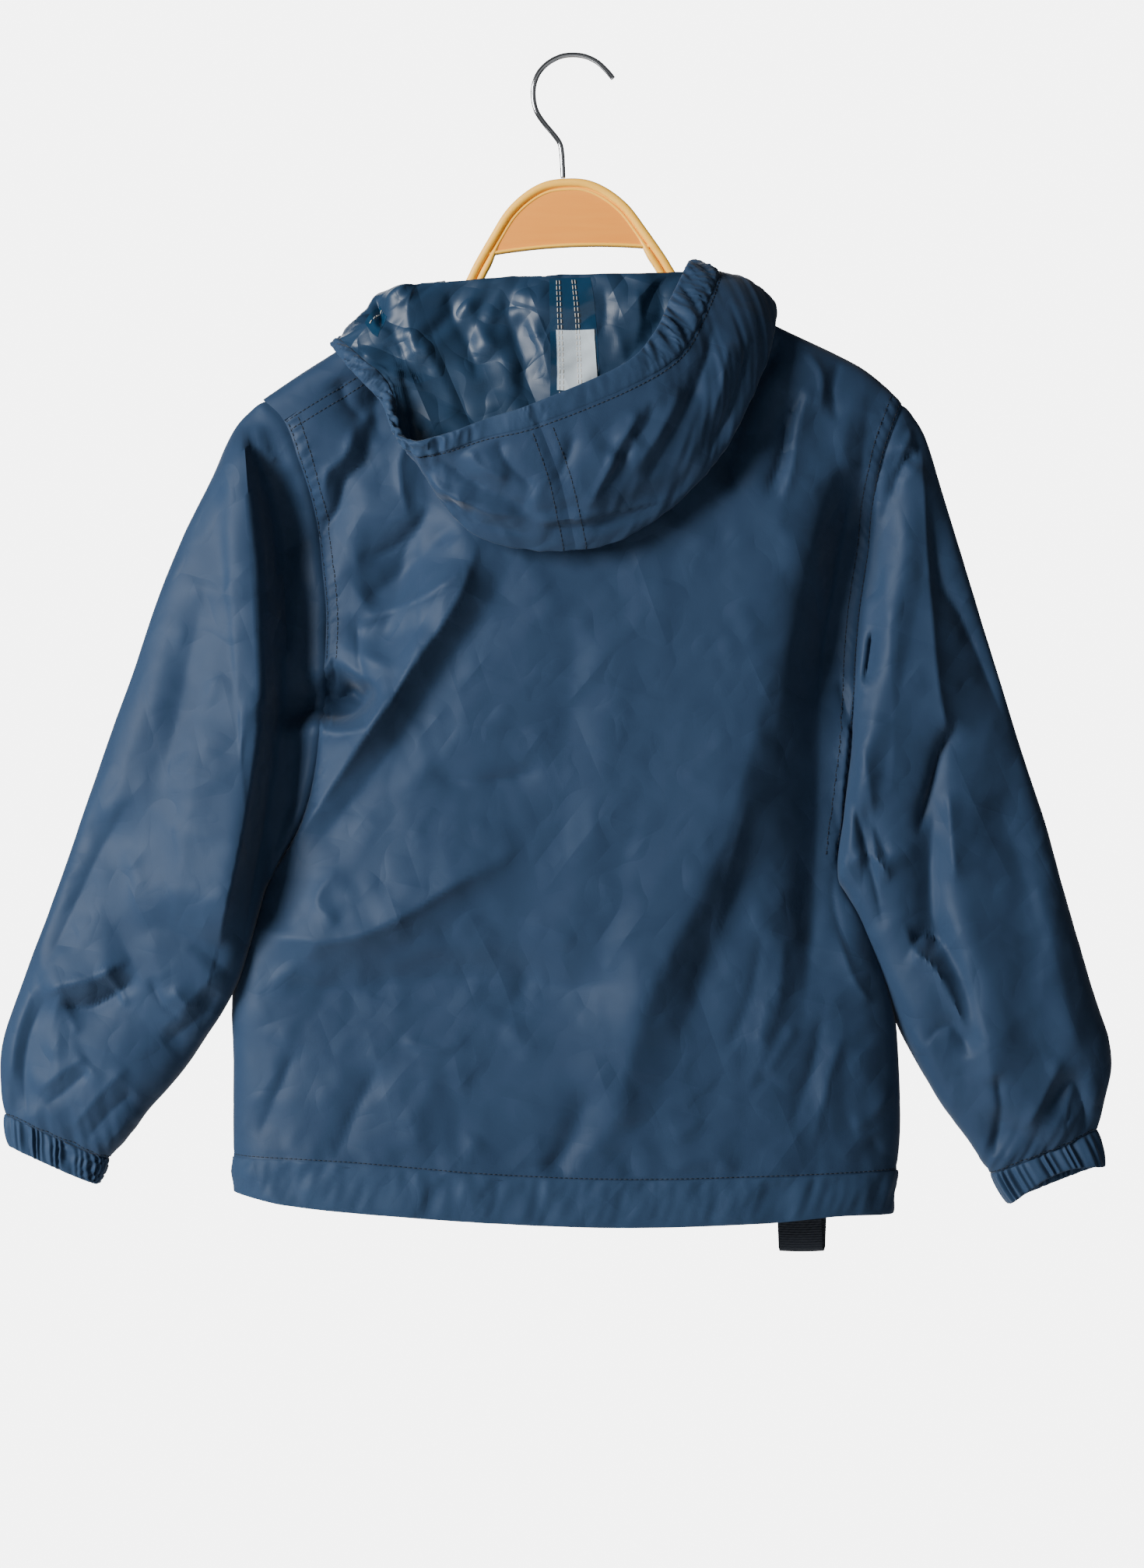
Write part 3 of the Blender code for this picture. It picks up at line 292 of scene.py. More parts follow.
FRONT_FOLDS = (
    Fold(9, 26, 18, ((-70, 320), (-120, 420), (-160, 500)), 1.7),
    Fold(-10, 20, 24, ((-46, 330), (-90, 420), (-136, 520))),
    Fold(-11, 24, 24, ((60, 310), (110, 410), (152, 500))),
    Fold(8, 18, 26, ((34, 330), (80, 430), (126, 530)), 1.7),
    Fold(7, 34, 30, ((90, 430), (66, 560), (56, 690))),
    Fold(-8, 22, 26, ((-110, 540), (-90, 620), (-98, 700))),
    Fold(6, 20, 20, ((-60, 520), (-48, 620), (-56, 706))),
    Fold(-6, 16, 20, ((128, 540), (130, 620), (120, 700))),
    Fold(-5, 6, 10, ((-180, 430), (-150, 440), (-120, 424)), 1.5),
    Fold(-5, 10, 6, ((100, 440), (132, 452), (168, 436)), 1.5),
    Fold(5, 22, 12, ((-200, 560), (-150, 566), (-96, 548))),
    Fold(5, 12, 22, ((80, 556), (140, 570), (190, 560))),
    Fold(-4, 8, 8, ((-150, 236), (-140, 276), (-150, 320)), 1.6),
    Fold(-4, 8, 8, ((150, 232), (146, 276), (158, 320)), 1.6),
)
LEFT_SLEEVE_FOLDS = (
    # The shaded hollow between the armhole and the sleeve's crest
    Fold(-17, 6, 26, ((-202, 250), (-197, 276), (-191, 312), (-187, 360), (-188, 410), (-193, 460),
                      (-203, 520), (-214, 590)), 1.7, 0.18),
    Fold(19, 30, 6, ((-213, 238), (-207, 273), (-201, 319), (-199, 366), (-198, 412), (-205, 470),
                     (-214, 520), (-226, 570)), 1.6, 0.1),
    Fold(5, 3, 4, ((-204, 236), (-199, 252), (-190, 262)), 1.5),
    Fold(-4, 3, 4, ((-210, 246), (-203, 262), (-196, 270)), 1.5),
    Fold(4, 6, 8, ((-176, 300), (-178, 350), (-183, 400)), 1.7),
    Fold(-5, 12, 16, ((-281, 474), (-302, 508), (-321, 548), (-338, 584)), 1.7),
    Fold(4, 20, 16, ((-262, 380), (-286, 450), (-300, 500))),
    Fold(-3, 10, 14, ((-232, 330), (-248, 400), (-262, 470))),
    Fold(4, 22, 18, ((-236, 420), (-246, 500), (-256, 560))),
    Fold(8, 6, 16, ((-340, 600), (-322, 594), (-306, 590), (-282, 578)), 1.4),
    Fold(-8, 10, 6, ((-330, 606), (-312, 609), (-296, 602), (-276, 588)), 1.6),
    Fold(3.3, 4, 5, ((-300, 582), (-292, 594), (-284, 608)), 1.5),
    Fold(-2.8, 4, 5, ((-270, 590), (-262, 606), (-250, 616)), 1.5),
    Fold(2.8, 4, 4, ((-256, 596), (-246, 606), (-236, 608)), 1.5),
    Fold(1.7, 3.5, 3.5, ((-329, 600), (-322, 614), (-316, 626)), 1.5),
    Fold(-4.4, 7, 10, ((-336, 600), (-348, 626), (-352, 656), (-349, 680)), 1.6),
    Fold(3.3, 8, 5, ((-344, 592), (-357, 626), (-361, 660))),
    Fold(6, 16, 22, ((-266, 626), (-240, 600), (-224, 582)), 1.4),
    Fold(-6.5, 14, 10, ((-262, 632), (-240, 616), (-226, 598)), 1.6),
    Fold(3.3, 7, 10, ((-344, 664), (-326, 650), (-310, 640)), 1.5),
    Fold(-3.3, 6, 7, ((-338, 672), (-322, 660), (-308, 648)), 1.5),
    Fold(2.8, 8, 8, ((-322, 688), (-302, 664), (-284, 646)), 1.5),
    Fold(-2.8, 7, 7, ((-312, 694), (-296, 676), (-280, 662)), 1.5),
    Fold(2.2, 7, 7, ((-300, 700), (-286, 684), (-276, 676)), 1.5),
    Fold(1.7, 9, 12, ((-270, 560), (-262, 590), (-256, 610))),
)
RIGHT_SLEEVE_FOLDS = (
    Fold(6, 14, 8, ((222, 248), (224, 285), (226, 320), (232, 400), (240, 440)), 1.5, 0.15),
    Fold(6, 3, 3.5, ((197, 254), (208, 251), (220, 250)), 1.5),
    Fold(-5, 3.5, 3, ((196, 261), (207, 259), (219, 256)), 1.5),
    Fold(4, 3, 4, ((204, 268), (211, 252), (217, 238)), 1.5),
    Fold(-4, 3, 4, ((203, 284), (208, 268), (210, 262)), 1.5),
    Fold(2, 8, 14, ((197, 300), (200, 366), (204, 420), (202, 480)), 1.8),
    Fold(-8, 12, 8, ((229, 285), (234, 336), (247, 358), (262, 392), (275, 425)), 1.5),
    Fold(-8, 4, 7, ((245, 426), (233, 447), (227, 470), (219, 498)), 1.5),
    Fold(5, 6, 8, ((238, 470), (240, 500), (243, 530)), 1.7),
    Fold(7, 4, 6, ((182, 366), (180, 388), (186, 412)), 1.6),
    Fold(-8, 3, 4, ((190, 368), (189, 385), (184, 404)), 1.5),
    Fold(-6, 5, 8, ((186, 300), (187, 330), (185, 350)), 1.7),
    Fold(4, 9, 8, ((180, 430), (188, 470), (193, 520), (198, 560)), 1.7),
    Fold(-7, 5, 8, ((176, 470), (184, 500), (192, 530), (198, 560)), 1.6),
    Fold(-5, 6, 6, ((184, 480), (194, 500), (200, 516)), 1.6),
    Fold(5, 5, 5, ((176, 516), (190, 512), (202, 528)), 1.5),
    Fold(-12, 17, 10, ((230, 470), (228, 508), (228, 543), (233, 562), (249, 596), (255, 632)), 1.8),
    Fold(6, 6, 6, ((214, 572), (230, 585), (252, 628)), 1.5),
    Fold(-6, 7, 5, ((214, 566), (226, 562), (236, 570)), 1.5),
    Fold(8, 10, 26, ((240, 540), (256, 600), (266, 650), (274, 690))),
    Fold(-5, 18, 14, ((268, 470), (288, 530), (302, 590))),
    Fold(5, 14, 14, ((292, 520), (310, 590), (322, 650))),
    Fold(-7, 9, 7, ((300, 678), (316, 656), (324, 668), (328, 690)), 1.6),
    Fold(5, 8, 8, ((284, 690), (300, 664), (310, 640)), 1.6),
    Fold(-6, 7, 7, ((268, 706), (272, 676), (268, 650)), 1.6),
    Fold(-5, 8, 8, ((222, 632), (240, 620), (254, 640)), 1.6),
    Fold(4, 9, 9, ((196, 262), (208, 272), (222, 262)), 1.6),
    Fold(-3, 5, 5, ((206, 262), (200, 286), (196, 300)), 1.6),
)
SLEEVE_FRONT_FOLDS = (
    Fold(-8, 12, 14, ((300, 600), (280, 560), (262, 530)), 1.7),
    Fold(7, 16, 12, ((262, 640), (286, 600), (318, 590)), 1.6),
    Fold(-7, 12, 12, ((232, 420), (246, 500), (262, 570)), 1.8),
    Fold(6, 14, 14, ((250, 380), (272, 470), (292, 550))),
    Fold(5, 9, 9, ((300, 690), (306, 660), (318, 630)), 1.6),
    Fold(-5, 8, 8, ((280, 696), (288, 664), (296, 640)), 1.6),
    Fold(-5, 8, 10, ((206, 300), (212, 370), (222, 430)), 1.7),
)
LEFT_RINGS = (
    Ring(-217, 237, -197, 530, 19, -4), Ring(-233, 271, -202, 549, 21, -7),
    Ring(-251, 307, -207.5, 570, 23, -9), Ring(-268, 349, -215, 593, 24, -9),
    Ring(-284, 397, -225.5, 613, 24, -7), Ring(-302, 447, -237, 630, 24, -4),
    Ring(-320, 499, -248, 646, 24), Ring(-337, 548, -260, 661, 24), Ring(-353, 590, -272, 674, 23),
    Ring(-367, 632, -281, 686, 21), Ring(-368, 664, -289.5, 697, 18), Ring(-364.5, 680, -300, 708, 13),
)
RIGHT_RINGS = (
    Ring(224, 241, 170.5, 530, 19, 2), Ring(236, 278, 180, 549, 21, 7), Ring(248, 317, 187.5, 570, 23, 9),
    Ring(260, 357, 197, 595, 24, 9), Ring(273, 399, 207, 620, 24, 7), Ring(287, 444, 217, 640, 24, 3),
    Ring(302, 491, 226, 656, 24), Ring(317, 545, 235, 671, 24), Ring(331, 592, 245, 685, 23),
    Ring(344.5, 640, 254, 697, 21), Ring(339, 674, 262.5, 710, 18), Ring(334.5, 690, 269, 718, 13),
)
LEFT_CUFF = Ring(-362, 699, -306, 723, 13)
RIGHT_CUFF = Ring(340, 712, 279.5, 736, 16)
HOOD_LEFT = (
    Station(0, (-12, 26, 210), (-12.5, 29, 207.5), (-13, 31.5, 206.8),
            (-13.5, 33.5, 208), (-14, 35, 210.5), (-14, 35.5, 213.5), (-14, 35.5, 219)),
    Station(2, (-56, 33, 181), (-61, 37, 184), (-65, 39, 188),
            (-68, 40, 193), (-71, 40, 198), (-74, 39.5, 203), (-79, 38.5, 212)),
    Station(3, (-86, 27, 155), (-97, 30, 160), (-106, 30.5, 166),
            (-114, 30.5, 172), (-122, 30, 178), (-130, 29, 184), (-141, 27, 193)),
    Station(4, (-104, 0, 148), (-124.5, -3, 152), (-131.5, -4, 160),
            (-139, -5, 168), (-146, -6, 175), (-150.5, -7, 180), (-155.5, -8, 186)),
    Station(6, (-108, -26, 149.5), (-122, -22, 166), (-127, -26, 176),
            (-130, -29, 184), (-133, -31, 191), (-134, -32, 197), (-139.5, -32.5, 206.5)),
    Station(8, (-97, -23, 148), (-108, -27, 176), (-112, -29.5, 190),
            (-114, -32, 201), (-116, -34, 209), (-117, -36, 214.5), (-124, -38, 223)),
    Station(9, (-80, -24, 147.5), (-92, -30, 195), (-94, -34, 262),
            (-97, -41, 268), (-101, -49, 263), (-102, -56, 259), (-103, -61, 251)),
    Station(10, (-44, -25, 145), (-52, -31, 205), (-58, -37, 301),
            (-59, -44, 305), (-58, -62, 272), (-53, -65, 249), (-50, -66, 236)),
)
HOOD_CENTRE = Station(11, (-4, -25, 143.5), (0, -31, 210), (0, -39, 308),
                      (0, -46, 313), (-9, -65, 276), (-22, -68, 241), (-26, -69, 228.5))
HOOD_RIGHT = (
    Station(12, (33, -25, 143), (42, -31, 205), (41, -38, 295),
            (43, -46, 300), (40, -64, 260), (34, -67, 218), (29, -67, 204.5)),
    Station(13, (64, -23, 142), (79, -31, 190), (86, -35, 256),
            (89, -45, 261), (82, -55, 230), (66, -59, 197), (49, -59, 184.5)),
    Station(14, (86, -16, 141), (106, -27, 170), (116, -30, 200),
            (119, -36, 206), (107, -44, 188), (82, -45, 168), (60.5, -42, 160)),
    Station(15, (90, 0, 141.5), (110, -1, 155), (124, -3, 163),
            (129, -10, 159), (112, -16, 145.5), (92, -19, 140), (72, -20, 134.5)),
    Station(16, (86, 20, 144), (102, 26, 156), (109, 29, 166),
            (112, 34, 163), (99, 37, 150), (84, 36, 142), (69, 33, 136)),
    Station(17, (58, 31, 174), (66, 36, 181), (69, 39, 188),
            (70, 43, 188), (64, 46, 182), (54, 46, 177), (43, 43, 171)),
    Station(19, (2, 27, 210), (4, 30, 207.5), (5.5, 32.5, 205.5),
            (6, 34.5, 203), (5.5, 35.5, 200), (4.5, 35.5, 197), (3, 34.5, 192)),
)
NAPE_FOLDS = (
    Fold(-9, 3, 5, ((-127, 155), (-124, 176), (-119, 196), (-115, 212)), 1.5),
    Fold(7, 13, 18, ((-106, 148), (-104, 178), (-98, 206)), 1.8),
    Fold(-3.4, 6, 7, ((-82, 150), (-76, 172), (-66, 190), (-62, 212)), 1.6),
    Fold(2.2, 5, 6, ((-70, 158), (-62, 176), (-48, 194)), 1.5),
    Fold(-2.6, 5, 5, ((-110, 200), (-96, 212), (-78, 228), (-62, 242)), 1.5),
    Fold(2.2, 5, 6, ((-98, 188), (-86, 206), (-74, 226)), 1.5),
    Fold(-2.6, 5, 7, ((-46, 152), (-40, 178), (-32, 200), (-34, 226)), 1.5),
    Fold(2.2, 5, 5, ((-34, 160), (-26, 178), (-18, 196), (-20, 214)), 1.5),
    Fold(1.9, 6, 5, ((-58, 184), (-44, 200), (-38, 220)), 1.5),
    Fold(2.2, 8, 7, ((22, 168), (29, 186), (33, 206)), 1.6),
    Fold(-2.6, 6, 8, ((56, 150), (54, 172), (44, 194)), 1.6),
    Fold(-1.9, 4, 5, ((18, 150), (20, 166), (16, 184)), 1.5),
    Fold(1.9, 5, 5, ((40, 152), (42, 170), (38, 190)), 1.5),
)
CROWN_FOLDS = (
    Fold(-5, 4, 6, ((-86, 262), (-70, 274), (-54, 283), (-24, 298)), 1.4),
    Fold(-5.5, 3, 9, ((10, 306), (34, 297), (62, 287), (84, 272)), 1.3),
    Fold(6, 5, 6, ((-92, 271), (-76, 283), (-59, 291), (-30, 299)), 1.4),
    Fold(-5.2, 4, 5, ((-84, 286), (-70, 296), (-57, 304), (-22, 312)), 1.5),
    Fold(3.8, 4, 3, ((-26, 300), (1, 299), (34, 294), (59, 288), (76, 282)), 1.5, 0.15),
    Fold(-3.8, 4, 4, ((-22, 306), (4, 305), (36, 300), (60, 293)), 1.5),
    Fold(3.8, 5, 6, ((26, 258), (20, 272), (6, 295)), 1.5),
    Fold(-3.8, 4, 5, ((36, 252), (30, 266), (14, 288)), 1.5),
    Fold(3, 6, 6, ((66, 218), (57, 240), (36, 272)), 1.5),
    Fold(-3.8, 5, 5, ((78, 210), (69, 234), (56, 258), (46, 276)), 1.5),
    Fold(2.7, 6, 7, ((97, 186), (93, 212), (86, 238)), 1.5),
    Fold(-3, 4, 5, ((88, 176), (84, 196), (78, 214), (76, 228)), 1.5),
    Fold(-4.5, 6, 5, ((112, 186), (106, 212), (97, 236), (84, 262)), 1.6),
    Fold(-3, 4, 4, ((52, 226), (44, 242), (36, 250)), 1.5),
    Fold(3, 4, 4, ((40, 232), (34, 246), (26, 256)), 1.5),
    Fold(-3, 5, 4, ((-48, 250), (-42, 266), (-22, 284)), 1.5),
    Fold(3, 4, 5, ((-66, 256), (-58, 268), (-40, 276)), 1.5),
    Fold(-3, 4, 4, ((0, 246), (-4, 262), (-12, 280)), 1.5),
)
CREASE_RUNS = ((0.3, 34.0), (1.2, 26.0), (2.2, 40.0), (2.75, 23.0), (0.8, 18.0))
HANGER_EDGE = (
    Line(0, 0), Line(14, 1.6), Line(27, 8), Line(39.5, 19), Line(50.5, 35), Line(61, 51.5),
    Line(68, 64), Line(76, 75.5), Line(90, 87), Line(115, 100), Line(145, 113), Line(164, 124),
    Line(170, 129),
)
HOOK_ROUTE = (
    (25, -13.5), (20.5, -8.2), (14.5, -2.8), (7, 0.7), (-1, 1.7), (-9, 0.6), (-17, -3.6), (-23, -10),
    (-26, -18), (-26.3, -26), (-24.3, -34.5), (-19.5, -42), (-13.2, -49.5), (-9.4, -55), (-8.1, -61),
    (-7.6, -69), (-7.2, -77.4),
)


def read(table: Sequence[Level] | Sequence[Line], at: np.ndarray, column: str = "below") -> np.ndarray:
    """Reads the smooth curve through a table's rows.

    Args:
        table: rows whose first field is the key, rising.
        at: keys to read at; past both ends the value holds level.
        column: the name of the field to read.

    Returns:
        The values, in the shape of at.
    """
    keys = np.array([row[0] for row in table], float)
    values = np.array([getattr(row, column) for row in table], float)
    ends = np.arange(len(keys))
    low, high = np.maximum(ends - 1, 0), np.minimum(ends + 1, len(keys) - 1)
    slopes = (values[high] - values[low]) / (keys[high] - keys[low])
    at = np.clip(np.asarray(at, float), keys[0], keys[-1])
    left = np.clip(np.searchsorted(keys, at, side="right") - 1, 0, len(keys) - 2)
    span = keys[left + 1] - keys[left]
    t = (at - keys[left]) / span
    rise = (1 + 2 * t) * (1 - t) ** 2 * values[left] + t * t * (3 - 2 * t) * values[left + 1]
    return rise + span * (t * (1 - t) ** 2 * slopes[left] - t * t * (1 - t) * slopes[left + 1])


def smooth_at(points: np.ndarray, at: np.ndarray) -> np.ndarray:
    """Reads the smooth curve through equally keyed points.

    Args:
        points: values along the first axis.
        at: places, each an index and a share past it.

    Returns:
        The values, with at's length as first axis.
    """
    at = np.asarray(at, float)
    last = len(points) - 1
    index = np.clip(at.astype(int), 0, last - 1)
    share = (at - index).reshape((-1,) + (1,) * (points.ndim - 1))
    start, end = points[index], points[index + 1]
    leave = (end - points[np.maximum(index - 1, 0)]) / 2
    reach = (points[np.minimum(index + 2, last)] - start) / 2
    bend = (1 + 2 * share) * (1 - share) ** 2 * start + share**2 * (3 - 2 * share) * end
    return bend + share * (1 - share) ** 2 * leave - share**2 * (1 - share) * reach


def along(points: np.ndarray, at: np.ndarray) -> np.ndarray:
    """Reads a line of straight runs.

    Args:
        points: the line's points.
        at: places, each an index and a share past it.

    Returns:
        The points there.
    """
    at = np.asarray(at, float)
    index = np.clip(at.astype(int), 0, len(points) - 2)
    share = (at - index)[..., None]
    return points[index] * (1 - share) + points[index + 1] * share


def scattered(x: np.ndarray, y: np.ndarray, seed: int) -> np.ndarray:
    """A scattered 32-bit whole number for each cell of a plane."""
    mixed = (x * HASH_X + y * HASH_Y + seed * HASH_SEED) & 0xFFFFFFFF
    return ((mixed ^ (mixed >> 13)) * HASH_MIX) & 0xFFFFFFFF


def wander(x: np.ndarray, y: np.ndarray, seed: int) -> np.ndarray:
    """Smooth noise over a plane, about -1 to 1, with features one unit across.

    Args:
        x: the places' first measure.
        y: their second.
        seed: which of the patterns it is.

    Returns:
        The values there.
    """
    xi, yi = np.floor(x).astype(np.int64), np.floor(y).astype(np.int64)
    xf, yf = x - xi, y - yi

    def corner(step_x: int, step_y: int) -> np.ndarray:
        """What the slope at one corner of the point's cell adds."""
        mixed = scattered(xi + step_x, yi + step_y, seed)
        angle = ((mixed >> 8) & 0xFFFF) * (2 * math.pi / 65536)
        return np.cos(angle) * (xf - step_x) + np.sin(angle) * (yf - step_y)

    ease_x = xf**3 * (xf * (xf * 6 - 15) + 10)
    ease_y = yf**3 * (yf * (yf * 6 - 15) + 10)
    near = corner(0, 0) * (1 - ease_x) + corner(1, 0) * ease_x
    far = corner(0, 1) * (1 - ease_x) + corner(1, 1) * ease_x
    return 1.5 * (near * (1 - ease_y) + far * ease_y)


def smoothstep(value: np.ndarray, low: float, high: float) -> np.ndarray:
    """Rises smoothly from 0 at low to 1 at high."""
    t = np.clip((value - low) / (high - low), 0, 1)
    return t * t * (3 - 2 * t)


def folds_at(folds: Sequence[Fold], x: np.ndarray, below: np.ndarray) -> np.ndarray:
    """How far the folds move the cloth out at each point.

    Args:
        folds: the folds, in x and below.
        x: the points' x.
        below: the points' distance under the origin.

    Returns:
        The outward moves in millimetres, in the shape of x.
    """
    total = np.zeros(np.broadcast(x, below).shape)
    x, below = np.broadcast_to(x, total.shape), np.broadcast_to(below, total.shape)
    for fold in folds:
        nodes = np.array(fold.path, float)
        path = smooth_at(nodes, np.linspace(0, len(nodes) - 1, 6 * (len(nodes) - 1) + 1))
        room = 2.6 * max(fold.left, fold.right) * (1.0 if fold.crest > 1.7 else 1.4)
        close = (
            (x > path[:, 0].min() - room) & (x < path[:, 0].max() + room)
            & (below > path[:, 1].min() - room) & (below < path[:, 1].max() + room)
        )
        if not close.any():
            continue
        px, pb = x[close], below[close]
        best = np.full(px.shape, 1e9)
        run = np.zeros(px.shape)
        side = np.zeros(px.shape)
        for i in range(len(path) - 1):
            step = path[i + 1] - path[i]
            length = float(step @ step)
            share = np.clip(((px - path[i, 0]) * step[0] + (pb - path[i, 1]) * step[1]) / length, 0, 1)
            off_x = px - path[i, 0] - step[0] * share
            off_b = pb - path[i, 1] - step[1] * share
            gap = np.hypot(off_x, off_b)
            nearer = gap < best
            best = np.where(nearer, gap, best)
            run = np.where(nearer, (i + share) / (len(path) - 1), run)
            side = np.where(nearer, (px - path[i, 0]) * step[1] - (pb - path[i, 1]) * step[0], side)
        reach = np.where(side > 0, fold.right, fold.left)
        fade = smoothstep(run, -0.02, fold.ends) * (1 - smoothstep(run, 1 - fold.ends, 1.02))
        power = max(1.0, 1.4 * fold.crest - 1.15)
        total[close] += fold.height * fade * np.exp(-((best / reach) ** power))
    return total


def facets(across: np.ndarray, down: np.ndarray, seed: int) -> np.ndarray:
    """Crisp creases between shallow hollows, about -0.3 to 0.5, with hollows one unit across.

    Args:
        across: the places' first measure.
        down: their second.
        seed: which of the patterns it is.

    Returns:
        The values there.
    """
    bend = 0.35 * wander(across / 1.7, down / 1.7, seed + 9)
    across, down = across + bend, down - bend
    xi, yi = np.floor(across).astype(np.int64), np.floor(down).astype(np.int64)
    nearest = np.full(np.broadcast(across, down).shape, 9.0)
    for step_x in (-1, 0, 1):
        for step_y in (-1, 0, 1):
            mixed = scattered(xi + step_x, yi + step_y, seed)
            jitter_x, jitter_y = ((mixed >> 8) & 0xFFF) / 4095, ((mixed >> 20) & 0xFFF) / 4095
            level = ((mixed >> 4) & 0xFF) / 255 * 0.3
            gap_x = xi + step_x + jitter_x - across
            gap_y = yi + step_y + jitter_y - down
            nearest = np.minimum(nearest, gap_x**2 + gap_y**2 + level)
    return nearest - 0.35


def creased(across: np.ndarray, down: np.ndarray, seed: int) -> np.ndarray:
    """Crisp straight-sided creases that cross each other, as in crushed taffeta, about -1 to 1.

    Args:
        across: the places' distance across the cloth, in millimetres.
        down: their distance down it.
        seed: which of the patterns it is.

    Returns:
        The values there.
    """
    total = np.zeros(np.broadcast(across, down).shape)
    for index, (turn, gap) in enumerate(CREASE_RUNS):
        way = across * math.cos(turn) + down * math.sin(turn)
        side = down * math.cos(turn) - across * math.sin(turn)
        phase = way / gap + 0.9 * wander(side / 75, way / 120, seed + index)
        wave = 2 * np.abs(2 * (phase - np.floor(phase + 0.5))) - 1
        where = smoothstep(wander(side / 62, way / 40, seed + 20 + index), -0.1, 0.45)
        total += gap / 30 * wave * where
    return total / 2.2


def crumple(across: np.ndarray, down: np.ndarray, seed: int) -> np.ndarray:
    """The small uneven ripples of crisp coated nylon, in millimetres, about -1 to 1.

    Args:
        across: the places' distance across the cloth, in millimetres.
        down: their distance down it.
        seed: which of the patterns it is.

    Returns:
        The heights there.
    """
    bend = 9 * wander(across / 70, down / 90, seed + 5)
    long_waves = wander((across + bend) / 38, down / 105, seed)
    short = np.abs(wander((across + bend) / 21, (down - bend) / 30, seed + 1))
    nick = np.abs(wander((across - down) / 15, (across + down) / 19, seed + 2))
    where = smoothstep(wander(across / 90, down / 80, seed + 3), -0.1, 0.55)
    crisp = facets((across + bend) / 52, (down + 0.4 * across) / 78, seed + 6)
    small = facets((across - bend) / 27, (down - 0.5 * across) / 36, seed + 7)
    soft = 0.5 * long_waves + 0.3 * (0.3 - short) + 0.3 * where * (0.25 - nick)
    return 0.5 * soft + crisp + 0.8 * (0.25 + 0.75 * where) * small


def side_share(below: np.ndarray) -> np.ndarray:
    """How much of its depth the body keeps at its side edge: some at the armhole, none under it."""
    drop = np.clip((below - ARMHOLE_TOP) / (UNDERARM - ARMHOLE_TOP), 0, 1)
    return 0.6 * (1 - drop**4) ** 0.75


def body_depth(x: np.ndarray, below: np.ndarray, face: Face) -> np.ndarray:
    """How far the body's back or front stands out from its middle plane, folds and all.

    Args:
        x: the points' x.
        below: the points' distance under the origin.
        face: the side of the jacket.

    Returns:
        The depths in millimetres.
    """
    x, below = np.asarray(x, float), np.asarray(below, float)
    drop = below - read(RIDGE, x)
    left, right = read(TORSO, below, "left"), read(TORSO, below, "right")
    inward = np.where(x < CENTRE_X, (x - left) / (CENTRE_X - left), (right - x) / (right - CENTRE_X))
    share = side_share(below)
    sharpness = 1 + 1.6 * smoothstep(below, 400, 640)
    inward = np.clip(inward, 0, 1)
    held = share + (1 - share) * (1 - (1 - inward) ** 3.8) ** (1 / sharpness)
    full = read(TORSO, below, "back" if face is Face.BACK else "front")
    folds = folds_at(BACK_FOLDS if face is Face.BACK else FRONT_FOLDS, x, below)
    seed = BACK_SEED if face is Face.BACK else FRONT_SEED
    calm = np.exp(-(((x - 12) / 92) ** 2)) * smoothstep(below, 320, 400) * (1 - smoothstep(below, 650, 710))
    folds = folds + crumple(x, below, seed) * (1 - 0.5 * calm)
    folds = folds + 0.9 * creased(x, below, seed + 30) * (1 - 0.8 * calm)
    rise = np.clip(drop / 45, 0, 1)
    return np.where(drop <= 0, 0.0, (full + folds) * held * (1 - (1 - rise) ** 3) ** (1 / 3))


def body_points(x: np.ndarray, below: np.ndarray, face: Face) -> np.ndarray:
    """Points of the body's surface, with y in the last axis's middle place."""
    depth = body_depth(x, below, face)
    return np.stack(np.broadcast_arrays(x, depth * face.value, -below), axis=-1)


def ridge(x: np.ndarray) -> np.ndarray:
    """The shoulder line."""
    return read(RIDGE, x)


def back_top(x: np.ndarray) -> np.ndarray:
    """The back's top edge: its shoulder seam, and the neck between."""
    return ridge(x) + np.maximum(read(BACK_NECK_DROP, x), 0)


def front_top(x: np.ndarray) -> np.ndarray:
    """The fronts' top edge: the shoulder line, and the neck between."""
    return ridge(x) + np.maximum(read(FRONT_NECK_DROP, x), 0)


def across_body(column: np.ndarray, edge_left: np.ndarray, edge_right: np.ndarray, face: Face) -> np.ndarray:
    """The x at shares of the way to the side edges.

    The fronts stand back from the zip, less and less towards their side edges.

    Args:
        column: the shares, -1 at the left edge and 1 at the right.
        edge_left: the left edge's x.
        edge_right: the right edge's x.
        face: the side of the jacket.

    Returns:
        The x of each share.
    """
    edge = np.where(column < 0, edge_left, edge_right)
    x = CENTRE_X + (edge - CENTRE_X) * np.abs(column)
    if face is Face.FRONT:
        x = x + np.sign(column) * 5.0 * (1 - np.abs(column)) ** 4
    return x


def panel_rows(columns: np.ndarray, shares: np.ndarray, face: Face) -> tuple[np.ndarray, np.ndarray]:
    """The x and below of a panel's rows from its top edge down to the underarm line.

    Args:
        columns: each column's share of the way to a side edge.
        shares: each row's share of the way down.
        face: the side of the jacket.

    Returns:
        The x and the below of each point.
    """
    corners = BACK_CORNERS if face is Face.BACK else FRONT_CORNERS
    top = back_top if face is Face.BACK else front_top
    columns = columns[None, :]
    level_left = corners[0] + (UNDERARM - corners[0]) * shares[:, None]
    level_right = corners[1] + (UNDERARM - corners[1]) * shares[:, None]
    left, right = read(TORSO, level_left, "left"), read(TORSO, level_right, "right")
    x = across_body(columns, left, right, face)
    left, right = read(TORSO, corners[0], "left"), read(TORSO, corners[1], "right")
    top_x = across_body(columns, left, right, face)
    start = top(top_x)
    return x, start + (UNDERARM - start) * shares[:, None]


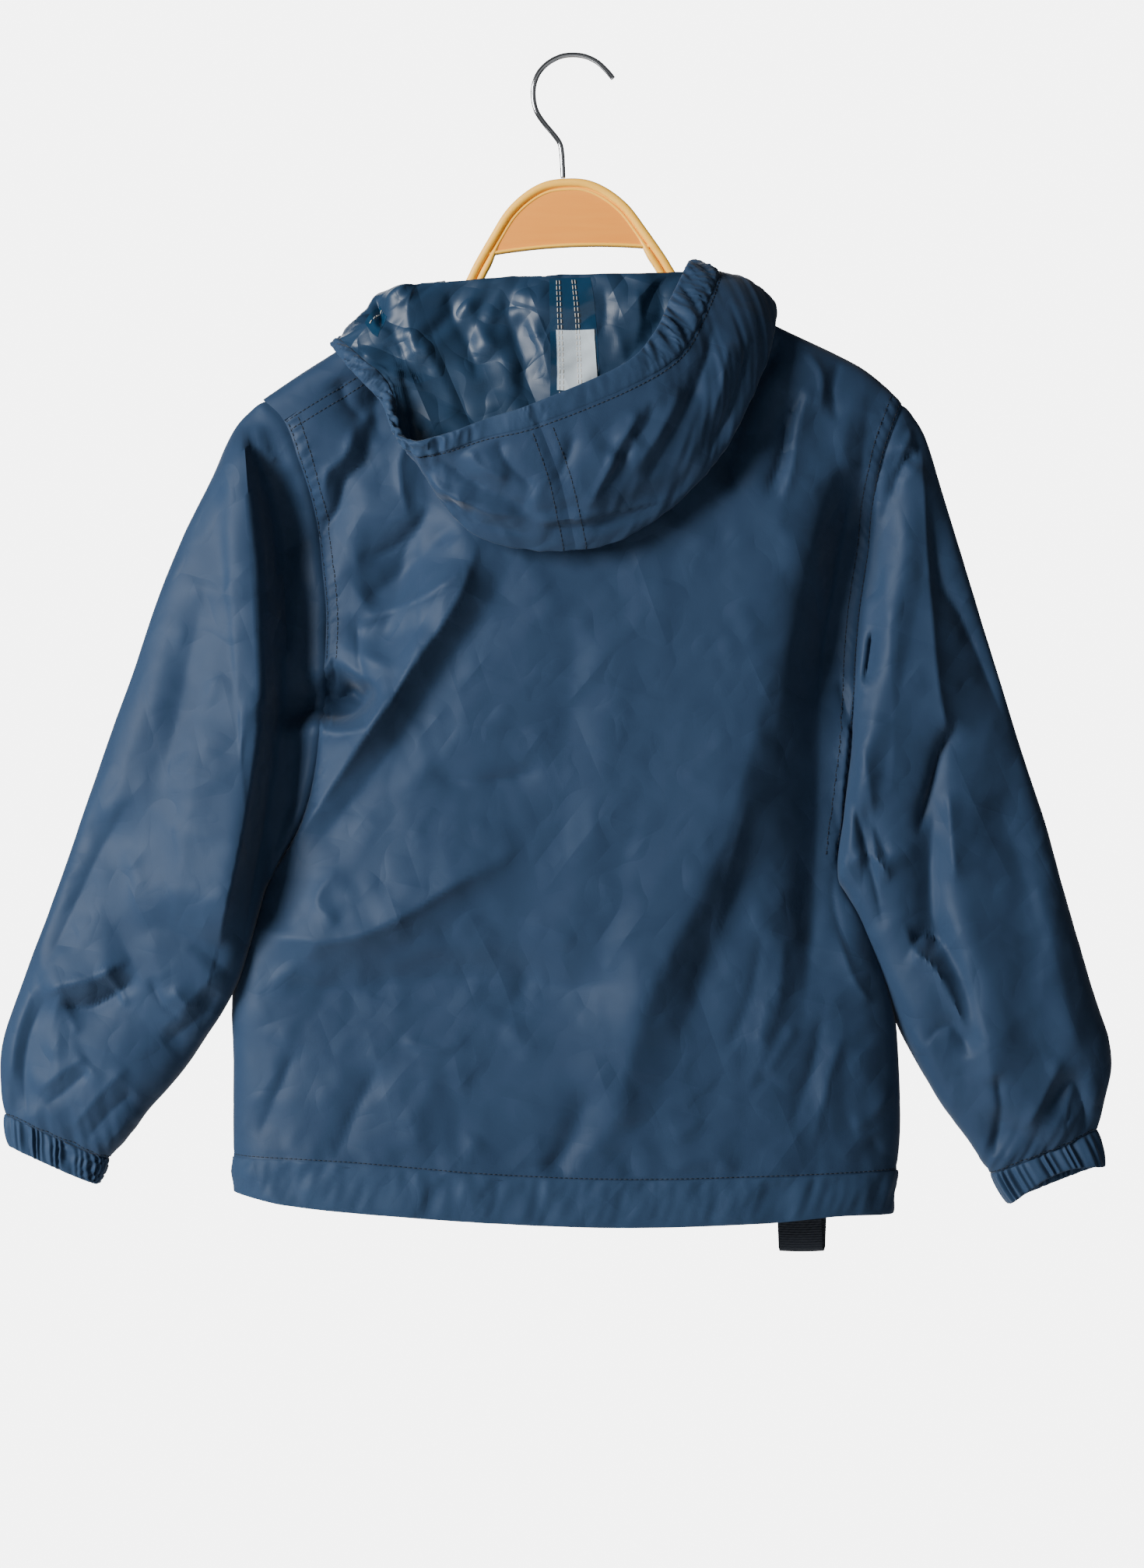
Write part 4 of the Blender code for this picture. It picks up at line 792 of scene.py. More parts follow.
def lower_rows(
    columns: np.ndarray, shares: np.ndarray, start: Away, end: Away, face: Face
) -> tuple[np.ndarray, np.ndarray]:
    """The x and below of rows from one line across the body down to another.

    Args:
        columns: each column's share of the way to a side edge.
        shares: each row's share of the way down.
        start: gives the upper line's below at an x.
        end: gives the lower line's.
        face: the side of the jacket.

    Returns:
        The x and the below of each point.
    """
    centre = np.array(CENTRE_X)
    level = start(centre) + (end(centre) - start(centre)) * shares[:, None]
    x = across_body(columns[None, :], read(TORSO, level, "left"), read(TORSO, level, "right"), face)
    return x, start(x) + (end(x) - start(x)) * shares[:, None]


def left_corner_edge(share: float) -> np.ndarray:
    """The body's left edge at a share of the way from the front's top corner down to the back's."""
    level = FRONT_CORNERS[0] + (BACK_CORNERS[0] - FRONT_CORNERS[0]) * share
    return read(TORSO, np.array(level), "left")


def underarm(x: np.ndarray) -> np.ndarray:
    """The level line across at the underarm."""
    return np.full(np.shape(x), UNDERARM)


def casing_seam(x: np.ndarray) -> np.ndarray:
    """The stitched line over the hem casing."""
    return read(CASING_SEAM, x)


def back_hem(x: np.ndarray) -> np.ndarray:
    """The back's lower edge."""
    return read(BACK_HEM, x)


def front_hem(x: np.ndarray) -> np.ndarray:
    """The fronts' lower edge."""
    return read(FRONT_HEM, x)


def normals_of(points: np.ndarray) -> np.ndarray:
    """Unit normals of a grid of points, from its rows and columns."""
    down = np.gradient(points, axis=0)
    run = np.gradient(points, axis=1)
    normal = np.cross(down, run)
    return normal / np.maximum(np.linalg.norm(normal, axis=-1, keepdims=True), 1e-9)


def lengths_of(points: np.ndarray, axis: int) -> np.ndarray:
    """Length along a grid's rows or columns up to each point, in millimetres."""
    steps = np.linalg.norm(np.diff(points, axis=axis), axis=-1)
    total = np.cumsum(steps, axis=axis)
    lead = np.zeros_like(np.take(total, [0], axis=axis))
    return np.concatenate([lead, total], axis=axis)


def facing_back(points: np.ndarray) -> np.ndarray:
    """A direction that points to the jacket's back, wherever it is asked."""
    return points * 0 + np.array([0.0, -1.0, 0.0])


def facing_front(points: np.ndarray) -> np.ndarray:
    """A direction that points to the jacket's front, wherever it is asked."""
    return points * 0 + np.array([0.0, 1.0, 0.0])


@dataclass
class Cloth:
    """A grid of cloth points, with the side that faces out.

    Attributes:
        points: rows by columns by 3, in millimetres.
        out: unit normals that point to the outer side.
        away: gives, at each point it is asked about, a direction to the outer side.
    """

    points: np.ndarray
    out: np.ndarray = field(init=False)
    away: Away = facing_back

    def __post_init__(self) -> None:
        """Works out the outward normals."""
        normal = normals_of(self.points)
        lean = np.nansum(normal * self.away(self.points))
        self.out = normal * (1 if lean >= 0 else -1)

    def lifted(self, height: np.ndarray) -> "Cloth":
        """The same cloth moved outwards by a height in millimetres."""
        return Cloth(self.points + self.out * np.asarray(height)[..., None], self.away)

    def trace(self, rows: np.ndarray, columns: np.ndarray) -> tuple[np.ndarray, np.ndarray]:
        """Reads the cloth between its points.

        Args:
            rows: the places' fractional rows.
            columns: their fractional columns.

        Returns:
            The points and the outward normals there.
        """
        rows, columns = np.broadcast_arrays(np.asarray(rows, float), np.asarray(columns, float))
        i = np.clip(rows.astype(int), 0, self.points.shape[0] - 2)
        j = np.clip(columns.astype(int), 0, self.points.shape[1] - 2)
        a, b = (rows - i)[..., None], (columns - j)[..., None]

        def mix(grid: np.ndarray) -> np.ndarray:
            """The grid's values between the four nearest ones."""
            upper = grid[i, j] * (1 - b) + grid[i, j + 1] * b
            lower = grid[i + 1, j] * (1 - b) + grid[i + 1, j + 1] * b
            return upper * (1 - a) + lower * a

        return mix(self.points), mix(self.out)

    def inset_columns(self, distance: float, from_start: bool) -> np.ndarray:
        """For each row, the fractional column at a distance in from the row's start or end."""
        return inset_places(lengths_of(self.points, 1), distance, from_start)

    def inset_rows(self, distance: float, from_start: bool) -> np.ndarray:
        """For each column, the fractional row at a distance in from the column's start or end."""
        return inset_places(lengths_of(self.points, 0).T, distance, from_start)


def inset_places(lines: np.ndarray, distance: float, from_start: bool) -> np.ndarray:
    """Finds the place at a distance in from one end of each line.

    Args:
        lines: for each line, the length run up to each of its points.
        distance: how far in, in millimetres.
        from_start: whether it is measured from the line's start.

    Returns:
        Each line's place, as an index and a share past it.
    """
    places = np.arange(lines.shape[1], dtype=float)
    found = []
    for line in lines:
        aim = distance if from_start else line[-1] - distance
        found.append(np.interp(aim, line, places))
    return np.array(found)


def adopt(
    obj: bpy.types.Object, body: str = BODY, replaces: Sequence[str] = ()
) -> bpy.types.Object:
    """Makes an object ride on a body and reports it.

    Args:
        obj: the object.
        body: the body that it moves with.
        replaces: the solids that it stands for.

    Returns:
        The same object.
    """
    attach(obj, body)
    if replaces:
        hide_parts(*replaces)
    LOG.info("%s: %d faces on %s", obj.name, len(obj.data.polygons), body)
    return obj


def object_of(mesh: bpy.types.Mesh, name: str, materials: Materials) -> bpy.types.Object:
    """An object for a mesh, linked to the scene and dressed."""
    obj = bpy.data.objects.new(name, mesh)
    bpy.context.scene.collection.objects.link(obj)
    for material in materials:
        mesh.materials.append(material)
    return obj


def grid_mesh(name: str, cloth: Cloth, ring: bool) -> bpy.types.Mesh:
    """A mesh through a grid of cloth points, its faces turned outwards.

    Args:
        name: the mesh's name.
        cloth: the grid; a point that is not a number leaves a hole.
        ring: whether the rows close on themselves.

    Returns:
        The mesh, in metres, with its flat lengths in metres as UV map "cloth".
    """
    rows, columns = cloth.points.shape[:2]
    bm = bmesh.new()
    bmesh.ops.create_grid(bm, x_segments=columns - 1, y_segments=rows - 1, size=1)
    mesh = bpy.data.meshes.new(name)
    bm.to_mesh(mesh)
    bm.free()
    flat = np.stack([lengths_of(cloth.points, 1), lengths_of(cloth.points, 0)], axis=-1).reshape(-1, 2)
    corners = np.zeros(len(mesh.loops), np.int32)
    mesh.loops.foreach_get("vertex_index", corners)
    layer = mesh.uv_layers.new(name="cloth")
    layer.data.foreach_set("uv", (np.nan_to_num(flat)[corners] * MM).astype(np.float32).ravel())
    points = cloth.points.reshape(-1, 3)
    mesh.vertices.foreach_set("co", (np.nan_to_num(points) * MM).astype(np.float32).ravel())
    bare = np.isnan(points[:, 0])
    if ring or bare.any():
        bm = bmesh.new()
        bm.from_mesh(mesh)
        bm.verts.ensure_lookup_table()
        if bare.any():
            holes = [bm.verts[i] for i in np.flatnonzero(bare)]
            bmesh.ops.delete(bm, geom=holes, context="VERTS")
        if ring:
            bmesh.ops.remove_doubles(bm, verts=bm.verts, dist=0.02 * MM)
        bm.to_mesh(mesh)
        bm.free()
    turn_outwards(mesh, cloth)
    mesh.shade_smooth()
    return mesh


def turn_outwards(mesh: bpy.types.Mesh, cloth: Cloth) -> None:
    """Flips a mesh's faces if most of them look the wrong way.

    Args:
        mesh: the mesh, in metres.
        cloth: the cloth that it was made from, which knows the outer side.
    """
    count = len(mesh.polygons)
    normals, centres = np.zeros(count * 3, np.float32), np.zeros(count * 3, np.float32)
    mesh.polygons.foreach_get("normal", normals)
    mesh.polygons.foreach_get("center", centres)
    normals, centres = normals.reshape(-1, 3)[::5], centres.reshape(-1, 3)[::5] / MM
    if (normals * cloth.away(centres)).sum() < 0:
        mesh.flip_normals()


def sheet_object(
    name: str,
    cloth: Cloth,
    materials: Materials,
    wall: float = CLOTH_WALL,
    ring: bool = False,
) -> bpy.types.Object:
    """A thin shell of cloth whose outer side is the grid.

    Args:
        name: the object's name.
        cloth: the grid.
        materials: the outer finish, then the inner side's if it has one of its own.
        wall: how thick the cloth is, in millimetres.
        ring: whether its rows close on themselves.

    Returns:
        The object.
    """
    mesh = grid_mesh(name, cloth, ring)
    obj = object_of(mesh, name, materials)
    solidify = obj.modifiers.new("wall", "SOLIDIFY")
    solidify.thickness = wall * MM
    solidify.offset = -1.0
    solidify.material_offset = 1 if len(materials) > 1 else 0
    graph = bpy.context.evaluated_depsgraph_get()
    made = bpy.data.meshes.new_from_object(obj.evaluated_get(graph))
    obj.modifiers.clear()
    obj.data = made
    made.name = name
    bpy.data.meshes.remove(mesh)
    made.set_sharp_from_angle(angle=SHARP_CLOTH)
    return obj


def casing_object(
    name: str,
    cloth: Cloth,
    materials: Materials,
    thick: float | np.ndarray,
    ruffle: Ruffle | None = None,
    turns: int = 22,
) -> bpy.types.Object:
    """A casing: cloth folded round elastic or a cord, as a flat closed tube.

    Args:
        name: the object's name.
        cloth: its middle surface, from its stitched edge (row 0) to its free edge.
        materials: the outer finish.
        thick: how thick it is in its middle, in millimetres, whole or for each column.
        ruffle: from (length along, share across), how far it is pushed out, in millimetres.
        turns: points round its section.

    Returns:
        The object.
    """
    angle = np.linspace(0, 2 * math.pi, turns + 1)
    rows = cloth.points.shape[0] - 1
    columns = np.arange(cloth.points.shape[1], dtype=float)
    run = lengths_of(cloth.points, 1)
    ring_rows = []
    for turn in angle:
        share = 0.5 - 0.5 * math.cos(turn)
        point, out = cloth.trace(np.full(columns.shape, share * rows), columns)
        bulge = math.copysign(abs(math.sin(turn)) ** 0.7, math.sin(turn))
        height = np.ones(columns.shape) * 0.5 * thick * bulge
        if ruffle is not None:
            length = run[min(int(round(share * rows)), rows)]
            height = height + ruffle(length, np.full(columns.shape, share))
        ring_rows.append(point + out * height[:, None])
    tube = np.stack(ring_rows)
    middle = cloth.points[rows // 2]

    def away(points: np.ndarray) -> np.ndarray:
        """Away from the casing's middle line."""
        if len(points.shape) == 3:
            return points - middle[None, :, :]
        near = middle[:: max(len(middle) // 60, 1)]
        gaps = ((points[:, None, :] - near[None, :, :]) ** 2).sum(-1)
        return points - near[gaps.argmin(1)]

    mesh = grid_mesh(name, Cloth(tube, away), True)
    close_tube(mesh, weld=0.03, sharp=75)
    return object_of(mesh, name, materials)


def close_tube(mesh: bpy.types.Mesh, weld: float, sharp: float) -> None:
    """Joins a tube's seam and closes its ends.

    Args:
        mesh: the tube, open at both ends.
        weld: how close points are that become one, in millimetres.
        sharp: the angle in degrees from which an edge is sharp.
    """
    bm = bmesh.new()
    bm.from_mesh(mesh)
    bmesh.ops.remove_doubles(bm, verts=bm.verts, dist=weld * MM)
    bmesh.ops.holes_fill(bm, edges=[edge for edge in bm.edges if edge.is_boundary])
    bmesh.ops.recalc_face_normals(bm, faces=bm.faces)
    bm.to_mesh(mesh)
    bm.free()
    mesh.shade_smooth()
    mesh.set_sharp_from_angle(angle=math.radians(sharp))


def run_along(line: np.ndarray) -> np.ndarray:
    """The length along a line of points up to each of them."""
    return np.concatenate([[0], np.cumsum(np.linalg.norm(np.diff(line, axis=0), axis=1))])


def point_at(at: float, run: np.ndarray, line: np.ndarray) -> np.ndarray:
    """The values at a length along a line of points."""
    return np.array([np.interp(at, run, line[:, axis]) for axis in range(3)])


@dataclass(frozen=True)
class Stitch:
    """A kind of stitch row, in millimetres.

    Attributes:
        length: how long each stitch is.
        gap: the gap between two.
        width: the thread's width.
        lift: how far its middle stands off the cloth.
    """

    length: float = 2.3
    gap: float = 0.9
    width: float = 0.42
    lift: float = 0.12

    def row(self, bm: bmesh.types.BMesh, line: np.ndarray, out: np.ndarray) -> None:
        """Adds a slim bar for each stitch along a line.

        Args:
            bm: the mesh to add to.
            line: points on the cloth.
            out: the cloth's outward normals there.
        """
        run = run_along(line)
        count = int(run[-1] / (self.length + self.gap))
        for k in range(count):
            start = k * (self.length + self.gap)
            ends = [point_at(at, run, line) for at in (start, start + self.length)]
            normal = Vector(point_at(start, run, out)).normalized()
            run_way = Vector(ends[1] - ends[0]).normalized()
            side = normal.cross(run_way).normalized()
            middle = (Vector(ends[0]) + Vector(ends[1])) / 2 + normal * self.lift
            frame = Matrix((run_way, side, run_way.cross(side))).transposed().to_4x4()
            size = Matrix.Diagonal((self.length, self.width, self.width * 0.7, 1))
            place = Matrix.Translation(middle * MM) @ frame @ Matrix.Scale(MM, 4) @ size
            bmesh.ops.create_cube(bm, size=1, matrix=place)


def stitched(
    name: str, rows: Sequence[tuple[np.ndarray, np.ndarray]], material: bpy.types.Material, stitch: Stitch
) -> bpy.types.Object:
    """One object of all the stitches along some lines.

    Args:
        name: the object's name.
        rows: each line's points and outward normals.
        material: the thread.
        stitch: the kind of stitch.

    Returns:
        The object.
    """
    bm = bmesh.new()
    for line, out in rows:
        stitch.row(bm, line, out)
    mesh = bpy.data.meshes.new(name)
    bm.to_mesh(mesh)
    bm.free()
    mesh.shade_smooth()
    return object_of(mesh, name, [material])


def linear(code: str) -> Colour:
    """The linear colour of an sRGB hex code such as "#1A2B3C"."""
    parts = [int(code[i : i + 2], 16) / 255 for i in (1, 3, 5)]
    made = [part / 12.92 if part <= 0.04045 else ((part + 0.055) / 1.055) ** 2.4 for part in parts]
    return (made[0], made[1], made[2], 1.0)


def add(
    tree: bpy.types.NodeTree, kind: str, settings: Settings | None = None, links: Links | None = None
) -> bpy.types.Node:
    """Adds a node.

    Args:
        tree: the node tree.
        kind: the node's type.
        settings: its inputs' values and its properties.
        links: for each input, the socket that feeds it.

    Returns:
        The node.
    """
    node = tree.nodes.new(kind)
    for key, value in (settings or {}).items():
        if isinstance(key, int) or key in node.inputs:
            node.inputs[key].default_value = value
        else:
            setattr(node, key, value)
    for key, socket in (links or {}).items():
        tree.links.new(socket, node.inputs[key])
    return node


def band_scale(period: float) -> float:
    """The Wave texture's scale that puts its bands a period in millimetres apart."""
    return 2 * math.pi / (20 * period * MM)


class Surface:
    """A material in the making: its node tree, and the steps that its finishes share."""

    def __init__(self, name: str) -> None:
        """Makes a material with only its output node."""
        self.material = bpy.data.materials.new(name)
        self.material.use_nodes = True
        self.tree = self.material.node_tree
        self.tree.nodes.clear()
        self.output = self.tree.nodes.new("ShaderNodeOutputMaterial")

    def add(self, kind: str, settings: Settings | None = None, links: Links | None = None) -> bpy.types.Node:
        """Adds a node to the material."""
        return add(self.tree, kind, settings, links)

    def solid_place(self) -> bpy.types.NodeSocket:
        """The point on the object itself, so that a pattern keeps its size in metres."""
        return self.add("ShaderNodeTexCoord").outputs["Object"]

    def cloth_place(self) -> bpy.types.NodeSocket:
        """The point on the cloth laid flat, in metres."""
        return self.add("ShaderNodeUVMap", {"uv_map": "cloth"}).outputs["UV"]

    def noise(
        self, scale: float, detail: float, place: bpy.types.NodeSocket, **more: float
    ) -> bpy.types.NodeSocket:
        """Uneven spots; scale is how many there are to a metre."""
        settings = {"Scale": scale, "Detail": detail, **more}
        return self.add("ShaderNodeTexNoise", settings, {"Vector": place}).outputs["Fac"]

    def bands(
        self, way: str, period: float, place: bpy.types.NodeSocket, more: Settings | None = None
    ) -> bpy.types.NodeSocket:
        """Parallel bands that run across a way, a period in millimetres apart."""
        settings = {"wave_type": "BANDS", "bands_direction": way, "Scale": band_scale(period), **(more or {})}
        return self.add("ShaderNodeTexWave", settings, {"Vector": place}).outputs["Fac"]

    def joined(
        self, operation: str, first: bpy.types.NodeSocket, second: bpy.types.NodeSocket
    ) -> bpy.types.NodeSocket:
        """Two patterns put together by an operation such as MULTIPLY."""
        return self.add("ShaderNodeMath", {"operation": operation}, {0: first, 1: second}).outputs["Value"]

    def tint(self, deep: str, pale: str, pattern: bpy.types.NodeSocket) -> bpy.types.NodeSocket:
        """A colour that goes from deep to pale as the pattern rises."""
        settings = {"data_type": "RGBA", 6: linear(deep), 7: linear(pale)}
        return self.add("ShaderNodeMix", settings, {0: pattern}).outputs[2]

    def levels(self, low: float, high: float, pattern: bpy.types.NodeSocket) -> bpy.types.NodeSocket:
        """The pattern spread between two levels."""
        settings = {"To Min": low, "To Max": high}
        return self.add("ShaderNodeMapRange", settings, {"Value": pattern}).outputs["Result"]

    def bump(
        self, strength: float, depth: float, pattern: bpy.types.NodeSocket,
        under: bpy.types.NodeSocket | None = None,
    ) -> bpy.types.NodeSocket:
        """A relief from the pattern, its depth in millimetres, over another relief if there is one."""
        links = {"Height": pattern}
        if under is not None:
            links["Normal"] = under
        settings = {"Strength": strength, "Distance": depth * MM}
        return self.add("ShaderNodeBump", settings, links).outputs["Normal"]

    def close(self, settings: Settings, links: Links) -> bpy.types.Material:
        """Adds the shader, links it to the output and gives the finished material."""
        shader = self.add("ShaderNodeBsdfPrincipled", settings, links)
        self.tree.links.new(shader.outputs["BSDF"], self.output.inputs["Surface"])
        return self.material


@dataclass(frozen=True)
class CoatedNylon:
    """Plain-woven nylon taffeta with a polyurethane coat: a satin skin with a tight weave and crinkles.

    Attributes:
        name: the material's name.
        deep: its darker colour.
        pale: its paler colour.
        roughness: from where it is glossiest to where it is dullest.
        coat: how much of a clear coat it has.
        sheen: how much its threads catch light at a slant.
        specular: how strongly it mirrors the light.
        weave: from one thread to the next, in millimetres.
        weave_height: how high the threads stand.
        crinkle: how high a crease stands, as a share of the gap between two.
        creases: each set of creases' turn in radians and gap in millimetres.
    """

    name: str
    deep: str
    pale: str
    roughness: tuple[float, float]
    coat: float
    sheen: float
    specular: float
    weave: float = 1.1
    weave_height: float = 0.012
    crinkle: float = 0.036
    creases: tuple[tuple[float, float], ...] = ((0.35, 46.0), (1.3, 37.0), (2.45, 30.0))

    def make(self) -> bpy.types.Material:
        """The material. The real weave is 0.2 mm, so it is drawn coarser to show."""
        surface = Surface(self.name)
        place, cloth = surface.solid_place(), surface.cloth_place()
        dye = surface.noise(14.0, 4.0, place, Roughness=0.6)
        tint = surface.tint(self.deep, self.pale, dye)
        rough = surface.levels(*self.roughness, surface.noise(45.0, 3.0, place))
        warp = surface.bands("X", self.weave, cloth)
        weft = surface.bands("Y", self.weave, cloth)
        normal = surface.bump(1.0, self.weave_height, surface.joined("MULTIPLY", warp, weft))
        bent = {"wave_profile": "TRI", "Distortion": 3.0, "Detail": 1.0, "Detail Scale": 0.6}
        apart = {"From Min": 0.5, "From Max": 0.68, "To Min": 0.0, "To Max": 1.0}
        for turn, gap in self.creases:
            lay = surface.add("ShaderNodeMapping", {"Rotation": (0.3 * turn, turn, 0.2)}, {"Vector": place})
            turned = lay.outputs["Vector"]
            wave = surface.bands("X", gap, turned, bent)
            spread = surface.noise(900 / gap, 1.0, turned)
            where = surface.add("ShaderNodeMapRange", apart, {"Value": spread}).outputs["Result"]
            crease = surface.joined("MULTIPLY", wave, where)
            normal = surface.bump(1.0, self.crinkle * gap, crease, normal)
        settings = {
            "IOR": 1.5, "Specular IOR Level": self.specular, "Coat Weight": self.coat, "Coat Roughness": 0.34,
            "Sheen Weight": self.sheen, "Sheen Roughness": 0.45,
        }
        return surface.close(settings, {"Base Color": tint, "Roughness": rough, "Normal": normal})


@dataclass(frozen=True)
class Thread:
    """Twisted polyester sewing thread: matt, with fine plies across it."""

    name: str
    tone: str

    def make(self) -> bpy.types.Material:
        """The material, its plies drawn as spots about 1 mm across."""
        surface = Surface(self.name)
        plies = surface.noise(900.0, 1.0, surface.solid_place())
        bump = surface.bump(0.6, 0.05, plies)
        rough = surface.levels(0.55, 0.8, plies)
        return surface.close({"Base Color": linear(self.tone)}, {"Roughness": rough, "Normal": bump})


@dataclass(frozen=True)
class MattPaint(Thread):
    """A matt pale ground with a slight tooth, for the floor."""


@dataclass(frozen=True)
class Webbing:
    """Woven tape: ribs across it, a twill along it, and a fuzzy matt face."""

    name: str
    deep: str
    pale: str
    rib: float
    height: float

    def make(self) -> bpy.types.Material:
        """The material, with ribs at the cloth's own spacing."""
        surface = Surface(self.name)
        cloth = surface.cloth_place()
        ribs = surface.bands("Y", self.rib, cloth)
        twill = surface.bands("DIAGONAL", self.rib * 1.3, cloth)
        weave = surface.joined("ADD", ribs, twill)
        tint = surface.tint(self.deep, self.pale, surface.noise(1500.0, 2.0, cloth))
        bump = surface.bump(0.9, self.height, weave)
        settings = {"Roughness": 0.72, "Sheen Weight": 0.25, "Sheen Roughness": 0.5}
        return surface.close(settings, {"Base Color": tint, "Normal": bump})


@dataclass(frozen=True)
class WoodLook:
    """Moulded plastic in a beech tone: a satin face with faint grain along it."""

    name: str
    deep: str
    pale: str
    roughness: float
    grain: tuple[float, float, float] = (18.0, 60.0, 240.0)

    def make(self) -> bpy.types.Material:
        """The material. Its grain is drawn about 4 mm across and 50 mm long."""
        surface = Surface(self.name)
        lay = surface.add("ShaderNodeMapping", {"Scale": self.grain}, {"Vector": surface.solid_place()})
        grain = surface.noise(1.0, 5.0, lay.outputs["Vector"], Distortion=0.6)
        tint = surface.tint(self.deep, self.pale, grain)
        bump = surface.bump(0.5, 0.04, grain)
        rough = surface.levels(self.roughness - 0.06, self.roughness + 0.08, grain)
        return surface.close({"IOR": 1.49}, {"Base Color": tint, "Roughness": rough, "Normal": bump})


@dataclass(frozen=True)
class Metal:
    """Plated or painted metal: how smooth it is, and its fine scratches."""

    name: str
    tone: str
    roughness: tuple[float, float]
    metallic: float

    def make(self) -> bpy.types.Material:
        """The material, with wear that a noise 3 mm across varies."""
        surface = Surface(self.name)
        wear = surface.noise(320.0, 4.0, surface.solid_place())
        rough = surface.levels(*self.roughness, wear)
        bump = surface.bump(0.3, 0.01, wear)
        settings = {"Base Color": linear(self.tone), "Metallic": self.metallic}
        return surface.close(settings, {"Roughness": rough, "Normal": bump})


class Wardrobe:
    """All the finishes of the jacket and its hanger, each made once."""

    def __init__(self) -> None:
        """Makes the materials."""
        # A satin navy skin whose broad soft lights follow the folds, over a tight weave
        self.nylon = CoatedNylon(
            "coated_nylon_taffeta", "#20334B", "#2A3E57", (0.46, 0.58), 0.0, 0.12, 0.12
        ).make()
        # The wetter gloss inside the hood, broken into streaks by crinkles
        self.lining = CoatedNylon(
            "nylon_coated_side", "#182D44", "#233B53", (0.34, 0.48), 0.0, 0.0, 0.27, crinkle=0.12
        ).make()
        # The same cloth doubled: a little paler and duller on cuffs, hem and rim
        self.casing = CoatedNylon(
            "coated_nylon_casing", "#22364F", "#2B4059", (0.5, 0.62), 0.0, 0.12, 0.12
        ).make()
        # A smooth film with sharp lights, deeper blue than the cloth under it
        self.tape = CoatedNylon(
            "seam_tape_film", "#082B45", "#0C3550", (0.12, 0.2), 0.5, 0.0, 0.5, 1.1, 0.004, 0.015
        ).make()
        # The one pale, shiny spot inside the hood
        self.patch = CoatedNylon(
            "pale_film_patch", "#B9C6CE", "#CBD5DA", (0.18, 0.28), 0.4, 0.0, 0.5, 1.1, 0.004
        ).make()
        # Matt dark dashes that only just part from the cloth
        self.navy_thread = Thread("navy_polyester_thread", "#0A1420").make()
        # Matt pale dashes that stand out from the lining
        self.white_thread = Thread("white_polyester_thread", "#CFC9BE").make()
        # A nearly black ribbed face that takes no highlight
        self.webbing = Webbing("dark_webbing", "#0B131F", "#141F2E", 1.6, 0.18).make()
        # A fine dull weave beside the zip's teeth
        self.zip_tape = Webbing("woven_zip_tape", "#142338", "#1C2E45", 1.0, 0.06).make()
        # Small bright points along the zip's teeth
        self.coil = Metal("nylon_coil", "#15263C", (0.3, 0.45), 0.0).make()
        # A dark painted casting with soft lights on its edges
        self.zinc = Metal("painted_zinc", "#1A2230", (0.28, 0.42), 0.7).make()
        # The hanger's light, warm rim
        self.pale_wood = WoodLook("beech_look_pale", "#FFB42C", "#FFC74C", 0.38).make()
        # The hanger's duller, browner centre
        self.tan_wood = WoodLook("beech_look_tan", "#E8881B", "#F0992E", 0.42).make()
        # Bright mirror-like wire with thin dark lines along it
        self.chrome = Metal("chromed_wire", "#B8BABD", (0.08, 0.16), 1.0).make()


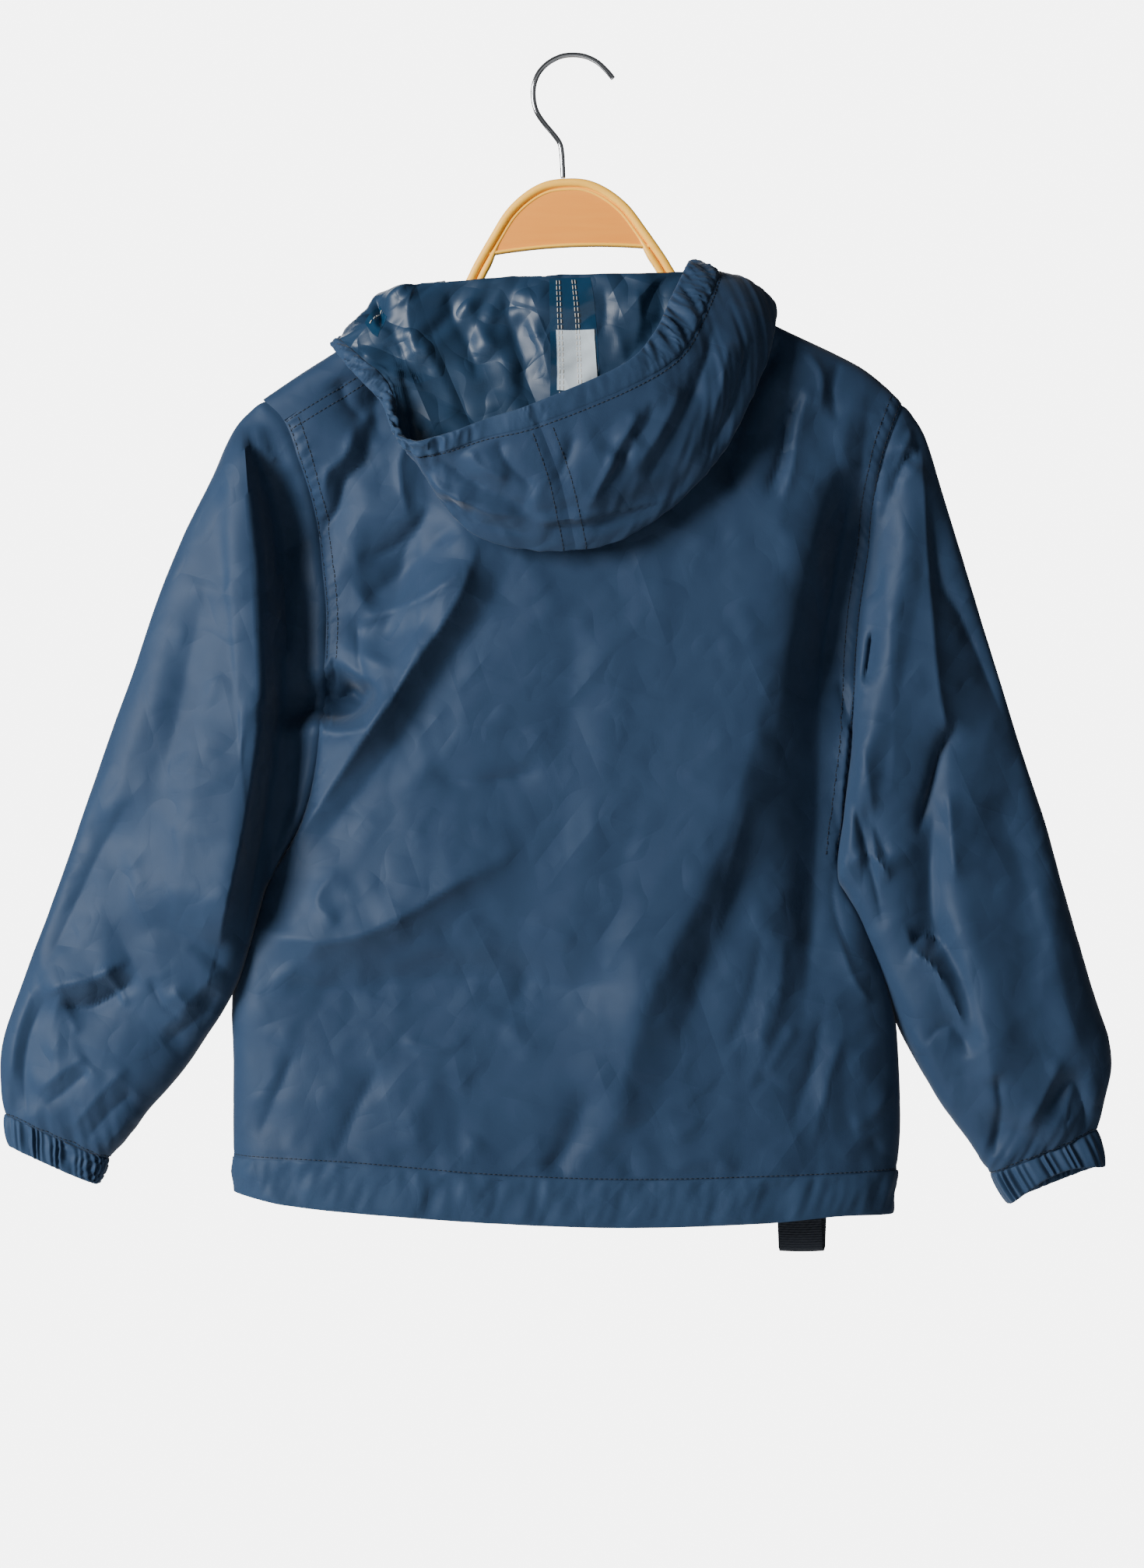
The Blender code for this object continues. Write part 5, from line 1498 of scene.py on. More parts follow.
@dataclass
class Torso:
    """The back, the two fronts, their hem casings and their stitches.

    Attributes:
        wardrobe: the finishes.
        columns: points across the back.
        upper: rows from the shoulder to the underarm.
        lower: rows from there to the hem casing.
        outer_columns: points across a front from its side edge to where the shoulder wrap ends.
        inner_columns: points from there to the zip.
        wrap_share: the share of the way to the side edge where the left shoulder's wrap ends.
        wrap_rows: its rows from the seam on the back: from, to and how many.
        hem_thick: how thick the hem casing is, in millimetres.
        hem_lift: how far its middle stands out from the cloth's line.
        hem_rows: rows across it, the first one tucked behind its seam.
        hem_dense: its columns to each of the panel's.
        seam_dip: how deep the armhole seam is sunk.
        armhole_rows: the two stitch rows' distances from the armhole's edge.
        shoulder_rows: the same at the left shoulder.
        seam_row: the distance of the stitches over the back's hem casing.
        front_seam_row: the same on the fronts.
        zip_row: the distance of the stitches beside the zip.
        back_flat: the back's flat size in metres; not used.
        front_flat: each front's flat size in metres; not used.
        stitch: the kind of stitch.
    """

    wardrobe: Wardrobe
    columns: int = 178
    upper: int = 118
    lower: int = 76
    outer_columns: int = 52
    inner_columns: int = 38
    wrap_share: float = 0.4
    wrap_rows: Span = (1, 0.03, 14)
    hem_thick: float = 1.2
    hem_lift: float = 0.6
    hem_rows: Span = (-0.1, 1, 10)
    hem_dense: int = 3
    seam_dip: float = 1.4
    armhole_rows: tuple[float, float] = (1.8, 9.6)
    shoulder_rows: tuple[float, float] = (1.6, 8.0)
    seam_row: float = 3.8
    front_seam_row: float = 1.3
    zip_row: float = 4.0
    back_flat: tuple[float, float] = (0.46, 0.62)
    front_flat: tuple[float, float] = (0.27, 0.64)
    stitch: Stitch = Stitch()

    def column_shares(self) -> np.ndarray:
        """Shares across the back, closer together towards the side edges."""
        place = np.linspace(-1, 1, self.columns)
        return place * 1.25 - 0.25 * place**3

    def dressed(self, cloth: Cloth, upper_rows: int, seed: int) -> Cloth:
        """The cloth with its armhole seam sunk and puckered, and small puckers over the hem casing.

        Args:
            cloth: a panel from its top edge to the hem casing.
            upper_rows: how many of its rows lie above the underarm.
            seed: what its puckers are drawn from.

        Returns:
            The new cloth.
        """
        run = lengths_of(cloth.points, 1)
        down = lengths_of(cloth.points, 0)
        rows = np.arange(cloth.points.shape[0])[:, None]
        at_armhole = 1 - smoothstep(rows, upper_rows - 8, upper_rows)
        gap = np.minimum(run, run[:, -1:] - run)
        dip = -self.seam_dip * np.exp(-((gap / 2.6) ** 2)) * at_armhole
        ripple = np.sin(2 * math.pi * (down / 7.4 + 0.7 * wander(down / 24, gap / 30, seed)))
        band = smoothstep(gap, 0.5, 2.5) * (1 - smoothstep(gap, 8.5, 12.5))
        drawn = smoothstep(wander(down / 50, gap, seed + 1), -0.4, 0.5)
        pucker = 0.65 * ripple * band * at_armhole * (0.35 + 0.65 * drawn)
        from_hem = down[-1:] - down
        lean = run + from_hem * 0.5 * wander(run / 60, from_hem / 50, seed + 4)
        hem = 1.1 * wander(lean / 8.5, from_hem / 26, seed + 2) * np.exp(-from_hem / 8)
        hem = hem + 1.1 * wander(lean / 22, from_hem / 60, seed + 3) * np.exp(-from_hem / 22)
        hem = hem * (1 - np.exp(-((from_hem / 4) ** 2)))
        sink = 0.6 * np.exp(-((from_hem / 2.2) ** 2)) - 0.3 * np.exp(-(((from_hem - 4) / 1.6) ** 2))
        return cloth.lifted(np.nan_to_num(dip + pucker + hem + sink))

    def hem_casing(
        self, word: str, columns: np.ndarray, face: Face, away: Away, seed: int
    ) -> bpy.types.Object:
        """One panel's hem casing.

        Args:
            word: the panel's name.
            columns: the panel's columns.
            face: the side of the jacket that it lies on.
            away: the direction to the outer side.
            seed: what its puckers are drawn from.

        Returns:
            The object.
        """
        dense = columns_between(columns, self.hem_dense)
        foot = back_hem if face is Face.BACK else front_hem
        x, below = lower_rows(dense, np.linspace(*self.hem_rows), casing_seam, foot, face)
        middle = Cloth(body_points(x, below, face), away).lifted(np.full(x.shape, self.hem_lift))
        hem = casing_object(
            f"{word}_hem_casing", middle, [self.wardrobe.casing], self.hem_thick, ruffle=self.hem_ruffle(seed)
        )
        return adopt(hem, replaces=[f"hem_{word}"])

    def hem_ruffle(self, seed: int) -> Ruffle:
        """The slanting puckers of the casing between its seam and its free edge."""

        def ruffle(length: np.ndarray, share: np.ndarray) -> np.ndarray:
            """How far the casing is pushed out."""
            slant = length + 13 * share
            fine = wander(slant / 7.5, share * 1.6, seed) * (1 - 0.45 * share)
            broad = wander(slant / 24, share * 1.2 + 7, seed + 1)
            return (1.25 * fine + 1.6 * broad) * (1 - (2 * share - 1) ** 4)

        return ruffle

    def build_back(self) -> list[bpy.types.Object]:
        """The back panel, its hem casing and their stitches."""
        columns = self.column_shares()
        shares = np.linspace(0, 1, self.upper) ** 1.12
        x_upper, below_upper = panel_rows(columns, shares, Face.BACK)
        x_lower, below_lower = lower_rows(
            columns, np.linspace(0, 1, self.lower)[1:], underarm, casing_seam, Face.BACK
        )
        x, below = np.vstack([x_upper, x_lower]), np.vstack([below_upper, below_lower])
        cloth = self.dressed(Cloth(body_points(x, below, Face.BACK)), self.upper, BACK_SEAM_SEED)
        panel = sheet_object("back_shell", cloth, [self.wardrobe.nylon, self.wardrobe.lining])
        adopt(panel, replaces=["back_panel"])
        hem = self.hem_casing("back", columns, Face.BACK, facing_back, BACK_HEM_SEED)
        rows = []
        last = self.upper - 4
        for start, end in ((True, int(0.58 * self.upper)), (False, last)):
            for distance in self.armhole_rows:
                places = cloth.inset_columns(distance, start)[2:end]
                rows.append(cloth.trace(np.arange(2, end), places))
        across = np.arange(1, cloth.points.shape[1] - 1, dtype=float)
        rows.append(cloth.trace(cloth.inset_rows(self.seam_row, False)[1:-1], across))
        left_shoulder = across[: int(0.29 * len(across))]
        for distance in self.shoulder_rows:
            places = cloth.inset_rows(distance, True)[1 : 1 + len(left_shoulder)]
            rows.append(cloth.trace(places, left_shoulder))
        stitches = stitched("back_stitches", rows, self.wardrobe.navy_thread, self.stitch)
        adopt(stitches)
        return [panel, hem, stitches]

    def build_front(self, side: int) -> list[bpy.types.Object]:
        """One front, with its hem casing and stitches.

        Args:
            side: -1 for the left and 1 for the right.

        Returns:
            The shell, the casing and the stitches.
        """
        word = "left" if side < 0 else "right"
        outer = np.linspace(1, self.wrap_share, self.outer_columns)
        inner = np.linspace(self.wrap_share, 1e-6, self.inner_columns)[1:]
        columns = np.sort(side * np.concatenate([outer, inner]))
        shares = np.linspace(0, 1, self.upper) ** 1.5
        x, below = panel_rows(columns, shares, Face.FRONT)
        x_lower, below_lower = lower_rows(
            columns, np.linspace(0, 1, self.lower)[1:], underarm, casing_seam, Face.FRONT
        )
        points = np.vstack([
            body_points(x, below, Face.FRONT), body_points(x_lower, below_lower, Face.FRONT)
        ])
        upper = self.upper
        if side < 0:
            wrap = self.shoulder_wrap(columns)
            points = np.vstack([wrap, points])
            upper += len(wrap)
        flat = np.nan_to_num(points, nan=0.0)
        cloth = Cloth(points, facing_front)
        normal = normals_of(flat)
        outward = 1 if normal[upper:, :, 1].sum() > 0 else -1
        cloth.out = np.where(np.isnan(points), 0, normal * outward)
        dressed = self.dressed(cloth, upper, FRONT_SEAM_SEED + side)
        panel = sheet_object(f"front_{word}_shell", dressed, [self.wardrobe.nylon, self.wardrobe.lining])
        adopt(panel, replaces=[f"front_{word}"])
        seed = FRONT_HEM_SEED + side
        hem = self.hem_casing(f"front_{word}", columns, Face.FRONT, facing_front, seed)
        first = upper - self.upper
        body = Cloth(points[first:], facing_front)
        body.points, body.out = dressed.points[first:], dressed.out[first:]
        rows = []
        last = self.upper - 4
        armhole_first = side < 0
        for distance in self.armhole_rows:
            places = body.inset_columns(distance, armhole_first)[6:last]
            rows.append(body.trace(np.arange(6, last), places))
        low = body.points.shape[0] - 2
        zip_edge = body.inset_columns(self.zip_row, not armhole_first)[70:low]
        rows.append(body.trace(np.arange(70, low), zip_edge))
        across = np.arange(1, body.points.shape[1] - 1, dtype=float)
        rows.append(body.trace(body.inset_rows(self.front_seam_row, False)[1:-1], across))
        stitches = stitched(f"front_{word}_stitches", rows, self.wardrobe.navy_thread, self.stitch)
        adopt(stitches)
        return [panel, hem, stitches]

    def shoulder_wrap(self, columns: np.ndarray) -> np.ndarray:
        """Rows of the left front's shoulder, from its seam on the back up to just under the ridge.

        Args:
            columns: the front's columns.

        Returns:
            The points, and no numbers where the neck is.
        """
        rows = []
        for share in np.linspace(*self.wrap_rows):
            edge = left_corner_edge(share)
            x = across_body(columns, edge, edge, Face.FRONT)
            below = ridge(x) + (back_top(x) - ridge(x)) * share
            points = body_points(x, below, Face.BACK)
            points[columns > 0.001 - self.wrap_share] = np.nan
            rows.append(points)
        return np.stack(rows)


def columns_between(columns: np.ndarray, count: int) -> np.ndarray:
    """The same columns with count steps to each step."""
    places = np.arange(len(columns), dtype=float)
    dense = np.linspace(0, len(columns) - 1, (len(columns) - 1) * count + 1)
    return np.interp(dense, places, columns)


def like(cloth: Cloth, step: int = 9) -> Away:
    """Takes the outer side of another cloth.

    Args:
        cloth: the cloth to follow.
        step: how many of its rows and columns pass for each one that is looked at.

    Returns:
        A function that gives the cloth's outward normals nearest to the points it is asked about.
    """
    base = cloth.points[::step, ::step].reshape(-1, 3)
    out = cloth.out[::step, ::step].reshape(-1, 3)

    def away(points: np.ndarray) -> np.ndarray:
        """The normal nearest to each point."""
        flat = points.reshape(-1, 3)
        gaps = (base**2).sum(-1)[None, :] - 2 * flat @ base.T
        return out[gaps.argmin(1)].reshape(points.shape)

    return away


def away_from(line: np.ndarray) -> Away:
    """A function that gives the directions away from the nearest points of a line."""

    def away(points: np.ndarray) -> np.ndarray:
        """The offset of each point from the line's nearest point."""
        flat = points.reshape(-1, 3)
        gaps = ((flat[:, None, :] - line[None, :, :]) ** 2).sum(-1)
        return (flat - line[gaps.argmin(1)]).reshape(points.shape)

    return away


@dataclass
class Sleeve:
    """A sleeve, its cuff casing and their stitches. Its rows run down the arm, its columns round it.

    Attributes:
        wardrobe: the finishes.
        side: -1 for the left and 1 for the right.
        rings: the rings round it, from the armhole down.
        cuff_edge: the ring at the cuff's free edge.
        back_folds: the folds that show from behind.
        cuff_lift: how far the cuff's edge dips on the back, in millimetres.
        half_turn: columns on each face.
        rows: rows down the arm.
        power: how boxy its section is; 2 is an ellipse.
        cuff_thick: how thick the cuff's casing is.
        pleat: how far apart its pleats are.
        tuck: how far the sleeve's head stands inside the armhole.
        tilt: how much deeper the back's inner half is than its outer half.
        tilt_left: the share of the tilt that is left at the cuff.
        crushed: how much stronger the creases are low down the arm.
        seam_row: the distance of the stitches over the cuff.
        flat: its flat size in metres; not used.
        stitch: the kind of stitch.
    """

    wardrobe: Wardrobe
    side: int
    rings: Sequence[Ring]
    cuff_edge: Ring
    back_folds: Sequence[Fold]
    cuff_lift: float = 0.0
    half_turn: int = 104
    rows: int = 176
    power: float = 2.8
    cuff_thick: float = 3.0
    pleat: float = 5.0
    tuck: float = 1.8
    tilt: float = 0.55
    tilt_left: float = 1.0
    crushed: float = 0.35
    seam_row: float = 3.6
    flat: tuple[float, float] = (0.36, 0.56)
    stitch: Stitch = Stitch()

    @property
    def word(self) -> str:
        """The sleeve's side in a word."""
        return "left" if self.side < 0 else "right"

    def shares(self) -> tuple[np.ndarray, np.ndarray]:
        """Each column's share from the outer point to the inner one, and whether it lies on the back."""
        turn = np.linspace(0, 2 * math.pi, 2 * self.half_turn + 1)
        return 0.5 - 0.5 * np.cos(turn), turn <= math.pi

    def armhole(self) -> np.ndarray:
        """The armhole's points at the sleeve's columns."""
        share, back = self.shares()
        start = FRONT_CORNERS[0 if self.side < 0 else 1]
        level = start + (UNDERARM - start) * share
        x = read(TORSO, level, self.word)
        depth_back, depth_front = body_depth(x, level, Face.BACK), body_depth(x, level, Face.FRONT)
        y = np.where(back, self.tuck / 2 - depth_back, depth_front - self.tuck / 2)
        return np.stack([x - self.side * self.tuck, y, -level], axis=-1)

    def ring_points(self, ring: Ring) -> np.ndarray:
        """Points round one of the sleeve's rings, without its folds.

        Args:
            ring: the ring.

        Returns:
            A point for each of the sleeve's columns.
        """
        share, back = self.shares()
        bulge = (1 - np.abs(2 * share - 1) ** self.power) ** (1 / self.power)
        x = ring.outer_x + (ring.inner_x - ring.outer_x) * share
        below = ring.outer_below + (ring.inner_below - ring.outer_below) * share
        eased = 1 - (1 - self.tilt_left) * smoothstep(np.array(ring.inner_below), 630, 680)
        lean = np.where(back, 1 + self.tilt * eased * (share - 0.5), 1)
        y = ring.inner_y * share**2 + np.where(back, -1, 1) * ring.depth * bulge * lean
        return np.stack([x, y, -below], axis=-1)

    def front_folds(self) -> list[Fold]:
        """The folds on the sleeve's front; the left sleeve mirrors the right's."""
        if self.side > 0:
            return list(SLEEVE_FRONT_FOLDS)
        turned = []
        for fold in SLEEVE_FRONT_FOLDS:
            path = tuple((2 * SLEEVES_MIDDLE - x, below) for x, below in fold.path)
            turned.append(fold._replace(path=path, left=fold.right, right=fold.left))
        return turned

    def cloth(self) -> Cloth:
        """The sleeve's cloth from the armhole to the cuff's seam."""
        share, back = self.shares()
        control = np.stack([self.armhole()] + [self.ring_points(ring) for ring in self.rings])
        at = np.linspace(0, len(self.rings), self.rows)
        points = smooth_at(control, at)
        points[:, -1] = points[:, 0]
        x, below = points[..., 0], -points[..., 2]
        bulge = (1 - np.abs(2 * share - 1) ** self.power) ** (1 / self.power)
        down = lengths_of(points, 0)
        run = lengths_of(points, 1)
        seen = folds_at(self.back_folds, x, below)
        hidden = folds_at(self.front_folds(), x, below)
        folds = np.where(back[None, :], -seen, hidden)
        folds = folds * bulge[None, :] * smoothstep(down, 0, 16)
        points[..., 1] += folds
        axis = points[:, :-1].mean(axis=1)
        cloth = Cloth(points, away_from(axis))
        seed = LEFT_SLEEVE_SEED if self.side < 0 else RIGHT_SLEEVE_SEED
        edge = smoothstep(bulge, 0.0, 0.8)[None, :]
        ripple = crumple(x, below, seed) * (0.3 + 0.7 * edge) * smoothstep(down, 0, 20)
        left = down[-1:] - down
        lean = run + 4 * wander(run / 60, left / 40, seed + 4)
        gathers = 1.7 * wander(lean / 8.5, left / 30, seed + 5) * np.exp(-((left / 20) ** 1.2))
        gathers = gathers + 1.9 * wander(lean / 19, left / 70, seed + 6) * np.exp(-left / 38)
        crisp = 1.5 * facets(x / 30, (below + 0.6 * x) / 42, seed + 8) * smoothstep(down, 150, 330)
        crushed = 0.3 + self.crushed * smoothstep(down, 200, 360)
        crisp = crisp + creased(x, below, seed + 40) * crushed * smoothstep(down, 4, 22)
        head = crisp * (0.3 + 0.7 * edge) - 1.0 * np.exp(-((down / 2.6) ** 2))
        gathers = gathers * (0.35 + 0.65 * edge) * (1 - np.exp(-((left / 2.5) ** 2)))
        uneven = 0.6 + 0.4 * wander(run / 16, down / 30, seed + 7)
        head = head + 0.9 * np.exp(-(((down - 7) / 5) ** 2)) * uneven
        sink = -0.9 * np.exp(-((left / 2.0) ** 2))
        height = ripple + gathers + head + sink
        height[:, -1] = height[:, 0]
        lifted = cloth.lifted(height)
        lifted.points[:, -1] = lifted.points[:, 0]
        return lifted

    def cuff_middle(self) -> Cloth:
        """The middle surface of the cuff's casing, from its seam to its free edge."""
        share, back = self.shares()
        start, end = self.ring_points(self.rings[-1]), self.ring_points(self.cuff_edge)
        end[:, 2] += np.where(back, self.cuff_lift * np.sin(math.pi * share), 0)
        steps = np.linspace(-0.1, 1, 10)[:, None, None]
        rows = start + (end - start) * steps
        places = np.linspace(0, rows.shape[1] - 1, 3 * (rows.shape[1] - 1) + 1)
        dense = smooth_at(rows.transpose(1, 0, 2), places).transpose(1, 0, 2)
        dense[:, -1] = dense[:, 0]
        return Cloth(dense, away_from(dense[:, :-1].mean(axis=1)))

    def pleats(self, length: np.ndarray, share: np.ndarray) -> np.ndarray:
        """The tight uneven pleats that elastic draws into the cuff.

        Args:
            length: how far round the cuff, in millimetres.
            share: how far from its seam to its edge.

        Returns:
            How far the casing is pushed out.
        """
        whole = length[-1]
        count = round(whole / self.pleat)
        turn = length / whole * count
        slow = np.sin(turn * 2 * math.pi / count * 5)
        quick = np.sin(turn * 2 * math.pi / count * 11 + 1)
        shift = 0.35 * slow + 0.25 * quick
        wave = np.sin(2 * math.pi * (turn + shift) + 0.8 * share)
        deep = 0.75 + 0.45 * np.sin(turn * 2 * math.pi / count * 7 + 2)
        return 1.4 * deep * wave * (1 - 0.55 * np.abs(2 * share - 1) ** 3)

    def build(self) -> list[bpy.types.Object]:
        """The sleeve's shell, its cuff and the stitches on both."""
        cloth = self.cloth()
        shell = sheet_object(
            f"sleeve_{self.word}_shell", cloth, [self.wardrobe.nylon, self.wardrobe.lining], ring=True
        )
        adopt(shell, replaces=[f"sleeve_{self.word}"])
        cuff = casing_object(
            f"cuff_{self.word}_casing", self.cuff_middle(), [self.wardrobe.casing], self.cuff_thick,
            ruffle=self.pleats,
        )
        adopt(cuff, replaces=[f"cuff_{self.word}"])
        around = np.arange(0, cloth.points.shape[1], dtype=float)
        rows = [cloth.trace(cloth.inset_rows(self.seam_row, False), around)]
        stitches = stitched(f"sleeve_{self.word}_stitches", rows, self.wardrobe.navy_thread, self.stitch)
        adopt(stitches)
        return [shell, cuff, stitches]


@dataclass
class Hood:
    """The hood as it hangs down the back: its two halves, rim casing, tapes and stitches.

    Attributes:
        wardrobe: the finishes.
        rows_each: rows from one of a station's points to the next.
        columns_each: columns from one station to the next.
        neck_gap: how far its neck edge stands inside the body's, in millimetres.
        neck_rise: how far it stands above it.
        rim_thick: how thick the rim's casing is where it is drawn in most.
        tape_lift: how far the tapes stand off the cloth.
        tape_wall: how thick they are.
        flat: each half's flat size in metres; not used.
        stations: the lines over the hood, from the left of the zip round to the right.
        outward: the direction to the cloth's outer side.
        stitch: the kind of navy stitch.
        chalk: the kind of white stitch.
    """

    wardrobe: Wardrobe
    rows_each: int = 20
    columns_each: int = 24
    neck_gap: float = 1.2
    neck_rise: float = 2.5
    rim_thick: float = 3.6
    tape_lift: float = 0.5
    tape_wall: float = 0.2
    flat: tuple[float, float] = (0.34, 0.36)
    stations: tuple[Station, ...] = (*HOOD_LEFT, HOOD_CENTRE, *HOOD_RIGHT)
    outward: Away = facing_front
    stitch: Stitch = Stitch()
    chalk: Stitch = Stitch(length=2.5, gap=1.1, width=0.5, lift=0.95)

    def neck_line(self) -> np.ndarray:
        """The neck edge's points, from the zip over the left shoulder and round the back to the zip."""
        left = np.array([share - 1.0 for share in LEFT_COLUMNS])
        right = np.array([1.0 - share for share in reversed(RIGHT_COLUMNS)])
        left_front = np.append(left[:-1], -1e-6)
        right_front = np.insert(right[1:], 0, 1e-6)
        whole = np.concatenate([left, right[1:]])
        runs = []
        for columns, face in ((left_front, Face.FRONT), (whole, Face.BACK), (right_front, Face.FRONT)):
            x, below = panel_rows(columns, np.zeros(1), face)
            runs.append(body_points(x, below, face)[0])
        shoulder = []
        for share in (0.15, 0.5, 1.0):
            edge = left_corner_edge(share)
            x = across_body(left_front[NECK_CORNER : NECK_CORNER + 1], edge, edge, Face.FRONT)
            below = ridge(x) + (back_top(x) - ridge(x)) * share
            shoulder.append(body_points(x, below, Face.BACK)[0])
        line = np.vstack([
            runs[0][: NECK_CORNER - 1 : -1], np.array(shoulder),
            runs[1][NECK_CORNER + 1 : len(whole) - NECK_CORNER],
            runs[2][: len(right_front) - NECK_CORNER - 1][::-1],
        ])
        inward = np.array([CENTRE_X, 0, 0]) - line * np.array([1, 1, 0])
        inward /= np.linalg.norm(inward, axis=1, keepdims=True)
        return line + inward * self.neck_gap + np.array([0, 0, self.neck_rise])

    def grid(self) -> tuple[np.ndarray, np.ndarray, np.ndarray]:
        """The hood's points, and each row's and column's place in the stations' table."""
        neck = self.neck_line()
        lines = []
        for station in self.stations:
            points = [(x, y, -below) for x, y, below in station[1:]]
            lines.append(np.vstack([along(neck, np.array([station.neck])), points]))
        control = np.stack(lines)
        steps = len(control[0]) - 1
        rows_at = np.linspace(0, steps, steps * self.rows_each + 1)
        columns_at = np.linspace(0, len(control) - 1, (len(control) - 1) * self.columns_each + 1)
        points = smooth_at(control.transpose(1, 0, 2), rows_at)
        points = smooth_at(points.transpose(1, 0, 2), columns_at).transpose(1, 0, 2)
        necks = [station.neck for station in self.stations]
        exact = smooth_at(neck, np.interp(columns_at, np.arange(len(necks)), necks))
        ease = np.clip(1 - rows_at, 0, 1)[:, None, None] ** 2
        points = points + (exact - points[0])[None] * ease
        return points, rows_at, columns_at

    def folded(self, points: np.ndarray, rows_at: np.ndarray, columns_at: np.ndarray) -> np.ndarray:
        """The points with the hood's folds and crumples.

        Args:
            points: the smooth hood.
            rows_at: each row's place in the stations' table.
            columns_at: each column's.

        Returns:
            The moved points.
        """
        x, below = points[..., 0], -points[..., 2]
        cloth = Cloth(points, self.outward)
        level = rows_at[:, None]
        nape = smoothstep(level, 0.5, 1.2) * (1 - smoothstep(level, 2.0, 3.0))
        crown = smoothstep(level, 3.8, 4.5) * (1 - smoothstep(level, 5.7, 6.0))
        seen = folds_at(NAPE_FOLDS, x, below) * nape * -1
        seen = seen + folds_at(CROWN_FOLDS, x, below) * crown
        run, down = lengths_of(points, 1), lengths_of(points, 0)
        fine = crumple(run, down, HOOD_SEED) * smoothstep(level, 0.2, 0.8)
        fine = fine * (1 - 0.5 * smoothstep(level, 5.5, 6))
        seed = TAFFETA_SEED
        crisp = facets(run / 33, down / 30, seed) + 1.5 * creased(run * 1.6, down * 1.6, seed + 2)
        inside = 1.2 * facets(run / 40, down / 46, seed + 3) + 1.5 * creased(run * 1.2, down, seed + 3)
        fine = fine + crisp * smoothstep(level, 2.6, 3.4) * (1 - smoothstep(level, 5.2, 5.9))
        fine = 0.6 * fine + inside * smoothstep(level, 0.6, 1.2) * (1 - smoothstep(level, 2.4, 3.2))
        rim = lengths_of(points[::-1], 0)[::-1]
        gather = self.elastic(columns_at)[None, :] * np.exp(-np.clip(rim - 12, 0, None) / 16)
        close, wide = wander(run / 6.5, down / 22, seed + 6), wander(run / 13, down / 30, seed + 7)
        gather = gather * (1.2 * close + 1.2 * wide)
        centre = np.abs(columns_at - len(HOOD_LEFT))[None, :] * self.columns_each
        seam = -0.9 * np.exp(-((centre / 1.6) ** 2)) * smoothstep(level, 3.0, 4.0)
        beside = 0.7 * np.exp(-(((centre - 3) / 1.8) ** 2))
        seam = seam + beside * wander(down / 5, centre, seed + 10) * smoothstep(level, 3.6, 4.2)
        return cloth.lifted(seen + fine + gather + seam).points

    def elastic(self, columns_at: np.ndarray) -> np.ndarray:
        """How tightly the rim is gathered at each column: most at both sides, least over the forehead."""
        left = smoothstep(columns_at, 1.0, 3.0) * (1 - smoothstep(columns_at, 6.2, 7.0))
        right = smoothstep(columns_at, 9.0, 10.4)
        return 0.1 + 0.9 * np.maximum(left, right)

    def oriented(self, points: np.ndarray) -> Cloth:
        """The hood's cloth with its outer side known from the nape, whose inner side faces back."""
        cloth = Cloth(points, facing_front)
        nape = cloth.out[self.rows_each : 2 * self.rows_each, len(points[0]) // 3 : -len(points[0]) // 3]
        if nape[..., 1].sum() < 0:
            cloth.out = -cloth.out
        return cloth

    def cleared(self, points: np.ndarray, rows_at: np.ndarray) -> np.ndarray:
        """The points moved out to lie over the body's cloth where they would sink into it.

        Args:
            points: the hood's points.
            rows_at: each row's place in the stations' table.

        Returns:
            The moved points.
        """
        x, y, below = points[..., 0], points[..., 1], -points[..., 2]
        lift = np.where(rows_at < 1, 4.0, 2.6)[:, None] * np.ones_like(x)
        back = y < 0
        top = np.where(back, back_top(x), front_top(x))
        least_back = body_depth(x, below + lift, Face.BACK) + lift
        least_front = body_depth(x, below + lift, Face.FRONT) + lift
        least = np.where(back, least_back, least_front)
        short = np.where(below + lift < top, 0.0, np.maximum(least - np.abs(y), 0))
        spread = short.copy()
        for _ in range(5):
            padded = np.pad(spread, 1, mode="edge")
            near = (padded[:-2, 1:-1] + padded[2:, 1:-1] + padded[1:-1, :-2] + padded[1:-1, 2:]) / 4
            spread = np.maximum(short, 0.5 * spread + 0.5 * near)
        ease = smoothstep(rows_at, 0.0, 0.35)[:, None]
        moved = points.copy()
        moved[..., 1] += np.where(back, -1, 1) * spread * ease
        return moved

    def film(
        self, name: str, cloth: Cloth, rows: Span, columns: Span, layers: int, material: bpy.types.Material
    ) -> bpy.types.Object:
        """A film stuck inside the hood.

        Args:
            name: the object's name.
            cloth: the hood's cloth.
            rows: from, to and how many, in a station's points from the neck.
            columns: the same in stations from the centre seam.
            layers: how many films lie on the cloth here, with this one.
            material: its finish.

        Returns:
            The object.
        """
        down = np.linspace(*rows) * self.rows_each
        across = len(HOOD_LEFT) * self.columns_each + np.linspace(*columns) * self.columns_each
        points, out = cloth.trace(*np.meshgrid(down, across, indexing="ij"))
        film = Cloth(points - out * layers * self.tape_lift)
        return sheet_object(name, film, [material], wall=self.tape_wall)

    def rim_ruffle(self, elastic: np.ndarray) -> Ruffle:
        """The uneven gathers that the elastic draws into the rim."""

        def ruffle(length: np.ndarray, share: np.ndarray) -> np.ndarray:
            """How far the rim is pushed out."""
            pull = np.interp(np.linspace(0, 1, len(length)), np.linspace(0, 1, len(elastic)), elastic)
            slant = length + 5 * share
            fine = 0.4 - 1.6 * np.abs(wander(slant / 7.6, share * 1.1, RIM_SEED))
            broad = wander(slant / 11, share * 1.2 + 9, RIM_SEED + 1)
            return pull * (2.4 * fine + 1.7 * broad) * (1 - 0.7 * np.abs(2 * share - 1) ** 4)

        return ruffle

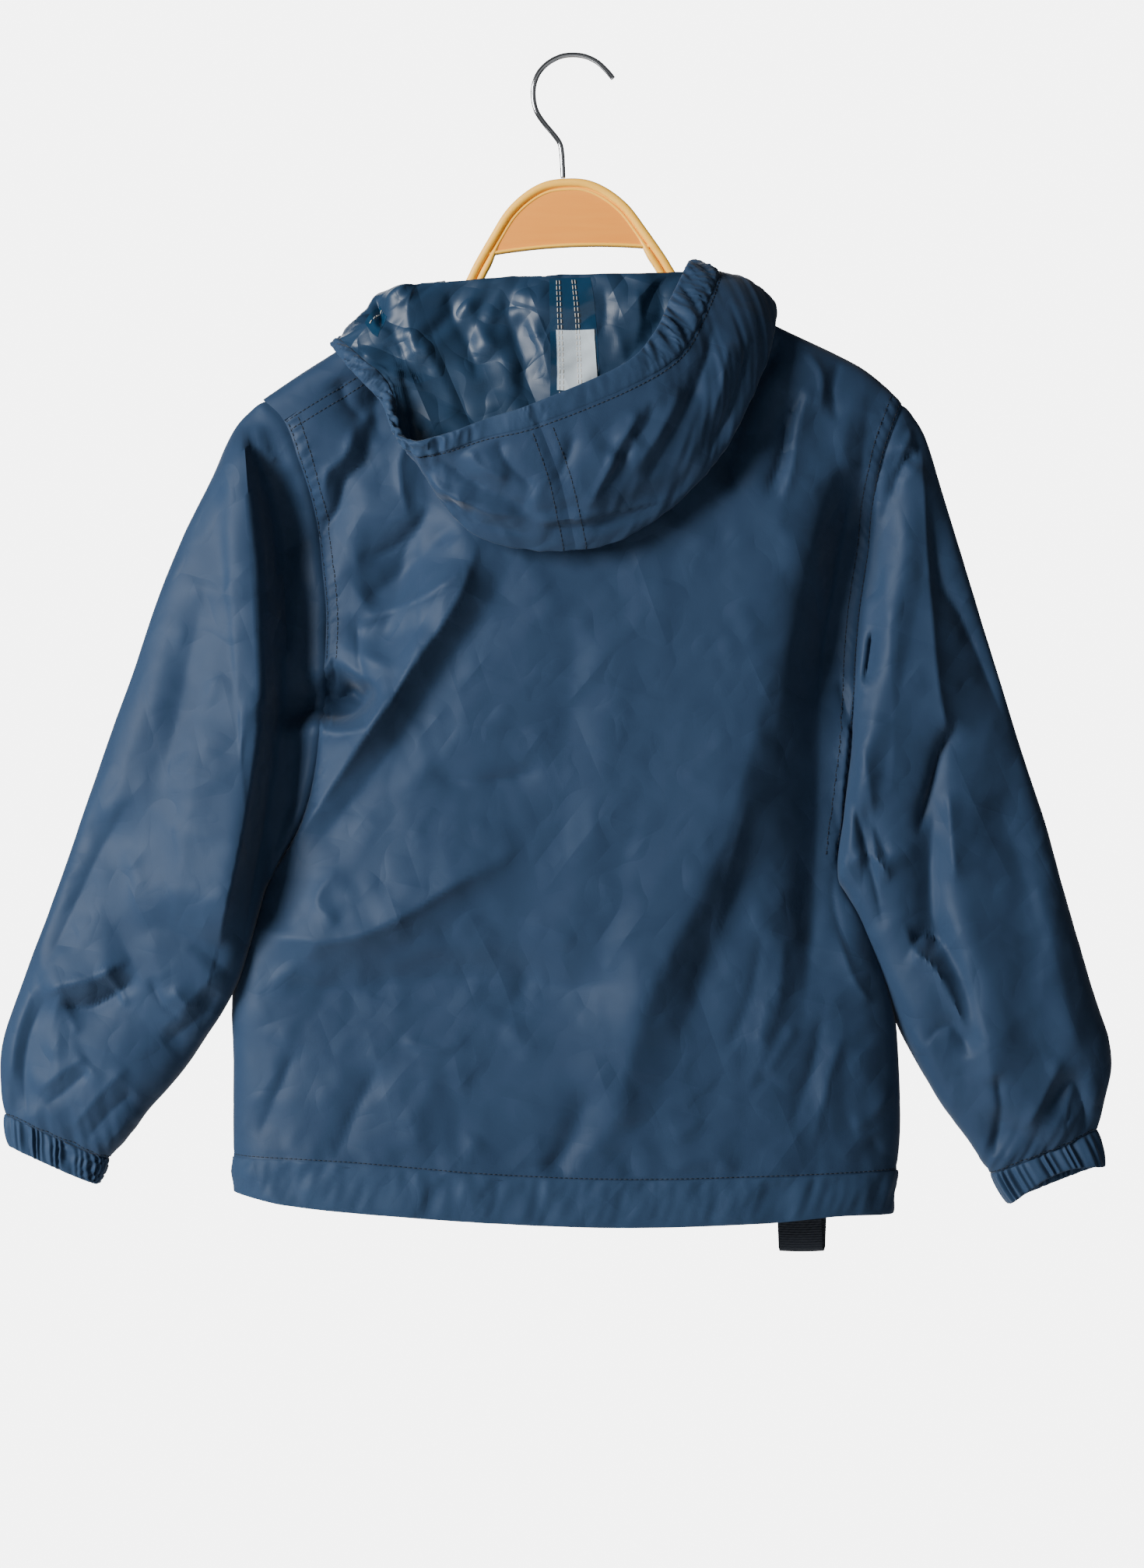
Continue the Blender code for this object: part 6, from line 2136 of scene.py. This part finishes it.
    def build(self) -> list[bpy.types.Object]:
        """The halves, the rim, the two tapes, the patch and all their stitches."""
        points, rows_at, columns_at = self.grid()
        self.outward = like(self.oriented(points))
        points = self.cleared(self.folded(points, rows_at, columns_at), rows_at)
        centre = len(HOOD_LEFT) * self.columns_each
        casing = 6 * self.rows_each
        pieces = []
        for word, part in (("left", slice(0, centre + 1)), ("right", slice(centre, None))):
            cloth = Cloth(points[: casing + 1, part], self.outward)
            half = sheet_object(f"hood_{word}_shell", cloth, [self.wardrobe.nylon, self.wardrobe.lining])
            adopt(half, replaces=[f"hood_{word}"])
            pieces.append(half)
        rim_points = points[casing:]
        places = np.linspace(0, rim_points.shape[1] - 1, 3 * (rim_points.shape[1] - 1) + 1)
        dense = smooth_at(rim_points.transpose(1, 0, 2), places).transpose(1, 0, 2)
        middle = Cloth(dense, self.outward)
        elastic = self.elastic(columns_at)
        pull = np.interp(np.linspace(0, 1, dense.shape[1]), np.linspace(0, 1, len(elastic)), elastic)
        rim = casing_object(
            "hood_rim_casing", middle, [self.wardrobe.casing], 1.0 + (self.rim_thick - 1.0) * pull,
            ruffle=self.rim_ruffle(elastic),
        )
        adopt(rim, replaces=["hood_rim"])
        whole = Cloth(points, self.outward)
        tapes = self.build_tapes(whole)
        stitches = self.build_stitches(whole, centre, casing)
        return pieces + [rim] + tapes + stitches

    def build_tapes(self, whole: Cloth) -> list[bpy.types.Object]:
        """The sealing tape up the nape, the pale patch by its top, and the tape inside the left edge."""
        tape = self.wardrobe.tape
        seam_tape = self.film("hood_seam_tape_film", whole, (1.05, 2.75, 60), (-0.3, 0.36, 12), 1, tape)
        adopt(seam_tape, replaces=["hood_seam_tape"])
        patch = self.film(
            "hood_plain_patch", whole, (1.62, 2.08, 24), (-0.22, 0.32, 12), 2, self.wardrobe.patch
        )
        adopt(patch)
        side_tape = self.film("hood_side_tape_film", whole, (2.0, 3.5, 40), (-4.4, -3.7, 10), 1, tape)
        adopt(side_tape, replaces=["hood_side_tape"])
        return [seam_tape, side_tape, patch]

    def build_stitches(self, whole: Cloth, centre: int, casing: int) -> list[bpy.types.Object]:
        """White rows beside the tapes, and navy rows along the centre seam and the casing.

        Args:
            whole: the hood's cloth.
            centre: the column of its centre seam.
            casing: the row of its rim casing's seam.

        Returns:
            The white and the navy stitches.
        """
        inner = Cloth(whole.points, self.outward)
        inner.out = -whole.out
        white = []
        rows = np.arange(1.1 * self.rows_each, 2.75 * self.rows_each)
        for place in (-0.19, -0.145, 0.055, 0.1):
            white.append(inner.trace(rows, np.full(rows.shape, centre + place * self.columns_each)))
        rows = np.arange(2.0 * self.rows_each, 3.5 * self.rows_each)
        white.append(inner.trace(rows, np.full(rows.shape, centre - 4.2 * self.columns_each)))
        chalk = stitched("hood_white_stitches", white, self.wardrobe.white_thread, self.chalk)
        adopt(chalk)
        navy = []
        rows = np.arange(3.6 * self.rows_each, casing - 1)
        for place in (-0.14, 0.14):
            navy.append(whole.trace(rows, np.full(rows.shape, centre + place * self.columns_each)))
        across = np.arange(0, whole.points.shape[1], dtype=float)
        navy.append(whole.trace(np.full(across.shape, casing - 1.5), across))
        navy.append(inner.trace(np.full(across.shape, casing - 1.5), across))
        dark = stitched("hood_navy_stitches", navy, self.wardrobe.navy_thread, self.stitch)
        adopt(dark)
        return [chalk, dark]


def swept(
    name: str,
    middle: np.ndarray,
    across: np.ndarray,
    section: Sequence[np.ndarray],
    material: bpy.types.Material,
) -> bpy.types.Object:
    """A solid made by carrying a closed section along a line.

    Args:
        name: the object's name.
        middle: the line's points, in millimetres.
        across: at each, the unit direction of the section's first axis; its second is the frame's Y.
        section: at each, the section's points as (across, y) rows, all of one count.
        material: the finish.

    Returns:
        The object, its ends closed.
    """
    rows = []
    for point, way, outline in zip(middle, across, section):
        closed = np.vstack([outline, outline[:1]])
        rows.append(point + closed[:, :1] * way + closed[:, 1:] * np.array([0.0, 1.0, 0.0]))
    grid = np.stack(rows)
    mesh = grid_mesh(name, Cloth(grid, away_from(middle)), True)
    close_tube(mesh, weld=0.01, sharp=40)
    return object_of(mesh, name, [material])


def rounded_box(
    bm: bmesh.types.BMesh, size: Sequence[float], centre: Sequence[float], round_by: float
) -> None:
    """Adds a box with rounded edges. All its measures are in millimetres.

    Args:
        bm: the mesh to add to.
        size: its size along x, y and z.
        centre: its middle.
        round_by: how far its edges are cut back.
    """
    made = bmesh.ops.create_cube(bm, size=1)["verts"]
    bmesh.ops.scale(bm, vec=Vector(size) * MM, verts=made)
    bmesh.ops.translate(bm, vec=Vector(centre) * MM, verts=made)
    edges = {edge for vert in made for edge in vert.link_edges}
    bmesh.ops.bevel(
        bm, geom=list(edges), offset=round_by * MM, offset_type="OFFSET", segments=3, profile=0.5,
        affect="EDGES", material=-1, clamp_overlap=True,
    )


def bmesh_object(name: str, bm: bmesh.types.BMesh, materials: Materials) -> bpy.types.Object:
    """An object from a bmesh, smooth where its faces meet gently."""
    mesh = bpy.data.meshes.new(name)
    bmesh.ops.recalc_face_normals(bm, faces=bm.faces)
    bm.to_mesh(mesh)
    bm.free()
    mesh.shade_smooth()
    mesh.set_sharp_from_angle(angle=SHARP_CAST)
    return object_of(mesh, name, materials)


@dataclass
class Zip:
    """The front's closed coil zip: two woven tapes, the interlocked coils, the slider and its pull tab.

    Attributes:
        wardrobe: the finishes.
        pin: the pull tab's hinge in the frame, in metres.
        chain_width: how wide the closed coil is, in millimetres.
        chain_thick: how thick it is.
        chain_top: how far under the origin it begins.
        tape_width: how wide each tape is.
        inset: how far the tapes lie inside the fronts.
        tooth_pitch: from one tooth to the next on the same side.
        tooth: a tooth's width, depth and height.
        tooth_shift: how far each side's teeth stand from the middle.
        tooth_lean: how much they lean, in radians.
        slider: the slider's width and length, and how thick its plates are.
        slider_rise: how far it stands above the coil's end.
        crown: the crown's width, the thickness of its bar and its length.
        tape_wall: how thick a tape is with the cloth that it is sewn to.
        pull_plate: the pull plate's width, length and thickness.
        pull_arm: the same of its two arms.
        pull_rim: how wide its raised edge is.
        arm_x: how far each arm stands from the middle.
        pin_radius: the radius of the pin.
        pull_lap: how far the arms overlap the plate.
    """

    wardrobe: Wardrobe
    pin: Sequence[float]
    chain_width: float = 4.6
    chain_thick: float = 2.2
    chain_top: float = 224.0
    tape_width: float = 13.0
    inset: float = 0.8
    tooth_pitch: float = 1.5
    tooth: tuple[float, float, float] = (3.1, 1.7, 0.85)
    tooth_shift: float = 0.75
    tooth_lean: float = math.radians(5)
    slider: tuple[float, float, float] = (8.4, 11.0, 1.2)
    slider_rise: float = 2.0
    crown: tuple[float, float, float] = (2.0, 1.1, 9.0)
    tape_wall: float = 1.0
    pull_plate: tuple[float, float, float] = (6.4, 19.0, 1.4)
    pull_arm: tuple[float, float, float] = (1.2, 8.0, 1.4)
    pull_rim: float = 0.9
    arm_x: float = 2.6
    pin_radius: float = 0.7
    pull_lap: float = 1.0

    def line(self, offsets: np.ndarray, inward: float, count: int) -> np.ndarray:
        """Rows down the front.

        Args:
            offsets: each column's distance from the centre, in millimetres.
            inward: how far the rows are moved into the jacket.
            count: how many rows.

        Returns:
            The points.
        """
        foot = float(front_hem(np.array(CENTRE_X))) - 1.0
        below = np.linspace(self.chain_top, foot, count)[:, None]
        x, below = np.broadcast_arrays(CENTRE_X + offsets[None, :], below)
        points = body_points(x, below, Face.FRONT)
        points[..., 1] -= inward
        return points

    def build_tapes(self) -> list[bpy.types.Object]:
        """The two woven tapes."""
        made = []
        for side, word in ((-1, "left"), (1, "right")):
            offsets = side * (self.chain_width / 2 + np.linspace(0.3, self.tape_width, 9))
            cloth = Cloth(self.line(np.sort(offsets), self.inset, 240), facing_front)
            tape = sheet_object(f"zip_tape_{word}_woven", cloth, [self.wardrobe.zip_tape], wall=0.6)
            adopt(tape, replaces=[f"zip_tape_{word}"])
            made.append(tape)
        return made

    def build_coil(self) -> bpy.types.Object:
        """The coil's teeth from both sides, each a small box across the middle."""
        middle = self.line(np.zeros(1), self.inset + self.tape_wall / 2, 400)[:, 0]
        run = run_along(middle)
        bm = bmesh.new()
        count = int((run[-1] - 1) / self.tooth_pitch)
        for k in range(count * 2):
            side = -1 if k % 2 else 1
            at = 0.8 + k * self.tooth_pitch / 2
            point = point_at(at, run, middle) + np.array([side * self.tooth_shift, 0, 0])
            place = Matrix.Translation(Vector(point) * MM)
            lean = Matrix.Rotation(side * self.tooth_lean, 4, "Y")
            width, thick, tall = self.tooth
            size = Matrix.Diagonal((width * MM, thick * MM, tall * MM, 1))
            bmesh.ops.create_cube(bm, size=1, matrix=place @ lean @ size)
        coil = bmesh_object("zip_coil_teeth", bm, [self.wardrobe.coil])
        return adopt(coil, replaces=["zip_chain"])

    def build_slider(self) -> bpy.types.Object:
        """The slider's two plates, their post, and the crown that holds the pull tab."""
        low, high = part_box("zip_slider")
        width, length, plate = self.slider
        crown_width, crown_wall, crown_length = self.crown
        middle = self.slider_rise - self.chain_top - length / 2
        back = low[1] / MM
        gap = self.chain_thick / 2 + 0.6
        chain_y = back + plate + gap
        face = chain_y + gap + plate
        crown_height = high[1] / MM - face
        bm = bmesh.new()
        for y in (back + plate / 2, face - plate / 2):
            rounded_box(bm, (width, plate, length), (CENTRE_X, y, middle), 0.45)
        post = (2.4, 2 * gap + plate, 1.4)
        rounded_box(bm, post, (CENTRE_X, chain_y, middle + (length - post[2]) / 2), 0.3)
        for edge in (-1, 1):
            x = CENTRE_X + edge * (width / 2 - 0.4)
            rounded_box(bm, (0.7, 1.3, length * 0.8), (x, face - plate - 0.5, middle), 0.2)
        rounded_box(bm, self.crown, (CENTRE_X, high[1] / MM - 0.55, middle), 0.35)
        for end in (-1, 1):
            foot = (CENTRE_X, face + crown_height / 2 - 0.1, middle + end * (crown_length - crown_wall) / 2)
            rounded_box(bm, (crown_width, crown_height, crown_wall), foot, 0.3)
        slider = bmesh_object("zip_slider_cast", bm, [self.wardrobe.zinc])
        return adopt(slider, replaces=["zip_slider"])

    def build_pull(self) -> bpy.types.Object:
        """The pull tab: a pin under the crown, two arms, and a plate with four bars across it and a raised
        edge.
        """
        pin = Vector(self.pin) / MM
        width, length, thick = self.pull_plate
        arm_width, arm_length, arm_thick = self.pull_arm
        bm = bmesh.new()
        bar = bmesh.ops.create_cone(
            bm, cap_ends=True, segments=20, radius1=self.pin_radius * MM, radius2=self.pin_radius * MM,
            depth=(2 * self.arm_x + arm_width) * MM,
        )["verts"]
        bmesh.ops.rotate(bm, matrix=Matrix.Rotation(math.pi / 2, 3, "Y"), verts=bar)
        bmesh.ops.translate(bm, vec=pin * MM, verts=bar)
        for side in (-1, 1):
            centre = pin + Vector((side * self.arm_x, 0, self.pin_radius - arm_length / 2))
            rounded_box(bm, (arm_width, arm_thick, arm_length), centre, 0.3)
        plate_z = self.pull_lap - arm_length - length / 2
        rounded_box(bm, (width, thick * 0.7, length), pin + Vector((0, 0, plate_z)), 0.4)
        rim = self.pull_rim
        for side in (-1, 1):
            centre = pin + Vector((side * (width - rim) / 2, 0, plate_z))
            rounded_box(bm, (rim, thick, length - 0.4), centre, 0.3)
        for end in (-1, 1):
            centre = pin + Vector((0, 0, plate_z + end * (length - rim) / 2))
            rounded_box(bm, (width - 0.4, thick, rim), centre, 0.3)
        for k in range(4):
            centre = pin + Vector((0, 0, plate_z - 4.5 + 2.0 * k))
            rounded_box(bm, (width - 2.4, thick * 0.95, 0.8), centre, 0.25)
        pull = bmesh_object("zip_pull_cast", bm, [self.wardrobe.zinc])
        return adopt(pull, body="pull_tab", replaces=["zip_pull"])

    def build(self) -> list[bpy.types.Object]:
        """The whole zip; its two tapes come first."""
        return self.build_tapes() + [self.build_coil(), self.build_slider(), self.build_pull()]


def frame_joint(frame: dict, name: str) -> Sequence[float]:
    """Looks up a joint.

    Args:
        frame: the part's frame.
        name: the joint's name.

    Returns:
        Its place in metres.
    """
    for joint in frame["record"]["behaviour"]["joints"]:
        if joint["name"] == name:
            return joint["pos_m"]
    raise KeyError(name)


@dataclass
class StrapLoop:
    """The loop of dark webbing that hangs from inside the right front's hem.

    Attributes:
        wardrobe: the finishes.
        width: how wide it is, in millimetres.
        left: the x of its left edge.
        wall: how thick the webbing is.
        bottom: how far under the origin it ends.
        layer_gap: from its front layer to its back one.
        skew: how far it leans to the right on its way round.
        inset: how far it hangs inside the front.
        tuck: how far its ends reach up behind the hem.
        leg_steps: points down each layer.
        bend_steps: steps round its bend.
        sag: how much its middle hangs lower than its edges.
    """

    wardrobe: Wardrobe
    width: float = 28.5
    left: float = 131.0
    wall: float = 1.5
    bottom: float = 771.0
    layer_gap: float = 5.0
    skew: float = 5.0
    inset: float = 2.6
    tuck: float = 16.0
    leg_steps: int = 12
    bend_steps: int = 16
    sag: float = 0.5

    def build(self) -> bpy.types.Object:
        """The webbing, down, round its bend and up again, with ribs across it."""
        x = self.left + self.width / 2
        hem = float(front_hem(np.array(x)))
        at = np.array(self.left + self.width + self.skew)
        face = float(body_depth(at, np.array(hem), Face.FRONT)) - self.inset
        radius = self.layer_gap / 2
        top = self.tuck - hem
        bottom = -(self.bottom - self.wall - radius)
        profile = [(-self.layer_gap, z) for z in np.linspace(top, bottom, self.leg_steps)[:-1]]
        for turn in np.linspace(0, math.pi, self.bend_steps + 1):
            profile.append((-radius - radius * math.cos(turn), bottom - radius * math.sin(turn)))
        profile += [(0.0, z) for z in np.linspace(bottom, top, self.leg_steps)[1:]]
        across = np.linspace(0, 1, 25)
        rows = []
        for index, (y, z) in enumerate(profile):
            left = self.left + self.skew * index / (len(profile) - 1)
            sag = self.sag * (1 - (2 * across - 1) ** 2)
            depth = np.full(sag.shape, face + y)
            rows.append(np.stack([left + self.width * across, depth, z - sag], axis=-1))
        middle = np.array([[x, face - radius, z] for z in np.linspace(top, bottom + radius, 6)])
        cloth = Cloth(np.stack(rows), away_from(middle))
        strap = sheet_object("strap_webbing", cloth, [self.wardrobe.webbing], wall=self.wall)
        adopt(strap, replaces=["strap_loop"])
        return strap


@dataclass
class Hanger:
    """The hanger: a bent frame with a rim, a groove and a bead, a recessed panel, a bar and a wire hook.

    Attributes:
        wardrobe: the finishes.
        top: the x and z of its top edge's middle, in millimetres.
        tilt: how far it hangs out of level, in radians.
        band: how wide the frame is on an arm.
        rim: how wide its rim is.
        groove: how wide the groove inside it is.
        bead: how wide the bead inside that is.
        half_thick: half the frame's thickness.
        window: half the panel's width.
        bar_bottom: how far under the top the bar ends.
        bar_height: how high the bar is.
        bar_bow: how far its middle is bowed up.
        panel_thick: how thick the panel is.
        wire: the hook wire's radius.
        tip: the size of the wire's last ring, as a share of the others.
        edge_steps: points from one of a table's points to the next.
    """

    wardrobe: Wardrobe
    top: tuple[float, float] = (-5.5, -78.0)
    tilt: float = math.radians(2.6)
    band: float = 10.0
    rim: float = 5.2
    groove: float = 0.7
    bead: float = 1.9
    half_thick: float = 5.0
    window: float = 46.0
    bar_bottom: float = 47.5
    bar_height: float = 2.7
    bar_bow: float = 3.5
    panel_thick: float = 5.0
    wire: float = 1.65
    tip: float = 0.86
    edge_steps: int = 9

    def place(self, points: np.ndarray) -> np.ndarray:
        """Points (u, v) of the hanger's own plane, as points of the frame."""
        u, v = points[..., 0], points[..., 1]
        cos, sin = math.cos(self.tilt), math.sin(self.tilt)
        x = self.top[0] + u * cos - v * sin
        z = self.top[1] + u * sin + v * cos
        return np.stack([x, np.zeros_like(x), z], axis=-1)

    def smoothed(self, points: np.ndarray) -> np.ndarray:
        """A smooth line through points."""
        last = len(points) - 1
        return smooth_at(points, np.linspace(0, last, last * self.edge_steps + 1))

    def edge(self) -> np.ndarray:
        """The top edge from its left end over the arch to its right end."""
        right = np.array([(row.x, -row.below) for row in HANGER_EDGE], float)
        left = right[:0:-1] * np.array([-1, 1])
        return self.smoothed(np.vstack([left, right]))

    def inward(self, line: np.ndarray) -> np.ndarray:
        """The unit directions to the inner side of the top edge."""
        run = np.gradient(line, axis=0)
        run /= np.linalg.norm(run, axis=1, keepdims=True)
        return np.stack([run[:, 1], -run[:, 0]], axis=-1)

    def section(self, share: float) -> np.ndarray:
        """The frame's section as (inward, y) rows: its rim, groove and bead, or on an arm a second band.

        Args:
            share: 0 inside the window, 1 on an arm.

        Returns:
            The outline, round both faces.
        """
        second = self.bead + (self.band - self.rim - self.groove - self.bead) * share
        half = self.half_thick
        crown = half * (0.62 + 0.3 * share)
        start = self.rim + self.groove
        first = []
        for turn in np.linspace(0, math.pi, 9):
            first.append((self.rim * (0.5 - 0.5 * math.cos(turn)), half * (0.62 + 0.38 * math.sin(turn))))
        last = []
        for turn in np.linspace(0, math.pi, 7):
            inward = start + second * (0.5 - 0.5 * math.cos(turn))
            last.append((inward, crown * (0.72 + 0.28 * math.sin(turn))))
        dip = [(self.rim + self.groove * 0.3, half * 0.42), (self.rim + self.groove * 0.7, half * 0.42)]
        front = [(0.0, 0.0), *first, *dip, *last, (start + second, 0.0)]
        back = [(d, -y) for d, y in reversed(front[1:-1])]
        return np.array(front + back)

    def build_frame(self) -> bpy.types.Object:
        """The bent frame from arm to arm, with the bowed bar below the panel."""
        line = self.edge()
        inward = self.inward(line)
        shares = smoothstep(np.abs(line[:, 0]), self.window + 4, self.window + 14)
        sections = [self.section(float(share)) for share in shares]
        middle = self.place(line)
        across = self.place(line + inward) - middle
        frame = swept("hanger_frame_wood", middle, across, sections, self.wardrobe.pale_wood)
        bar = self.build_bar()
        bm = bmesh.new()
        bm.from_mesh(frame.data)
        bm.from_mesh(bar.data)
        bm.to_mesh(frame.data)
        bm.free()
        bpy.data.objects.remove(bar)
        return adopt(frame, replaces=["hanger_frame"])

    def bar_line(self, half: float, low: float, count: int = 40) -> np.ndarray:
        """The centre bar's bowed line from left to right."""
        share = np.linspace(-1, 1, count)
        return np.stack([half * share, low + self.bar_bow * (1 - share**2)], axis=-1)

    def build_bar(self) -> bpy.types.Object:
        """The bar under the panel, a flattened rod."""
        line = self.bar_line(self.window + 7, -self.bar_bottom + self.bar_height / 2)
        turn = np.linspace(0, 2 * math.pi, 17)[:-1]
        outline = np.stack([
            self.bar_height / 2 * np.sin(turn),
            self.half_thick * 0.7 * np.sign(np.cos(turn)) * np.abs(np.cos(turn)) ** 0.6,
        ], axis=-1)
        middle = self.place(line)
        across = self.place(line + self.inward(line)) - middle
        return swept("hanger_bar", middle, across, [outline] * len(line), self.wardrobe.pale_wood)

    def build_panel(self) -> bpy.types.Object:
        """The recessed panel, up to the bead all round."""
        line = self.edge()
        reach = self.rim + self.groove + self.bead * 0.8
        lower = line + self.inward(line) * reach
        foot = -self.bar_bottom + self.bar_height * 0.6
        arch = lower[(np.abs(lower[:, 0]) < self.window + 3) & (lower[:, 1] > foot)]
        outline = np.vstack([self.bar_line(self.window + 3, foot), arch[::-1]])
        bm = bmesh.new()
        verts = [bm.verts.new(Vector(point) * MM) for point in self.place(outline)]
        face = bm.faces.new(verts)
        sheet = bmesh.ops.extrude_face_region(bm, geom=[face])
        moved = [item for item in sheet["geom"] if isinstance(item, bmesh.types.BMVert)]
        bmesh.ops.translate(bm, vec=(0, self.panel_thick * MM, 0), verts=moved)
        bmesh.ops.translate(bm, vec=(0, -self.panel_thick / 2 * MM, 0), verts=bm.verts)
        bmesh.ops.triangulate(bm, faces=[face for face in bm.faces if len(face.verts) > 4])
        panel = bmesh_object("hanger_panel_wood", bm, [self.wardrobe.tan_wood])
        return adopt(panel, replaces=["hanger_panel"])

    def build_hook(self) -> bpy.types.Object:
        """The chromed wire hook, its tip cut square."""
        line = self.smoothed(np.array([(x, 0.0, z) for x, z in HOOK_ROUTE]))
        run = np.gradient(line, axis=0)
        run /= np.linalg.norm(run, axis=1, keepdims=True)
        across = np.stack([run[:, 2], np.zeros(len(run)), -run[:, 0]], axis=-1)
        turn = np.linspace(0, 2 * math.pi, 25)[:-1]
        outline = self.wire * np.stack([np.cos(turn), np.sin(turn)], axis=-1)
        ends = (0, len(line) - 1)
        sections = [outline * (self.tip if index in ends else 1.0) for index in range(len(line))]
        hook = swept("hanger_hook_wire", line, across, sections, self.wardrobe.chrome)
        return adopt(hook, replaces=["hanger_hook"])

    def build(self) -> list[bpy.types.Object]:
        """The frame, the panel and the hook."""
        return [self.build_frame(), self.build_panel(), self.build_hook()]


@dataclass
class Studio:
    """The camera, the soft lights, the pale world and the pale floor.

    Attributes:
        distance: from the camera to the jacket's plane, in metres.
        aim: the x and z that the camera looks at.
        frame_height: how much of that plane is in view, on its longer side.
        sensor: the camera's sensor, in millimetres.
        middle: the point that the lights face.
        floor_z: how high the floor lies.
        floor_radius: its radius.
    """

    distance: float = 2.6
    aim: tuple[float, float] = (-0.0015, -0.4665)
    frame_height: float = 1.007
    sensor: float = 36.0
    middle: Place = (0.0, 0.0, -0.45)
    floor_z: float = -1.9
    floor_radius: float = 3.0

    def build_camera(self) -> None:
        """A level camera behind the jacket."""
        data = bpy.data.cameras.new("camera")
        data.sensor_width = self.sensor
        data.lens = self.sensor * self.distance / self.frame_height
        camera = bpy.data.objects.new("camera", data)
        camera.location = (self.aim[0], -self.distance, self.aim[1])
        camera.rotation_euler = (math.pi / 2, 0, 0)
        bpy.context.scene.collection.objects.link(camera)
        bpy.context.scene.camera = camera

    def lamp(
        self, name: str, size: tuple[float, float], power: float, place: Place, target: Place
    ) -> bpy.types.Object:
        """A soft rectangular light.

        Args:
            name: its name.
            size: its width and height, in metres.
            power: its power, in watts.
            place: where it stands.
            target: the point that it faces.

        Returns:
            The light.
        """
        data = bpy.data.lights.new(name, "AREA")
        data.shape = "RECTANGLE"
        data.size, data.size_y = size
        data.energy = power
        lamp = bpy.data.objects.new(name, data)
        lamp.location = place
        lamp.rotation_mode = "QUATERNION"
        lamp.rotation_quaternion = (Vector(target) - Vector(place)).to_track_quat("-Z", "Y")
        bpy.context.scene.collection.objects.link(lamp)
        return lamp

    def light_hanger(self, pieces: Sequence[bpy.types.Object]) -> None:
        """A soft light on the hanger alone, as its pale moulding takes more light than the cloth."""
        lit = bpy.data.collections.new("hanger_lit")
        for piece in pieces:
            lit.objects.link(piece)
        lamp = self.lamp("hanger_light", (0.8, 0.8), 13.0, (-0.7, -1.5, 0.5), (0.0, 0.0, -0.12))
        lamp.light_linking.receiver_collection = lit

    def build_lights(self) -> None:
        """A broad key from the upper left, a faint fill, and a rear light for the front."""
        self.lamp("key", (1.2, 1.5), 190.0, (-2.41, -1.74, 0.26), self.middle)
        self.lamp("fill", (1.6, 1.6), 3.4, (0.5, -2.4, -0.3), self.middle)
        self.lamp("rear", (1.6, 1.6), 30.0, (-0.5, 2.3, 0.3), self.middle)

    def build_world(self) -> None:
        """A white field for the camera, and a dim soft one for the light on the cloth."""
        world = bpy.data.worlds.new("pale_room")
        bpy.context.scene.world = world
        world.use_nodes = True
        tree = world.node_tree
        tree.nodes.clear()
        seen = add(tree, "ShaderNodeBackground", {"Color": linear("#F3F3F3"), "Strength": 6.6})
        lit = add(tree, "ShaderNodeBackground", {"Color": linear("#E9EDF2"), "Strength": 0.12})
        ray = add(tree, "ShaderNodeLightPath")
        mix = add(
            tree, "ShaderNodeMixShader", {},
            {0: ray.outputs["Is Camera Ray"], 1: lit.outputs["Background"], 2: seen.outputs["Background"]},
        )
        output = add(tree, "ShaderNodeOutputWorld")
        tree.links.new(mix.outputs["Shader"], output.inputs["Surface"])

    def build_floor(self) -> None:
        """A plain pale disc well under the hanging jacket."""
        bm = bmesh.new()
        bmesh.ops.create_circle(bm, cap_ends=True, segments=96, radius=self.floor_radius)
        bmesh.ops.translate(bm, vec=(0, 0, self.floor_z), verts=bm.verts)
        floor = bmesh_object("floor", bm, [MattPaint("pale_matt_floor", "#EFEFEF").make()])
        floor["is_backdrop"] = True

    def build(self) -> None:
        """The whole studio; the camera comes first."""
        self.build_camera()
        self.build_lights()
        self.build_world()
        self.build_floor()


def main(frame: dict, cad_box: Box) -> None:
    """Builds the studio, the hanger and then the jacket piece by piece.

    Args:
        frame: the part's frame.
        cad_box: the solids' box, in metres; not used.
    """
    studio = Studio()
    studio.build()
    wardrobe = Wardrobe()
    torso = Torso(wardrobe)
    studio.light_hanger(Hanger(wardrobe).build()[:2])
    torso.build_back()
    zip_tapes = Zip(wardrobe, frame_joint(frame, "pull_tab_hinge")).build()[:2]
    for side, tape in zip((-1, 1), zip_tapes):
        torso.build_front(side)
    Sleeve(wardrobe, -1, LEFT_RINGS, LEFT_CUFF, LEFT_SLEEVE_FOLDS, crushed=-0.1).build()
    Sleeve(
        wardrobe, 1, RIGHT_RINGS, RIGHT_CUFF, RIGHT_SLEEVE_FOLDS,
        cuff_lift=9.0, pleat=5.6, tilt=0.95, tilt_left=-0.1,
    ).build()
    Hood(wardrobe).build()
    StrapLoop(wardrobe).build()


if __name__ == "__main__":
    logging.basicConfig(level=logging.INFO, format="%(message)s")
    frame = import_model()
    main(frame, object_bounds())
